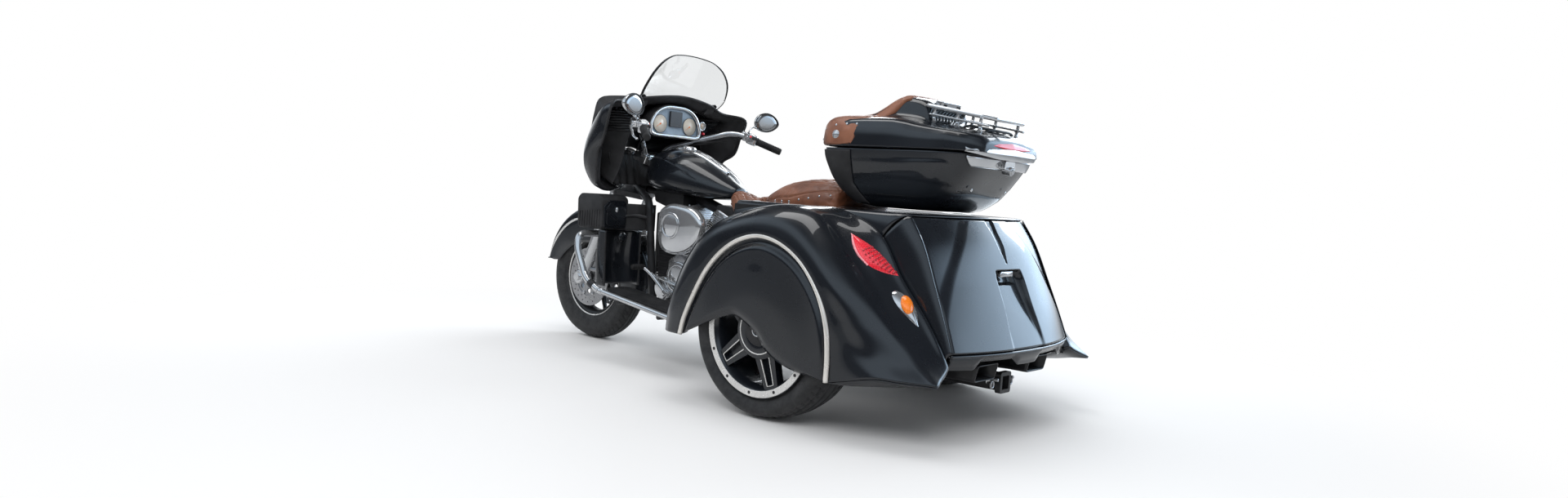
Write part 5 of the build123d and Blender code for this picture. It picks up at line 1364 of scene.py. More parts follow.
def build_passenger_saddle():
    """Passenger's pad, with a seam and studs down each side and a quilted top."""
    table = [(512, 112, 806, 800, 786), (500, 134, 824, 806, 782), (460, 156, 848, 818, 780),
             (400, 174, 872, 832, 780), (330, 186, 886, 840, 780), (270, 192, 891, 842, 780),
             (200, 194, 892, 842, 780), (120, 194, 888, 840, 781), (86, 190, 882, 836, 783)]
    rows = []
    for x, half, top, rim, low in spline(table, 60):
        ring = crown_ring(x, half, top, rim - top, 2.4, 0.88, 16, 45)
        rows.append(ring + [(x, half * t * 0.99, low) for t in np.linspace(1, -1, 25)])
    rows = np.array(rows)
    middle = rows[-1].mean(0)
    ends = [middle + (rows[-1] - middle) * [1, share, 0.5 + 0.5 * share] + [dx, 0, 0]
            for share, dx in ((0.985, -6), (0.95, -12), (0.88, -17), (0.78, -20))]
    rows = np.concatenate([rows, ends])
    side_seam = arr([(470, 790), (400, 806), (325, 812), (243, 832), (158, 846), (66, 852)])
    stops = [80, 200, 330, 440]

    def pressed(points, normals):
        x, y = points[:, 0], points[:, 1]
        seam = pressed_line(near_line(points, side_seam), 4.5)
        depth = seam * smooth((np.abs(normals[:, 1]) - 0.2) / 0.3)
        top = np.abs(np.abs(y) - np.interp(x, stops, [126, 126, 112, 60]))
        flat = faces_up(normals)
        depth += pressed_line(top, 4.5) * flat * smooth((440 - x) / 20)
        inside = np.interp(x, stops, [116, 116, 102, 48]) - np.abs(y)
        inner = smooth(inside / 10) * flat * smooth((430 - x) / 12)
        return depth + pressed_line(diamond_gap(x, y, 50), 4.2) * inner

    obj = pillow("passenger_saddle_leather", "chassis", ["passenger_saddle"], rows, 10, press=pressed)
    line, normals = seat_on(obj, [(x, 230, z) for x, z in spline(side_seam, 90)], INWARD)
    threads = stitches(stitches(Mesh(), line, normals, 3.4), line, normals, -3.4)
    ring = [(440, 60, 980), (330, 112, 980), (200, 126, 980), (90, 126, 980)]
    stitches(threads, *seat_on(obj, spline(ring, 110), DOWN), 3.2)
    diamond_threads(threads, obj, 428, 340, 90, 50, range(-12, 12), (stops, [114, 114, 100, 44]), 980)
    put(threads.mirrored().object("passenger_saddle_threads", THREAD), "chassis", "tan_leather")
    welt("passenger_saddle_edge", obj,
         [(500, 120, 792), (450, 162, 790), (380, 190, 788), (240, 200, 787), (96, 200, 787)], (0, -1, 0.02))
    studs("passenger_saddle_studs", obj, "chassis",
          [(418, 250, 792), (372, 250, 792), (327, 250, 793), (271, 250, 804), (219, 250, 813),
           (165, 250, 824), (114, 250, 830)], INWARD)


def build_nose_strip():
    """Leather strip from the rider's saddle up the tank."""
    rows = []
    for x, _, z in spline([(872, 0, 886), (850, 0, 872), (826, 0, 850), (804, 0, 832), (790, 0, 824)], 24):
        half = np.interp(x, [790, 830, 872], [50, 40, 34])
        ring = [(x, half * t, z + 3 - 7 * abs(t) ** 3) for t in np.linspace(-1, 1, 17)]
        rows.append(ring + [(x - 2, half * t, z - 10) for t in np.linspace(1, -1, 9)])
    strip = Mesh().grid(rows, close_cols=True, caps=True)
    put(strip.object("saddle_nose_strip", LEATHER), "chassis", "tan_leather")


def build_seat_pan():
    pan = Mesh().slab(rounded([(516, -118), (446, -138), (446, 138), (516, 118)], 20, 6), (750, 784), plan)
    put(pan.object("seat_pan_bridge", MATTE, bevel=6, steps=3), "chassis", "matte_black")


def build_lower_pad():
    """Pad that wraps the box's front corners."""
    outer = spline([(-121, 304), (-40, 306), (40, 302), (92, 276), (128, 226), (146, 150), (150, 0),
                    (146, -150), (128, -226), (92, -276), (40, -302), (-40, -306), (-121, -304)], 120)
    rows = []
    tangent = np.gradient(outer, axis=0)
    normal = np.stack([-tangent[:, 1], tangent[:, 0]], 1)
    normal /= np.linalg.norm(normal, axis=1)[:, None]
    for (x, y), n in zip(outer, normal):
        ring = []
        for u, w in [(-38, 1040), (-20, 1030), (-6, 1029), (0, 1037), (2, 1060), (1, 1090), (-3, 1112),
                     (-14, 1129), (-32, 1141)]:
            lean = 8 * (w - 1030) / 100
            ring.append((x + n[0] * (u - lean), y + n[1] * (u - lean), w))
        inner = arr([min(x, 62.0), float(np.clip(y, -152, 152)), 1153])
        start = arr(ring[-1])
        ring += [tuple(start + (inner - start) * [t, t, t ** 0.8]) for t in (0.25, 0.5, 0.75, 1.0)]
        ring += [tuple(inner - [0, 0, 24]), tuple(start + (inner - start) * [0.5, 0.5, 0] - [0, 0, 26])]
        rows.append(ring)
    rows = np.array(rows)
    trim = np.interp(rows[..., 2], [1026, 1132, 1152], [-62, -121, -142])
    rows[..., 0] = np.maximum(rows[..., 0], trim)
    obj = pillow("backrest_lower_pad", "box_cover", ["backrest"], rows, 6, lambda p: np.full(len(p), 1040.0),
                 3.0)
    studs("backrest_side_studs", obj, "box_cover", [(22, 320, 1108), (-26, 320, 1113), (-74, 320, 1113)],
          INWARD, 3.2)
    studs("backrest_corner_studs", obj, "box_cover", [(150, 322, 1052), (130, 340, 1092)], (-0.55, -0.83, 0),
          3.2)
    (centre,), (normal,) = seat_on(obj, [(14, 340, 1071)], INWARD)
    badge = Mesh()
    for lift, radius, height, sides in ((0, 17, 3.0, 36), (2, 12, 4.0, 36), (4, 5, 4.0, 24)):
        badge.add(*dome(centre + normal * lift, normal, radius, height, 5, sides))
    for u, v in circle(14.2, 12):
        badge.add(*dome(centre + normal * 2.4 + arr([u, 0, v]), normal, 2.0, 1.6, 3, 10))
    put(badge.mirrored().object("backrest_conchos", CHROME), "box_cover", "chrome")
    threads = Mesh()
    for seam, count in (([(-58, 330, 1034), (-78, 330, 1066), (-100, 330, 1104), (-112, 320, 1124)], 40),
                        ([(x, 330, 1036) for x in (40, 0, -30, -58)], 50)):
        stitches(threads, *seat_on(obj, spline(seam, count), INWARD), 0.01)
    put(threads.mirrored().object("backrest_threads", THREAD), "box_cover", "tan_leather")


def build_upper_pad():
    """Pad that slopes up to the lid's crest and hangs down its sides."""
    table = [(118, 158, 1128, 158, 1112), (92, 162, 1146, 163, 1130), (60, 163, 1155, 166, 1138),
             (10, 163, 1161, 172, 1141), (-45, 161, 1174, 180, 1142), (-85, 159, 1193, 184, 1144),
             (-125, 157, 1215, 184, 1147), (-165, 155, 1236, 174, 1172), (-200, 153, 1245, 160, 1214),
             (-222, 150, 1243, 152, 1229)]
    rows = []
    for x, half, top, foot, low in spline(table, 60):
        ring = crown_ring(x, half, top, -5, 2, 0.87, 10, 41)
        edge_z = top - 15
        drape = [(half + (foot - half) * s ** 0.8 + 5 * math.sin(math.pi * s), edge_z + (low - edge_z) * s)
                 for s in (0.25, 0.5, 0.75, 1.0)]
        ring += [(x, y, z) for y, z in drape]
        ring += [(x, foot * t, low - 16) for t in np.linspace(0.93, -0.93, 19)]
        ring += [(x, -y, z) for y, z in drape[::-1]]
        rows.append(ring)
    rows = np.array(rows)

    def pressed(points, normals):
        gap = np.abs(np.abs(points[:, 1]) - np.interp(points[:, 0], [-200, -60, 60, 110],
                                                      [120, 126, 118, 104]))
        return pressed_line(gap, 4.5, 3.0) * faces_up(normals)

    def held(points):
        x = (points[:, 0] - SHIFT[0]) * 1000
        return np.interp(x, [-222, -200, -165, -125, 118], [1232.0, 1218.0, 1178.0, 1150.0, 1118.0])

    obj = pillow("backrest_upper_pad", "box_cover", [], rows, 6, held, 3.0, press=pressed)
    line, normals = seat_on(obj, spline([(104, 106, 1300), (60, 118, 1300), (-60, 126, 1300),
                                         (-196, 120, 1320)], 120), DOWN)
    threads = stitches(stitches(Mesh(), line, normals, 3.2), line, normals, -3.2)
    put(threads.mirrored().object("backrest_upper_threads", THREAD), "box_cover", "tan_leather")


# ------------------------------------------------------------------ fuel tank
TANK = [(1334, 58, 936, 852), (1310, 98, 962, 822), (1276, 132, 984, 802), (1230, 156, 996, 790),
        (1170, 172, 1000, 780), (1090, 176, 990, 775), (1010, 168, 966, 772), (940, 148, 934, 771),
        (880, 122, 902, 772), (825, 90, 868, 774), (786, 62, 844, 780), (770, 44, 832, 790)]


def tank_rows():
    rows = []
    for x, half, top, low in spline(TANK, 90):
        ring = []
        mid = low + 0.36 * (top - low)
        for a in np.linspace(0, 2 * math.pi, 96, endpoint=False):
            c, s = math.cos(a), math.sin(a)
            power = 2 / 2.35 if s > 0 else 2 / 2.9
            y = half * np.sign(c) * abs(c) ** (2 / 2.35)
            z = mid + (top - mid if s > 0 else mid - low) * np.sign(s) * abs(s) ** power
            ring.append((x, y, z))
        rows.append(ring)
    return np.array(rows)


def tank_top(x, y):
    line = spline(TANK, 200)[::-1]
    half, top, low = (np.interp(x, line[:, 0], line[:, k]) for k in (1, 2, 3))
    mid = low + 0.36 * (top - low)
    c = min(abs(y) / half, 1) ** (2.35 / 2)
    return mid + (top - mid) * math.sqrt(max(0, 1 - c * c)) ** (2 / 2.35)


def build_tank():
    put(Mesh().grid(tank_rows(), close_cols=True, caps=True).object("fuel_tank_shell", PAINT), "chassis",
        "gloss_black", "fuel_tank")
    rows = []
    for x in np.linspace(1196, 862, 60):
        half = np.interp(x, [862, 900, 1150, 1180, 1196], [6, 20, 46, 42, 20])
        ring = []
        for t in np.linspace(-1, 1, 21):
            y = half * t
            crown = 9 * (1 - abs(t) ** 4)
            groove = 4 * smooth((abs(t) - 0.10) / 0.12) * smooth((0.62 - abs(t)) / 0.12)
            groove *= smooth((1150 - x) / 30) * smooth((x - 900) / 40)
            ring.append((x, y, tank_top(x, y) + crown - 2 - groove))
        rows.append(ring)
    put(Mesh().grid(rows, flip=True).object("tank_console_strap", CHROME, thickness=4), "chassis", "chrome",
        "tank_console")
    place = Vector((1128, 0, tank_top(1128, 0) + 4))
    tilt = Matrix.Translation(place) @ Matrix.Rotation(math.radians(-7), 4, "Y")
    cap = Mesh().lathe([(0, 16), (20, 15.5), (30, 12.5), (34, 7), (36, 0), (44, -2), (46, -6), (0, -6)],
                       (0, 0, 0), "z", 64, closed=False)
    put(cap.turned(tilt).object("filler_cap", CHROME), "chassis", "chrome")


# ------------------------------------------------------------------ fairing, screen and dash
RIM = [(1186, 0, 1252), (1196, 190, 1232), (1236, 330, 1202), (1182, 446, 1178), (1212, 446, 1090),
       (1244, 442, 1005), (1302, 416, 958), (1322, 404, 870), (1332, 380, 794), (1350, 306, 776),
       (1368, 216, 794)]
BOWL = [
    RIM,
    [(1262, 0, 1252), (1264, 190, 1235), (1276, 340, 1198), (1248, 444, 1160),
     (1270, 448, 1080), (1294, 446, 1008), (1342, 432, 945), (1368, 410, 868),
     (1378, 378, 806), (1386, 304, 788), (1394, 212, 802)],
    [(1372, 0, 1222), (1374, 190, 1205), (1378, 325, 1162), (1366, 398, 1100),
     (1374, 415, 1050), (1384, 424, 1000), (1402, 418, 935), (1420, 392, 872),
     (1425, 352, 826), (1425, 290, 806), (1425, 196, 822)],
    [(1482, 0, 1118), (1482, 160, 1105), (1478, 268, 1075), (1472, 318, 1030),
     (1472, 338, 995), (1474, 346, 960), (1478, 340, 915), (1482, 316, 882),
     (1482, 280, 864), (1482, 230, 858), (1482, 168, 868)],
    [(1560, 0, 1040), (1560, 100, 1032), (1558, 165, 1010), (1556, 200, 980),
     (1556, 210, 960), (1556, 212, 940), (1557, 204, 915), (1558, 186, 893),
     (1558, 160, 882), (1558, 125, 880), (1558, 95, 884)],
    [(1590, 0, 1004), (1590, 50, 1000), (1589, 88, 986), (1588, 106, 966),
     (1588, 110, 950), (1588, 110, 938), (1588, 104, 918), (1588, 92, 904),
     (1588, 76, 896), (1588, 56, 892), (1590, 40, 892)],
]
WELL = [(1292, 0, 1078), (1292, 110, 1078), (1292, 190, 1076), (1296, 232, 1052), (1300, 250, 1010),
        (1302, 258, 970), (1306, 264, 930), (1312, 276, 880), (1322, 292, 832), (1334, 296, 812),
        (1352, 262, 806)]


def both_halves(points):
    """A half section from the centre line carried on to the other side."""
    p = arr(points)
    return np.vstack([(p * [1, -1, 1])[:0:-1], p])


def build_fairing():
    around = 120
    rows = loft([spline(both_halves(s), around) for s in BOWL], 64)
    put(Mesh().grid(rows, flip=True).object("fairing_shell", PAINT, thickness=5), "steering", "gloss_black",
        "fairing")
    rim = spline(both_halves(RIM), 160)
    lip = Mesh().tube(rim[14:-14] + [2, 0, 0], 6.5, 12)
    put(lip.object("fairing_lip", MATTE), "steering", "matte_black")
    outer = spline(both_halves(RIM), around)
    inner = spline(both_halves(WELL), around)
    middle = outer * 0.78 + inner * 0.22
    middle[:, 0] = outer[:, 0] * 0.35 + inner[:, 0] * 0.65 + 14
    start = outer * 0.975 + inner * 0.025
    start[:, 0] = outer[:, 0] + 6
    sheet = loft([start, middle, middle * 0.45 + inner * 0.65 + [6, 0, 0], inner], 46)
    put(Mesh().grid(sheet).object("dash_panel", MATTE, thickness=4), "steering", "matte_black",
        "fairing_dash")
    slats = Mesh()
    cloud = sheet[:, around // 2:].reshape(-1, 3)
    for k in range(9):
        z = 1070 + 12.5 * k
        left = []
        for y in np.linspace(196 + 0.65 * abs(z - 1130), 404 - 1.0 * abs(z - 1120), 24):
            near = cloud[np.argsort((cloud[:, 1] - y) ** 2 + (cloud[:, 2] - z) ** 2)[:6]].mean(0)
            left.append((near[0] - 5, y, z))
        slats.tube(spline(left[::3], 30), 4.2, 8, squash=1.6)
    put(slats.mirrored().object("dash_grille_slats", SATIN), "steering", "satin_black")


def screen_x(y, z):
    return 1301 - 0.65 * (z - 1210) - 1.2 * y * y / 1000


SCREEN_EDGE = [(0, 1447), (75, 1443), (140, 1430), (203, 1396), (246, 1348), (266, 1300), (272, 1252),
               (256, 1212), (200, 1196), (100, 1200), (0, 1204)]


def build_inner_panel():
    """Dark panel closing the fairing behind the headlamp, below the instruments."""
    rows = []
    for z in np.linspace(962, 812, 16):
        t = (962 - z) / 150
        half = 312 - 40 * t
        ys = np.linspace(-half, half, 60)
        ripple = 6 * np.cos(ys / 9) * smooth((np.abs(ys) - 90) / 10)
        rows.append(np.column_stack([1402 - 30 * t - 46 * (np.abs(ys) / 332) ** 2 + ripple, ys,
                                     np.full(60, z)]))
    put(Mesh().grid(np.array(rows), flip=True).object("fairing_inner_panel", MATTE, thickness=4), "steering",
        "matte_black")


def build_screen():
    half = spline([(y, 0, z) for y, z in SCREEN_EDGE], 60)
    edge = np.vstack([(half * [-1, 1, 1])[:0:-1], half])[:, [0, 2]]
    # straight strips from the left edge to the right edge
    strips = []
    for a, b in zip(edge[1:len(edge) // 2], edge[::-1]):
        line = [a + (b - a) * t for t in np.linspace(0, 1, 24)]
        strips.append([(screen_x(y, z), y, z) for y, z in line])
    mesh = Mesh().grid(np.array(strips), flip=True)
    put(mesh.object("windshield_sheet", SCREEN, thickness=4, offset=0, weld=0.3), "steering", "clear_screen",
        "windshield")
    free = arr(SCREEN_EDGE[:8])
    top = spline([(screen_x(y, z), y, z) for y, z in np.vstack([(free * [-1, 1])[:0:-1], free])], 120)
    put(Mesh().tube(top, 2.6, 8).object("windshield_edge", SATIN), "steering", "satin_black")
    blocks = Mesh()
    for y in (-1, 1):
        place = lambda u, v, w, y=y: (screen_x(y * 222, 1212 + v) - 6 + w, y * (222 + u), 1212 + v)
        blocks.slab(rounded([(-30, -24), (26, -18), (34, 22), (16, 30), (-22, 10)], 6), (-10, 12), place)
    put(blocks.object("windshield_brackets", MATTE, bevel=2), "steering", "matte_black")


BEZEL = [(0, 1203), (70, 1198), (118, 1176), (150, 1138), (162, 1096), (158, 1072), (136, 1064), (60, 1063),
         (0, 1063)]
POD_X = 1232


def bezel_loop(inset, x, count=140):
    half = arr(BEZEL)
    ring = np.vstack([half, (half * [-1, 1])[-2:0:-1]])
    ring = spline([(0, y, z) for y, z in ring], count, closed=True)[:, 1:]
    away = ring - np.array([0, 1128.0])
    ring = ring - away / np.linalg.norm(away, axis=1)[:, None] * inset
    return np.column_stack([np.full(len(ring), x), ring])


def dial(mesh_face, mesh_mark, mesh_hand, centre, radius, ticks, hand, sweep=270):
    x, y, z = centre
    mesh_face.lathe([(0, 0), (radius, 0), (radius, -3), (0, -3)], (x, y, z), "x", 48, closed=False)
    for k in range(ticks):
        a = math.radians(225 - sweep * k / (ticks - 1))
        long = k % 2 == 0
        r0, r1 = radius * (0.72 if long else 0.80), radius * 0.92
        c, s = math.cos(a), math.sin(a)
        mesh_mark.tube([(x - 0.6, y - r0 * c, z + r0 * s), (x - 0.6, y - r1 * c, z + r1 * s)],
                       0.9 if long else 0.65, 6)
    a = math.radians(225 - sweep * hand)
    mesh_hand.tube([(x - 3, y + radius * 0.15 * math.cos(a), z - radius * 0.15 * math.sin(a)),
                    (x - 3, y - radius * 0.75 * math.cos(a), z + radius * 0.75 * math.sin(a))], [1.6, 0.5], 8)
    mesh_hand.rod((x, y, z), (x - 4, y, z), radius * 0.11)


def build_gauges():
    pod = Mesh().grid([bezel_loop(-9, 1300), bezel_loop(-9, 1262), bezel_loop(-4, POD_X + 10),
                       bezel_loop(6, POD_X + 8)], close_cols=True, flip=True)
    put(pod.object("gauge_pod", MATTE, thickness=3), "steering", "matte_black", "instruments")
    put(Mesh().tube(bezel_loop(0, POD_X + 2), 8.5, 14, closed=True).object("gauge_bezel", CHROME), "steering",
        "chrome")
    face_ring = bezel_loop(5, POD_X + 13)
    face = Mesh().add(np.vstack([face_ring, [[POD_X + 13, 0, 1128]]]),
                      [(j, (j + 1) % 140, 140) for j in range(140)])
    put(face.object("gauge_panel", PANEL_BLUE), "steering", "chrome")
    faces, marks, hands = Mesh(), Mesh(), Mesh()
    for y in (-98, 98):
        dial(faces, marks, hands, (POD_X + 9, y, 1116), 42, 17, hand=0.04)
        marks.lathe([(41, 0), (43.5, -2), (44, 0)], (POD_X + 8, y, 1116), "x", 48)
    dial(faces, marks, hands, (POD_X + 40, -216, 1130), 17, 7, hand=0.5)
    put(faces.object("gauge_faces", FACE_CREAM), "steering", "chrome")
    put(marks.object("gauge_ticks", SATIN), "steering", "satin_black")
    put(hands.object("gauge_hands", AMBER), "steering", "amber_lens")
    screen = Mesh().slab(rounded([(-42, 1106), (40, 1106), (38, 1182), (-40, 1182)], 6), (0, 12),
                         facing(POD_X + 12, -1))
    put(screen.object("gauge_screen", SCREEN_DARK, bevel=2), "steering", "matte_black")
    ring = Mesh().lathe([(17, 0), (17, -9), (21, -12), (24, -9), (24, 0)], (POD_X + 44, -216, 1130), "x", 40)
    ring.lathe([(8, 0), (8, -6), (12, -8), (14, 0)], (POD_X + 48, 214, 1136), "x", 32)
    put(ring.object("gauge_small_rings", CHROME), "steering", "chrome")
    red = Mesh().rod((POD_X + 52, -236, 1094), (POD_X + 40, -236, 1094), 6)
    put(red.object("dash_button", RED, bevel=0.5), "steering", "red_lens")


# ------------------------------------------------------------------ wheels
def closed_even(outline, count):
    return even(np.vstack([outline, outline[:1]]), count, True)


def ring_plate(mesh, outer, inner, depth, place, count=72):
    """Flat frame between two closed outlines that start at matching corners."""
    a, b = closed_even(outer, count), closed_even(inner, count)
    low, high = depth
    rows = [[place(u, v, w) for u, v in line] for line, w in ((a, low), (a, high), (b, high), (b, low))]
    return mesh.grid(np.array(rows), close_rows=True, close_cols=True)


def wheel_place(centre, angle):
    """Place function on a wheel's face: u runs out along a spoke, v across it, w outward along the axle."""
    c, s = math.cos(angle), math.sin(angle)
    return lambda u, v, w: (centre[0] + u * c - v * s, centre[1] + w, centre[2] + u * s + v * c)


def tread_tyre(centre, outer, width, rim, grooves, blocks, sides=360):
    """Tyre with grooves round the crown, slanted cuts at its shoulders and moulded rings on its walls."""
    half = width / 2
    crown = outer - 0.18 * (outer - rim)
    mid = (outer + rim) / 2
    wall = [(rim - 10, 0.72 * half), (rim + 2, 0.79 * half), (rim + 7, 0.83 * half), (rim + 9, 0.86 * half),
            (rim + 13, 0.885 * half), (rim + 16, 0.905 * half), (mid, 0.985 * half), (mid + 8, 0.99 * half),
            (crown - 6, 0.92 * half), (crown + 1, 0.84 * half)]
    share = np.linspace(0.78, -0.78, 61)
    across = [(outer - (outer - crown - 1) * (abs(s) / 0.78) ** 2.6, s * half) for s in share]
    profile = arr(wall + across + [(r, -y) for r, y in wall[::-1]])
    first, last = len(wall), len(wall) + len(across)
    angle = np.linspace(0, 2 * math.pi, sides, endpoint=False)
    rows = []
    for i, (r, y) in enumerate(profile):
        radius = np.full(sides, r)
        if first <= i < last:
            for place, wide, deep in grooves:
                radius -= deep * smooth((wide / 2 + 1.2 - abs(y - place * half)) / 1.6)
            slant = (angle * blocks / (2 * math.pi) + abs(y) / half * 1.5) % 1.0
            cut = smooth((0.11 - np.abs(slant - 0.5)) / 0.05)
            radius -= 4.5 * cut * smooth((abs(y) / half - 0.30) / 0.08)
        row = np.stack([radius * np.cos(angle), np.full(sides, y), radius * np.sin(angle)], 1)
        rows.append(row + arr(centre))
    return Mesh().grid(np.array(rows), close_cols=True)


def ring_of(mesh, count, phase, shape):
    """Copies of a shape round the rear wheel; shape(mesh, place) draws one with u measured from the axle."""
    for i in range(count):
        shape(mesh, wheel_place(REAR_AXLE, phase + 2 * math.pi * i / count))


def build_rear_wheel(sign, name):
    """The wheel as drawn on the left, or its mirror image on the right."""
    body = "rear_wheel_" + name
    centre = REAR_AXLE
    on_side = lambda mesh: mesh if sign > 0 else mesh.reflected()
    tyre = tread_tyre(centre, 326, 222, 247, [(-0.5, 9, 7), (-0.17, 9, 7), (0.17, 9, 7), (0.5, 9, 7)], 64)
    put(on_side(tyre).object("rear_tyre_treaded_" + name, TYRE), body, "tyre_rubber", "rear_tyre_" + name)
    barrel = Mesh().lathe([(247, -105), (247, -99), (235, -96), (224, -60), (214, -40), (214, 40), (224, 62),
                           (228, 84), (231, 92), (235, 98), (247, 99), (247, 104), (226, 105), (218, 101),
                           (206, 84), (203, 60), (203, -80), (221, -105)], centre, "y", 128)
    barrel.lathe([(31.6, -30), (78, -30), (84, -20), (84, 60), (96, 84), (104, 92), (106, 97), (102, 101),
                  (92, 103), (72, 103.5), (58, 101), (54, 104), (31.6, 104)], centre, "y", 96)

    def spoke(mesh, place):
        body_loop = rounded([(88, -47), (214, -32), (214, 32), (88, 47)], 6, 5)
        hole = rounded([(97, -19), (203, -14), (203, 14), (97, 19)], 3, 5)
        ring_plate(mesh, body_loop, hole, (58, 95), place, 96)
        mesh.slab(rounded([(97, -20), (204, -15), (204, 15), (97, 20)], 3, 3), (66, 72), place)

    ring_of(barrel, 5, math.radians(-38), spoke)
    put(on_side(barrel).object("rear_wheel_spokes_" + name, PAINT, bevel=2.2), body, "gloss_black",
        "rear_rim_" + name)
    bright = Mesh().lathe([(219, 104.4), (243.5, 104.4), (245, 105.5), (243.5, 107.6), (220.5, 107.6),
                           (219, 106)], centre, "y", 160)

    def frame(mesh, place):
        ring_plate(mesh, rounded([(92, -23), (206, -16.5), (206, 16.5), (92, 23)], 4, 5),
                   rounded([(99, -18.5), (203.5, -13.6), (203.5, 13.6), (99, 18.5)], 3, 5), (93, 97), place,
                   96)

    ring_of(bright, 5, math.radians(-38), frame)
    bright.lathe([(86, 101), (89, 102), (89, 104), (86, 105), (84, 104), (84, 102)], centre, "y", 96)
    put(on_side(bright).object("rear_wheel_machined_" + name, MACHINED, bevel=0.6, steps=1), body, "chrome")
    bolts = Mesh()

    def bolt(mesh, place):
        mesh.slab(circle(6.2, 19, (231, 0)), (104, 108.3), place)
        mesh.slab(circle(3, 6, (231, 0)), (106, 108.8), place)

    ring_of(bolts, 12, math.radians(5), bolt)
    bolts.lathe([(0, 98), (52, 98), (56, 101), (56, 106), (53, 109), (0, 110)], centre, "y", 64, closed=False)
    put(on_side(bolts).object("rear_wheel_bolts_" + name, SATIN, bevel=0.7), body, "satin_black")
    cap = Mesh().lathe([(18, 109), (22, 109), (23, 110.5), (22, 112), (18, 112), (17, 110.5)], centre, "y",
                       48)
    cap.lathe([(0, 108), (12, 108), (12, 112), (9, 113.2), (0, 113.2)], centre, "y", 32, closed=False)
    put(on_side(cap).object("rear_hub_ring_" + name, CHROME), body, "chrome")


def build_front_wheel():
    centre = FRONT_AXLE
    tyre = tread_tyre(centre, 320, 130, 213, [(-0.32, 5, 6), (0.0, 6, 6), (0.32, 5, 6)], 56)
    put(tyre.object("front_tyre_treaded", TYRE), "front_wheel", "tyre_rubber", "front_tyre")
    rim = Mesh().lathe([(201, -42), (196, -38), (188, -22), (188, 22), (196, 38), (201, 42), (196, 44),
                        (178, 30), (176, 0), (178, -30), (196, -44)], centre, "y", 128)
    rim.lathe([(12.4, -58), (34, -58), (40, -50), (44, -30), (58, -22), (62, -10), (62, 10), (58, 22),
               (44, 30), (40, 50), (34, 58), (12.4, 58)], centre, "y", 64)
    for k in range(10):
        place = wheel_place(centre, 2 * math.pi * k / 10)
        rows = []
        for u in np.linspace(52, 184, 14):
            t = (u - 52) / 132
            half_v, half_w = 15 - 7 * math.sin(math.pi * t * 0.62), 13 - 2.5 * t
            if u > 170:
                half_v += (u - 170) * 0.45
            ring = []
            for a in np.linspace(0, 2 * math.pi, 21)[:-1]:
                c, s = math.cos(a), math.sin(a)
                ring.append(place(u, half_v * np.sign(c) * abs(c) ** 0.6,
                                  half_w * np.sign(s) * abs(s) ** 0.6))
            rows.append(ring)
        rim.grid(np.array(rows), close_cols=True, caps=True)
    put(rim.object("front_wheel_spokes", SATIN), "front_wheel", "gloss_black", "front_rim")
    lip = Mesh()
    for s in (-1, 1):
        lip.lathe([(196, 43 * s), (199, 46 * s), (212, 47.5 * s), (214.5, 46 * s), (214.5, 42 * s),
                   (211, 40 * s), (200, 40 * s)], centre, "y", 160)
    put(lip.object("front_rim_lips", MACHINED), "front_wheel", "chrome")
    buttons = Mesh()
    for s in (-1, 1):
        for k in range(8):
            a = 2 * math.pi * (k + 0.5) / 8
            where = (centre[0] + 92 * math.cos(a), s * 76.5, centre[2] + 92 * math.sin(a))
            buttons.add(*dome(where, (0.001, s, 0), 7.5, 3.5))
    put(buttons.object("front_disc_buttons", CHROME), "front_wheel", "chrome")


# ------------------------------------------------------------------ front fender and fork
def fender_floor(angle):
    """Distance from the front axle to the fender's lower edge, along a ray at an angle."""
    edge = spline([(352, 66), (262, 66), (205, 112), (120, 162), (0, 178), (-120, 158), (-215, 80),
                   (-262, -20), (-300, -84), (-358, -104)], 300)
    spread = np.unwrap(np.arctan2(edge[:, 1], edge[:, 0]))
    return np.interp(angle, spread, np.linalg.norm(edge, axis=1))


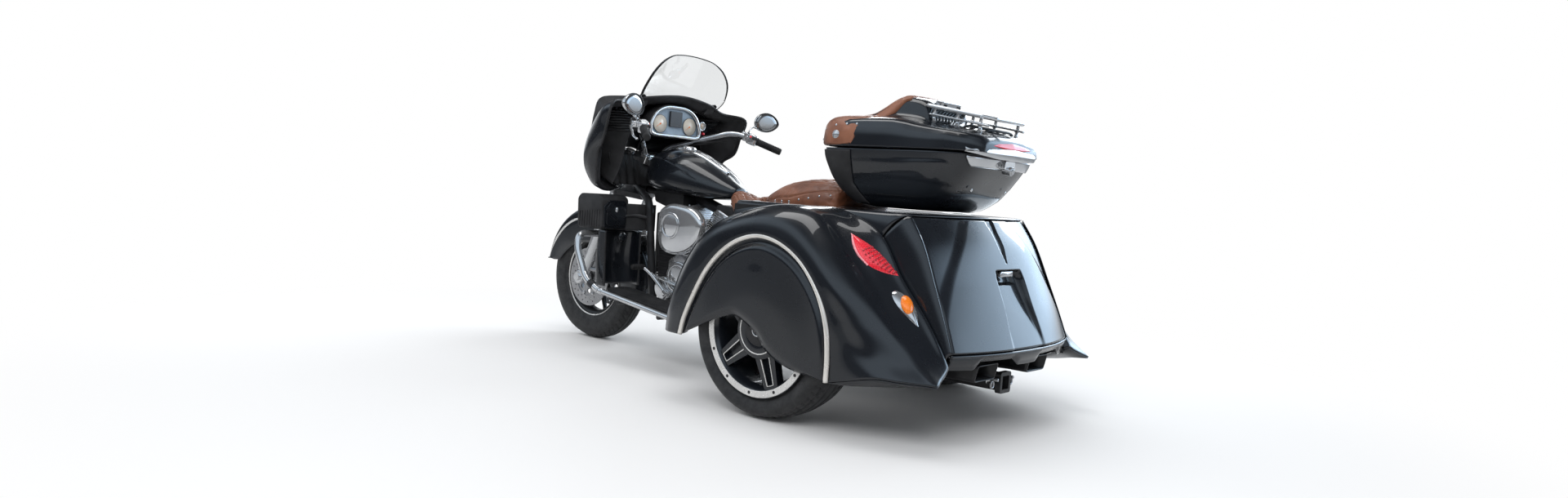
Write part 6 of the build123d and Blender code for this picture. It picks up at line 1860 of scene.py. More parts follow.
def build_front_fender():
    axle = (FRONT_AXLE[0], FRONT_AXLE[2])
    rows = []
    first, last = math.radians(10.6), math.radians(196.2)
    for k in range(150):
        a = first + (last - first) * k / 149
        floor_r = min(fender_floor(a), 369.5)
        half_width = 80 - 7 * smooth((math.radians(50) - a) / math.radians(42))
        ring = []
        for t in np.linspace(0, 1, 14):
            b = t * math.pi / 2
            ring.append((372 - 34 * (1 - math.cos(b)), half_width * math.sin(b)))
        for t in np.linspace(0, 1, 14)[1:]:
            swelling = 2.5 * math.sin(math.pi * t) * smooth((338 - floor_r) / 60)
            ring.append((338 + (min(floor_r, 337.5) - 338) * t, half_width + swelling))
        ring = [(max(r, floor_r), y) for r, y in ring]
        full = [(r, -y) for r, y in ring[::-1]] + ring[1:]
        rows.append([(axle[0] + r * math.cos(a), y, axle[1] + r * math.sin(a)) for r, y in full])
    put(Mesh().grid(np.array(rows)).object("front_fender_skin", PAINT, thickness=3, offset=1, weld=0.2),
        "steering", "gloss_black", "front_fender")
    inner, outer = [], []
    for k in range(90):
        t = k / 89
        a = math.radians(13.5) + math.radians(160) * t
        middle = np.interp(t, [0, 0.16, 0.4, 0.7, 1.0], [347, 326, 306, 300, 305])
        half = np.interp(t, [0, 0.12, 0.5, 0.85, 1], [1.5, 7, 10, 8, 2])
        for line, r in ((inner, middle - half), (outer, middle + half)):
            lift = 82.3 if r < 338 else math.sqrt(max(0, 1 - ((r - 338) / 34) ** 2)) * 80 + 2
            narrow = 7 * smooth((math.radians(50) - a) / math.radians(42))
            line.append((axle[0] + r * math.cos(a), lift - narrow + 1.5, axle[1] + r * math.sin(a)))
    middle_line = (arr(inner) + arr(outer)) / 2 + [0, 1.0, 0]
    bands = Mesh().grid(np.array([inner, middle_line, outer]))
    put(bands.mirrored().object("front_fender_bands", MACHINED, thickness=1.2), "steering", "chrome")
    edge = Mesh().tube(np.array(rows)[::3, -1] + [0, 0.5, 0], 2.6, 8)
    put(edge.mirrored().object("front_fender_edges", PAINT), "steering", "gloss_black")


def fork_at(height):
    """Point on the left fork leg's centre line."""
    return arr([FRONT_AXLE[0] - math.tan(RAKE) * (height - FRONT_AXLE[2]), 118.0, height])


def build_fork():
    mesh = Mesh()
    mesh.tube([fork_at(590), fork_at(985)], 23, 40)
    collar = [(fork_at(582 + h), r) for h, r in ((0, 29), (3, 32), (14, 32.5), (20, 31), (24, 26),
                                                 (25, 23.4))]
    mesh.tube([p for p, _ in collar], [r for _, r in collar], 40)
    lower = [(306, 20), (310, 26), (318, 29), (380, 28), (400, 29.5), (430, 30), (560, 30), (586, 29)]
    mesh.tube([fork_at(h) for h, _ in lower], [r for _, r in lower], 40)
    mesh.lathe([(12.3, -32), (30, -32), (34, -28), (34, 28), (30, 32), (12.3, 32)], fork_at(320), "y", 48)
    put(mesh.mirrored().object("fork_legs_turned", CHROME, bevel=0.8), "steering", "chrome", "fork_legs")


# ------------------------------------------------------------------ leg shields, crash bars and boards
def build_leg_shields():
    outline = rounded([(1297, 594), (1299, 742), (1330, 761), (1462, 759), (1483, 736), (1476, 594)], 26, 8)
    centre = outline.mean(0)
    rows = []
    for w, grow in ((214, 0.93), (217, 0.985), (224, 1), (362, 1), (371, 0.985), (376, 0.95)):
        line = centre + (outline - centre) * grow
        rows.append([(u, w, v) for u, v in line])
    box = Mesh().grid(np.array(rows), close_cols=True, caps=True)
    put(box.mirrored().object("leg_boxes", MATTE), "chassis", "matte_black", "leg_shields")
    ribs = Mesh()
    for i in range(9):
        x = 1318 + 18 * i
        top = 690 - 2 * i
        ribs.slab(rounded([(x - 5, 604), (x + 5, 604), (x + 5, top), (x - 5, top)], 4, 4), (370, 379),
                  side(0))
    put(ribs.mirrored().object("leg_box_ribs", MATTE, bevel=1.6), "chassis", "matte_black")
    lid = Mesh()
    face = rounded([(222, 604), (218, 692), (244, 734), (340, 734), (368, 704), (366, 612), (350, 600)], 20,
                   6)
    lid.slab(face, (0, 7), facing(1298, -1))
    inner = rounded([(236, 616), (232, 686), (252, 722), (334, 722), (354, 698), (353, 622), (342, 614)], 16,
                    6)
    lid.slab(inner, (6, 11), facing(1298, -1))
    lid.add(*dome((1296, 246, 560), BACKWARD, 24, 12, 6, 28))
    put(lid.mirrored().object("leg_box_lids", PAINT, bevel=3.5, steps=3), "chassis", "gloss_black")
    knob = Mesh().add(*dome((1284, 300, 690), BACKWARD, 8, 8, 5, 20, wide=(1, 1.6)))
    put(knob.mirrored().object("leg_box_knobs", CHROME), "chassis", "chrome")
    rows = []
    for z in np.linspace(592, 334, 26):
        t = (592 - z) / 258
        flare = 16 * math.sin(math.pi * t)
        rows.append(spline([(1244 - 4 * t, 178, z), (1304 + flare * 0.6, 172, z), (1346 + flare, 262, z),
                            (1322 + flare * 0.5, 366, z), (1268 - 10 * t, 372, z)], 34))
    shield = Mesh().grid(np.array(rows))
    put(shield.mirrored().object("leg_shield_panels", PAINT, thickness=6, offset=0), "chassis", "gloss_black")
    rim = Mesh().tube(np.array(rows)[:, -1], 5, 10).tube(np.array(rows)[:, 0], 4, 10)
    put(rim.mirrored().object("leg_shield_edges", SATIN), "chassis", "gloss_black")
    rows = [spline([(1236, 96, z), (1250, 140, z), (1268, 190, z), (1296, 236, z)], 14)
            for z in np.linspace(722, 596, 16)]
    inner = Mesh().grid(np.array(rows))
    put(inner.mirrored().object("leg_box_inner_panels", MATTE, thickness=5, offset=0), "chassis",
        "matte_black")
    bracket = Mesh().tube(spline([(1222, 152, 660), (1262, 196, 668), (1300, 246, 660)], 12), 8, 14)
    put(bracket.mirrored().object("leg_box_brackets", SATIN), "chassis", "satin_black")


def build_crash_bars():
    path = bend([(1214, 150, 588), (1392, 130, 570), (1418, 196, 568), (1414, 410, 568), (1398, 429, 500),
                 (1326, 430, 366), (1226, 430, 319)], 44)
    mesh = Mesh().tube(path, 16, 28)
    put(mesh.mirrored().object("crash_bars_bent", CHROME), "chassis", "chrome", "crash_bars")
    joints = Mesh()
    joints.tube([(1296, 430, 351.5), (1290, 430, 348.7), (1262, 430, 335.6), (1256, 430, 332.8)],
                [14, 19, 19, 14], 24)
    joints.tube([(1418, 196, 568), (1418, 214, 568)], 19, 24)
    put(joints.mirrored().object("crash_bar_joints", SATIN), "chassis", "satin_black")


def on_board(u, v, w):
    """Place function on the sloping floorboards, drawn from above."""
    return u, v, 318 - (1222 - u) * 66 / 510 + w


def build_floorboards():
    outline = rounded([(1226, 254), (1214, 404), (762, 414), (708, 398), (708, 302), (800, 254)], 46, 10)
    pad = Mesh().slab(outline, (1, 15), on_board)
    for i in range(11):
        y = 272 + 12.6 * i
        start, end = (830 if y < 300 else 752), 1196
        pad.slab(rounded([(start, y - 3), (end, y - 3), (end, y + 3), (start, y + 3)], 2.5, 3), (14, 18),
                 on_board)
    put(pad.mirrored().object("floorboard_pads", RUBBER, bevel=1.5), "chassis", "rubber")
    rail = Mesh().tube(bend([(1226, 430, 319), (716, 432, 251), (686, 396, 247), (706, 300, 248)], 24), 12,
                       24)
    rail.tube([(1228, 430, 319), (1196, 430, 315)], [15, 15], 24)
    put(rail.mirrored().object("floorboard_rails", CHROME), "chassis", "chrome", "floorboards")
    arms = Mesh()
    for x, z in ((1090, 288), (820, 253)):
        arms.tube(bend([(x, 150, 232), (x, 204, z - 4), (x, 430, z - 4)], 30, 30), 12, 18)
    plate = rounded([(1218, 262), (1206, 398), (768, 406), (716, 392), (716, 308), (806, 262)], 40, 8)
    arms.slab(plate, (-5, 1), on_board)
    put(arms.mirrored().object("floorboard_arms", SATIN, bevel=1), "chassis", "satin_black")


def build_controls():
    mesh = Mesh()
    mesh.tube(bend([(1046, 178, 318), (1130, 198, 400), (1176, 212, 430)], 24, 30), np.linspace(9, 6.5, 30),
              16)
    mesh.rod((1130, 190, 400), (832, 190, 330), 5.5)
    mesh.rod((1046, 169, 318), (1046, 190, 318), 16, edge=3)
    for x, z in ((1130, 400), (834, 331)):
        mesh.add(*dome((x, 196, z), LEFT, 9, 7))
    mesh.tube(bend([(1046, -226, 318), (1110, -232, 360), (1172, -240, 428)], 24, 30), 8, 16)
    put(mesh.object("foot_levers", CHROME), "chassis", "chrome", "foot_controls")
    pegs = Mesh()
    pegs.tube([(1176, 204, 430), (1176, 208, 430), (1176, 276, 430), (1176, 281, 430)], [9, 12.5, 12.5, 9],
              20)
    for k in range(6):
        pegs.tube([(1176, 216 + 10 * k, 430), (1176, 221 + 10 * k, 430)], 13.6, 20)
    pegs.slab(rounded([(1152, -280), (1208, -280), (1208, -214), (1152, -214)], 10, 5), (430, 443),
              lambda u, v, w: (u, v, w + (u - 1180) * 0.25))
    put(pegs.object("foot_lever_rubbers", RUBBER, bevel=1.5), "chassis", "rubber")


# ------------------------------------------------------------------ engine
def rect_loop(width, height, radius, steps=7):
    a, b = width / 2, height / 2
    return rounded([(-a, -b), (a, -b), (a, b), (-a, b)], radius, steps)


def domed(mesh, outline, levels, crown, place, rings=9, centre=None):
    """Cover with a rounded edge and a swollen face; levels are (share of the outline, depth) pairs."""
    outline = arr(outline)
    middle = outline.mean(0) if centre is None else arr(centre)
    top_share, top = levels[-1]
    stops = list(levels)
    for s in np.linspace(1, 0, rings)[1:-1]:
        stops.append((top_share * s, top + crown * (1 - s * s)))
    rows = [[place(*(middle + (p - middle) * share), depth) for p in outline] for share, depth in stops]
    n = len(outline)
    base = len(rows)
    verts = [p for row in rows for p in row] + [place(*middle, top + crown)]
    faces = faces_of(base, n, False, True)
    faces += [((base - 1) * n + i, (base - 1) * n + (i + 1) % n, base * n) for i in range(n)]
    faces.append(tuple(range(n - 1, -1, -1)))
    return mesh.add(verts, faces)


CRANK = arr([930, 0, 415])
CYLINDER_LEAN = math.radians(24.5)


def on_cylinder(lean_sign):
    """Place function across a cylinder: u to the left, v fore and aft, w along its axis from the crank."""
    lean = CYLINDER_LEAN * lean_sign
    out = arr([math.sin(lean), 0, math.cos(lean)])
    ahead = arr([math.cos(lean), 0, -math.sin(lean)])

    def place(u, v, w):
        p = CRANK + out * w + ahead * v + arr([0, u, 0])
        # fins of the two cylinders stop 2 mm short of the plane between them
        p[0] = max(p[0], CRANK[0] + 2) if lean_sign > 0 else min(p[0], CRANK[0] - 2)
        return tuple(p)
    return place


def bolt_head(mesh, point, normal, radius, height):
    """Hexagon head on a washer."""
    n = arr(normal) / np.linalg.norm(normal)
    u = np.cross(n, [0.3, 0.2, 1.0])
    u /= np.linalg.norm(u)
    v = np.cross(n, u)
    p = arr(point)
    for r, low, high, sides in ((radius * 1.35, -1.0, 1.2, 18), (radius, 1.2, height, 6)):
        mesh.slab(circle(r, sides), (low, high), lambda a, b, w: tuple(p + u * a + v * b + n * w))
    return mesh


def build_case():
    case_outline = rounded([(1085, 300), (1098, 430), (1040, 520), (930, 545), (820, 520), (700, 505),
                            (560, 470), (545, 330), (600, 262), (1010, 258)], 34, 8)
    case = Mesh()
    middle = case_outline.mean(0)
    rows = []
    for y, share in ((-112, 0.93), (-110, 0.97), (-100, 1), (-4, 1), (-3, 1.012), (3, 1.012), (4, 1),
                     (100, 1), (110, 0.97), (112, 0.93)):
        rows.append([(u, y, v) for u, v in middle + (case_outline - middle) * share])
    case.grid(np.array(rows), close_cols=True, caps=True)
    for sign in (-1, 1):
        case.slab(rect_loop(140, 118, 40), (60, 118), on_cylinder(sign))
    for k in range(9):
        x = 600 + 50 * k
        case.slab([(x - 3, 262), (x + 3, 262), (x + 3, 300), (x - 3, 300)], (-114, 114), side(0))
    put(case.object("engine_case_cast", CASE_GREY, bevel=2.5), "chassis", "cast_grey", "engine_case")
    nose = Mesh()
    snout = rounded([(1020, 262), (1128, 266), (1154, 330), (1154, 500), (1110, 566), (1010, 560)], 26, 8)
    domed(nose, snout, [(0.95, -138), (1, -130), (1, 130), (0.95, 138)], 0, side(0))
    for i in range(7):
        z, ahead = 340 + 30 * i, 1156 - 3 * max(0, i - 4)
        nose.slab(rounded([(1040, z - 4), (ahead, z - 4), (ahead, z + 4), (1040, z + 4)], 3, 3), (-144, 144),
                  side(0))
    nose.slab(rounded([(-112, 520), (112, 520), (104, 712), (-104, 712)], 14, 5), (1142, 1160), facing(0))
    nose.slab(rounded([(1046, 690), (1236, 742), (1244, 796), (1040, 796)], 20, 6), (-104, 104), side(0))
    nose.slab(rounded([(660, 690), (830, 700), (846, 752), (660, 738)], 20, 6), (-84, 84), side(0))
    put(nose.object("engine_front_covers", SATIN, bevel=2), "chassis", "satin_black")
    cooler = Mesh().slab(rounded([(-104, 400), (104, 400), (104, 690), (-104, 690)], 12, 6), (1188, 1214),
                         facing(0))
    for i in range(20):
        z = 416 + 13.6 * i
        cooler.slab(rounded([(-100, z - 2), (100, z - 2), (100, z + 2), (-100, z + 2)], 1, 2), (1184, 1218),
                    facing(0))
    put(cooler.object("oil_cooler_fins", SATIN), "chassis", "satin_black")


def build_cylinders():
    barrels, edges, heads = Mesh(), Mesh(), Mesh()
    for sign in (-1, 1):
        place = on_cylinder(sign)
        barrels.slab(rect_loop(124, 104, 50), (118, 254), place)
        for i in range(13):
            low = 118 + (i + 0.4) * 10.5
            barrels.slab(rect_loop(174, 136, 26), (low, low + 3.4), place)
            ring_plate(edges, rect_loop(176.5, 138.5, 27), rect_loop(172.5, 134.5, 25),
                       (low + 0.5, low + 2.9), place, 64)
        heads.slab(rect_loop(148, 116, 30), (254.5, 312), place)
        for i in range(5):
            low = 257 + i * 10.0
            heads.slab(rect_loop(182 - 4 * (i > 3), 142 - 4 * (i > 3), 30), (low, low + 4), place)
        levels = [(0.95, 304), (1.0, 307), (1.0, 320), (0.985, 325), (0.95, 328)]
        domed(heads, rect_loop(178, 130, 46, 9), levels, 9, place)
        domed(heads, rect_loop(118, 78, 34, 9), [(0.97, 326), (1.0, 330), (0.97, 337), (0.9, 339)], 3, place)
        for u in (-70, 70):
            for v in (-40, 40):
                foot, top = arr(place(u, v, 320)), arr(place(u, v, 330))
                bolt_head(heads, top, top - foot, 6, 6)
        port = arr(place(-60, 60 * sign, 285))
        heads.tube([port, port + arr([30 * sign, -12, -4])], [27, 25], 28)
    put(barrels.object("barrel_fins", SATIN), "chassis", "satin_black", "cylinders")
    put(edges.object("barrel_fin_edges", MACHINED), "chassis", "cast_grey")
    put(heads.object("head_fins_and_covers", CHROME, bevel=1.2), "chassis", "chrome", "cylinder_heads")


def build_covers():
    covers = Mesh()
    primary = rounded([(1060, 330), (1062, 480), (980, 520), (700, 490), (640, 440), (640, 330), (700, 290),
                       (980, 285)], 44, 10)
    domed(covers, primary, [(0.97, 112), (1, 116), (1, 148), (0.985, 158), (0.955, 163)], 5, side(0))
    for x, z, r, high in ((975, 400, 74, 181), (725, 392, 62, 183)):
        domed(covers, circle(r, 56, (x, z)), [(1, 160), (1, high - 8), (0.97, high - 3), (0.92, high - 1)], 3,
              side(0), centre=(x, z))
        ring_plate(covers, arr(circle(r - 16, 56, (x, z))), arr(circle(r - 20, 56, (x, z))),
                   (high - 3, high + 2.5), side(0))
    for point in closed_even(primary, 14):
        u, v = point + (primary.mean(0) - point) * 0.05
        bolt_head(covers, (u, 158, v), LEFT, 5, 5)
    domed(covers, circle(56, 56, (1086, 338)), [(1, 130), (1, 156), (0.96, 162), (0.9, 164)], 4, side(0),
          centre=(1086, 338))
    cam = rounded([(1040, 340), (1040, 500), (820, 500), (820, 340)], 54, 10)
    domed(covers, cam, [(0.97, 112), (1, 116), (1, 142), (0.98, 150), (0.94, 154)], 4, side(0, -1))
    for i in range(5):
        z = 372 + 22 * i
        covers.slab(rounded([(850, z), (1010, z), (1010, z + 8), (850, z + 8)], 3, 3), (150, 160),
                    side(0, -1))
    for sign in (-1, 1):
        for shift in (-16, 16):
            start = arr(on_cylinder(sign)(-132, shift, 60))
            end = arr(on_cylinder(sign)(-88, shift * 1.6, 262))
            axis = end - start
            covers.tube([start, start + axis * 0.12, start + axis * 0.13, start + axis * 0.86,
                         start + axis * 0.87, end], [12, 12, 9, 9, 12, 12], 22)
    put(covers.object("engine_covers_polished", CHROME, bevel=0.8), "chassis", "chrome", "engine_covers")


def build_air_cleaner():
    cleaner = Mesh()
    shape = spline([(1072, 560), (1080, 640), (1070, 706), (1014, 738), (926, 737), (846, 716), (796, 662),
                    (804, 602), (858, 542), (944, 509), (1034, 517)], 96, closed=True)
    levels = [(0.90, 176), (0.96, 180), (0.99, 190), (1.0, 204), (0.99, 215), (0.96, 224), (0.90, 230)]
    domed(cleaner, shape, levels, 8, side(0))
    domed(cleaner, circle(62, 56, (982, 640)), [(1, 226), (1, 236), (0.96, 240), (0.88, 241), (0.84, 238)], 7,
          side(0), centre=(982, 640))
    cleaner.lathe([(50, 232), (54, 232), (55.5, 240.5), (53, 243), (49.5, 242), (49, 238)], (982, 0, 640),
                  "y", 64)
    cleaner.lathe([(0, 0), (37, 0), (38, 40), (38, 120), (0, 120)], (940, 60, 620), "y", 40, closed=False)
    for bolt in ((1040, 222, 702), (866, 226, 600)):
        bolt_head(cleaner, bolt, LEFT, 6, 5)
    put(cleaner.object("air_cleaner_domed", CHROME, bevel=0.6), "chassis", "chrome", "air_cleaner")


def rect_tube(stations, corner, count=72):
    """Rows of rounded rectangles; stations are (x, y, z, width, height)."""
    rows = []
    for x, y, z, w, h in stations:
        rows.append([(x, y + u, z + v) for u, v in closed_even(rect_loop(w, h, corner), count)])
    return np.array(rows)


def build_exhaust():
    pipes = Mesh()
    runs = [([(1106, -76, 660), (1148, -84, 640), (1136, -98, 180), (1100, -204, 174), (800, -204, 182),
              (420, -196, 186)], 60, 160, 30),
            ([(728, -76, 640), (668, -140, 610), (648, -204, 480), (655, -204, 250), (600, -204, 189)],
             50, 100, 30),
            ([(420, -196, 186), (250, -120, 182), (-120, -120, 182), (-250, -200, 205), (-420, -200, 222)],
             80, 120, 24),
            ([(250, -120, 182), (120, 60, 182), (-120, 120, 182), (-250, 200, 205), (-420, 200, 222)],
             80, 120, 24)]
    for points, radius, count, sides in runs:
        pipes.tube(bend(points, radius, count), 22, sides)
    for x in (1040, 780):
        pipes.tube([(x, -204, 176 + (1100 - x) * 0.02), (x - 14, -204, 176 + (1114 - x) * 0.02)], 25, 30)
    pipes.tube([(700, -206, 184), (690, -206, 184), (470, -200, 186), (460, -200, 186)], [22, 31, 31, 22], 30)
    put(pipes.object("exhaust_pipes", CHROME), "chassis", "chrome", "exhaust")
    cans = Mesh()
    outside = rect_tube([(-396, 200, 222, 70, 46), (-402, 200, 222, 84, 57), (-500, 200, 228, 118, 60),
                         (-588, 200, 236, 148, 63), (-592, 200, 236, 150, 64), (-650, 200, 236, 150, 64),
                         (-664, 200, 236, 149, 63)], 13)
    inside = rect_tube([(-664, 200, 236, 141, 55), (-600, 200, 236, 138, 52), (-560, 200, 234, 130, 48)], 10)
    outside[-2:, :, 0] += 0.22 * (236 - outside[-2:, :, 2])
    inside[0, :, 0] += 0.22 * (236 - inside[0, :, 2])
    cans.grid(np.vstack([outside, inside]), close_cols=True, caps=True)
    put(cans.mirrored().object("silencer_tips", SATIN), "chassis", "satin_black")


# ------------------------------------------------------------------ handlebar and controls
GRIP_OUT = arr([941.0, 447.0, 1028.0])
GRIP_IN = arr([1135.0, 318.0, 1112.0])
GRIP_DIR = (GRIP_IN - GRIP_OUT) / np.linalg.norm(GRIP_IN - GRIP_OUT)


def along_grip(distance):
    return GRIP_OUT + GRIP_DIR * distance


def oriented_block(mesh, centre, along, up, size, corner, edge=3.0):
    """Rounded block: size is (along, across, up)."""
    a = arr(along) / np.linalg.norm(along)
    c = np.cross(up, a)
    c /= np.linalg.norm(c)
    b = np.cross(a, c)
    p = arr(centre)
    length, wide, high = size
    rows = []
    for w, grow in ((-high / 2, -edge), (-high / 2 + edge * 0.4, -edge * 0.3), (-high / 2 + edge, 0),
                    (high / 2 - edge, 0), (high / 2 - edge * 0.4, -edge * 0.3), (high / 2, -edge)):
        loop_line = rect_loop(length + 2 * grow, wide + 2 * grow, corner)
        rows.append([tuple(p + a * u + c * v + b * w) for u, v in loop_line])
    return mesh.grid(np.array(rows), close_cols=True, caps=True)


def build_handlebar():
    bars = Mesh()
    axis_x = FRONT_AXLE[0] - math.tan(RAKE) * (955 - FRONT_AXLE[2]) - 40 * math.cos(RAKE)
    top_z = 955 - 40 * math.sin(RAKE)
    points = [(axis_x - 6, 0, top_z + 20), (axis_x - 6, 48, top_z + 20), (axis_x - 24, 76, top_z + 70),
              (1250, 205, 1064), tuple(GRIP_IN), tuple(along_grip(0))]
    bars.tube(bend(points, 60, 150), 12.7, 24)
    oriented_block(bars, (axis_x - 2, 48, top_z + 10), (0.9, 0, 0.43), (-0.43, 0, 0.9), (52, 34, 44), 12)
    oriented_block(bars, along_grip(150), GRIP_DIR, (0, 0, 1), (54, 50, 54), 18, 8)
    oriented_block(bars, along_grip(188), GRIP_DIR, (0, 0, 1), (16, 40, 44), 12, 4)
    master = along_grip(150) + arr([42, 8, 18])
    oriented_block(bars, master, GRIP_DIR, (0, 0, 1), (70, 46, 30), 20, 6)
    for d in (-24, 24):
        bolt_head(bars, master + GRIP_DIR * d + arr([0, 0, 15]), (0, 0, 1), 4, 3)
    lever = spline([master + arr([20, -2, -10]), master + arr([-10, 36, -18]),
                    along_grip(70) + arr([52, 30, 4]), along_grip(20) + arr([46, 34, -4]),
                    along_grip(-12) + arr([34, 26, -8])], 60)
    bars.tube(lever, np.interp(np.linspace(0, 1, 60), [0, 0.2, 0.9, 0.96, 1], [8, 6.5, 5, 7, 5]), 14,
              squash=0.7)
    put(bars.mirrored().object("bars_and_controls", CHROME, bevel=0.6), "steering", "chrome", "handlebar")
    black = Mesh()
    cover = master + arr([0, 0, 15.5])
    oriented_block(black, cover, GRIP_DIR, (0, 0, 1), (58, 34, 4), 16, 1.5)
    oriented_block(black, along_grip(146) + arr([-26, -14, 6]), GRIP_DIR, (-0.8, -0.5, 0.3), (30, 14, 8), 5,
                   2)
    put(black.mirrored().object("control_caps", MATTE), "steering", "matte_black")
    keys = Mesh()
    oriented_block(keys, along_grip(166) + arr([-24, -17, 8]), GRIP_DIR, (-0.8, -0.5, 0.3), (10, 10, 8), 3,
                   1.5)
    put(keys.mirrored().object("control_keys", RED), "steering", "red_lens")
    grips = Mesh()
    profile = [(-9, 10), (-8, 15), (-4, 16.6), (0, 17), (6, 17)]
    for k in range(13):
        profile += [(10 + 8 * k, 17.4), (15 + 8 * k, 17.4), (16 + 8 * k, 16.4), (17 + 8 * k, 16.4)]
    profile += [(116, 18.5), (122, 18.5), (123, 14)]
    grips.tube([along_grip(d) for d, _ in profile], [r for _, r in profile], 28)
    put(grips.mirrored().object("grips_ribbed", RUBBER), "steering", "rubber", "grips")
    cables = Mesh()
    for shift in (0, 9):
        route = spline([along_grip(186) + arr([6, shift, -6]), arr([1200, 262 - shift, 1056]),
                        arr([1266, 176, 1034 + shift]), arr([1350, 124, 1016]), arr([1412, 92, 950]),
                        arr([1432, 80, 890 + shift])], 60)
        cables.tube(route, 4.2, 10)
    put(cables.mirrored().object("control_lines", RUBBER), "steering", "rubber")


def build_mirrors():
    head = arr([1045, 443, 1166])
    root = along_grip(150) + arr([34, 8, 33])
    n = arr([-0.975, -0.222, 0.0])
    right = arr([-0.22, 0.975, 0.0])
    up = arr([0, 0, 1.0])
    egg = spline([(-54, -30), (-68, 4), (-46, 40), (8, 55), (60, 36), (82, 4), (62, -22), (6, -43)], 72,
                 closed=True)

    def place(u, v, w):
        return tuple(head + right * u + up * v + n * w)

    shell = Mesh()
    rows = [[place(u, v, w) for u, v in egg * share]
            for w, share in ((9, 0.93), (10.5, 0.96), (10, 0.99), (5, 1.0), (-2, 0.985), (-10, 0.90),
                             (-17, 0.72), (-21, 0.45), (-22.5, 0.15))]
    shell.grid(np.array(rows), close_cols=True, caps=True)
    stem = spline([root, root + arr([6, 34, 34]), head + arr([12, -22, -30]), head + arr([10, -4, -6])], 40)
    shell.tube(stem, np.interp(np.linspace(0, 1, 40), [0, 0.1, 1], [8, 5.5, 4.5]), 16)
    put(shell.mirrored().object("mirror_shells", CHROME), "steering", "chrome", "mirrors")
    glass = Mesh()
    rows = [[place(u, v, w) for u, v in egg * share]
            for w, share in ((8.6, 0.935), (10.2, 0.93), (10.8, 0.6), (11.0, 0.05))]
    glass.grid(np.array(rows), close_cols=True, caps=True)
    put(glass.mirrored().object("mirror_glasses", MIRROR), "steering", "chrome")
    edge = Mesh().tube([place(u, v, 10) for u, v in egg * 0.955], 2.2, 8, closed=True)
    put(edge.mirrored().object("mirror_edges", SATIN), "steering", "satin_black")


for build in (build_fenders, build_skirts, build_door, build_trunk, build_tail_lamps, build_indicators,
              build_valance, build_hitch_details, build_box, build_lid, build_box_trim, build_rack,
              build_box_lamp, build_rider_saddle, build_passenger_saddle, build_nose_strip, build_seat_pan,
              build_lower_pad, build_upper_pad, build_tank, build_fairing, build_inner_panel, build_screen,
              build_gauges):
    build()
build_rear_wheel(1, "left")
build_rear_wheel(-1, "right")
for build in (build_front_wheel, build_front_fender, build_fork, build_leg_shields, build_crash_bars,
              build_floorboards, build_controls, build_case, build_cylinders, build_covers, build_air_cleaner,
              build_exhaust, build_handlebar, build_mirrors):
    build()


# ------------------------------------------------------------------ floor, light and camera
def build_stage():
    """Pale floor that fades to the plain white background away from the object."""
    f = Finish("studio_floor", Roughness=0.6, Specular_IOR_Level=0.1)
    mottle = f.node("ShaderNodeTexNoise", Scale=3.0).outputs["Fac"]
    f.colour(mottle, [(0, (0.80, 0.80, 0.80)), (1, (0.84, 0.84, 0.84))])
    distance = f.node("ShaderNodeVectorMath")
    distance.operation = "LENGTH"
    f.link(f.coords, distance.inputs[0])
    far = f.eased(distance.outputs["Value"], 1.6, 3.4)
    rays = f.node("ShaderNodeLightPath").outputs
    shown = f.math("MULTIPLY", f.math("MAXIMUM", rays["Is Camera Ray"], rays["Is Transmission Ray"]), far)
    surface = f.mixed(shown, f.bsdf.outputs[0], f.node("ShaderNodeEmission", Color=(1, 1, 1, 1)).outputs[0])
    # in polished surfaces the floor shows as a deeper tone
    deep = f.node("ShaderNodeEmission", Color=(0.050, 0.052, 0.055, 1)).outputs[0]
    mirrored = f.math("GREATER_THAN", rays["Is Glossy Ray"], rays["Is Transmission Ray"])
    surface = f.mixed(f.math("MULTIPLY", mirrored, 0.45), surface, deep)
    out = next(n for n in f.tree.nodes if n.type == "OUTPUT_MATERIAL")
    f.link(surface, out.inputs["Surface"])
    floor = Mesh().add([(-30000, -30000, 0), (30000, -30000, 0), (30000, 30000, 0), (-30000, 30000, 0)],
                       [(0, 1, 2, 3)])
    floor.object("studio_floor", f.mat)


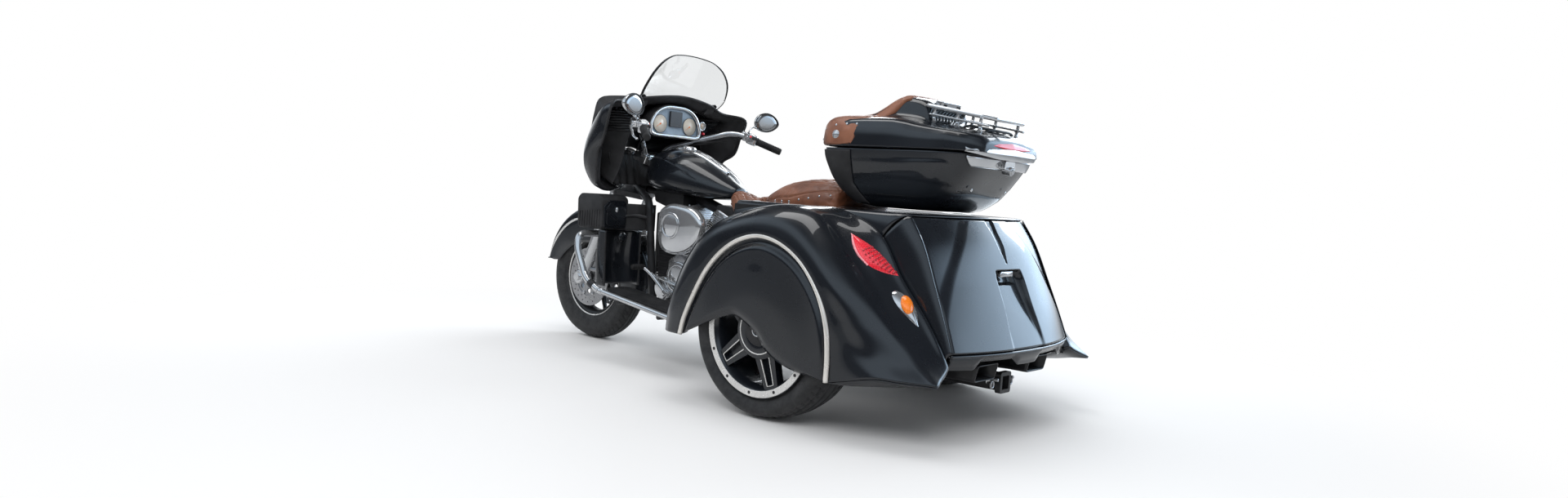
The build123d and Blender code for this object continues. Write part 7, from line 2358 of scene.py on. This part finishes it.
def build_world():
    """Soft light all round; camera and transmission rays see plain white, and glossy rays the studio:
    pale behind the object and near the floor, dark overhead and behind the camera, one broad soft panel."""
    world = bpy.data.worlds.new("studio")
    bpy.context.scene.world = world
    world.use_nodes = True
    sky = Nodes(world.node_tree)
    sky.tree.nodes.clear()

    def background(colour, strength):
        return sky.node("ShaderNodeBackground", Color=(*colour, 1), Strength=strength).outputs[0]

    def product(first, *others):
        for other in others:
            first = sky.math("MULTIPLY", first, other)
        return first

    split = sky.node("ShaderNodeSeparateXYZ")
    sky.link(sky.node("ShaderNodeTexCoord").outputs["Generated"], split.inputs[0])
    x, y, z = split.outputs
    horizon = product(sky.eased(y, 0.30, -0.30), sky.eased(z, 0.30, 0.08), sky.eased(z, -0.02, 0.06))
    studio = sky.mixed(horizon, background((0.80, 0.86, 1.0), 0.05), background((0.93, 0.965, 1.0), 0.95))
    above = product(sky.eased(y, -0.25, 0.25), sky.eased(z, 0.16, 0.46), sky.eased(z, 0.98, 0.70))
    studio = sky.mixed(above, studio, background((0.72, 0.86, 1.0), 0.85))
    panel = product(sky.eased(y, -0.22, -0.50), sky.eased(z, 0.02, 0.16), sky.eased(z, 0.64, 0.36),
                    sky.eased(x, 0.40, 0.05))
    studio = sky.mixed(panel, studio, background((0.60, 0.79, 1.0), 3.2))
    rays = sky.node("ShaderNodeLightPath").outputs
    glossy = sky.mixed(rays["Is Glossy Ray"], background((0.93, 0.96, 1.0), 0.55), studio)
    seen = sky.math("MAXIMUM", rays["Is Camera Ray"], rays["Is Transmission Ray"])
    surface = sky.mixed(seen, glossy, background((1, 1, 1), 1.0))
    sky.link(surface, sky.node("ShaderNodeOutputWorld").inputs["Surface"])


def area_light(name, place, aim, size, power, colour=(1, 1, 1), shows=True):
    light = bpy.data.lights.new(name, "AREA")
    light.shape = "RECTANGLE"
    light.size, light.size_y = size
    light.energy = power
    light.color = colour
    obj = bpy.data.objects.new(name, light)
    bpy.context.scene.collection.objects.link(obj)
    obj.location = place
    obj.rotation_euler = (Vector(aim) - Vector(place)).to_track_quat("-Z", "Y").to_euler()
    obj.visible_camera = False
    obj.visible_glossy = shows


def build_lights():
    area_light("key", (-2.2, 3.6, 3.4), (0, 0, 0.5), (3.4, 2.2), 105, shows=False)
    area_light("far_side", (0.4, -4.2, 2.9), (-0.3, 0, 0.5), (4.6, 2.4), 150, (0.93, 0.97, 1.0))
    area_light("front", (3.8, 1.6, 2.6), (0.4, 0, 0.6), (2.6, 2.0), 60, shows=False)
    area_light("overhead", (0.0, 0.3, 4.2), (0, 0, 0), (3.6, 1.6), 50)


CAMERA_PLACE = (-2411.7, 3465.9, 849.2)
CAMERA_RIGHT = Vector((-0.7622, -0.6437, 0.0689)).normalized()
CAMERA_FORWARD = Vector((0.6409, -0.7653, -0.0601)).normalized()


def build_camera():
    data = bpy.data.cameras.new("camera")
    data.sensor_width = 36.0
    data.lens = 23.35
    data.clip_end = 200
    camera = bpy.data.objects.new("camera", data)
    bpy.context.scene.collection.objects.link(camera)
    up = CAMERA_RIGHT.cross(CAMERA_FORWARD).normalized()
    right = CAMERA_FORWARD.cross(up).normalized()
    turn = Matrix((right, up, -CAMERA_FORWARD)).transposed().to_4x4()
    place = Vector(CAMERA_PLACE) / 1000 + Vector((AXLE.x, 0, 0))
    camera.matrix_world = Matrix.Translation(place) @ turn
    bpy.context.scene.camera = camera


build_stage()
build_world()
build_lights()
build_camera()
bpy.context.scene.view_settings.view_transform = "Standard"
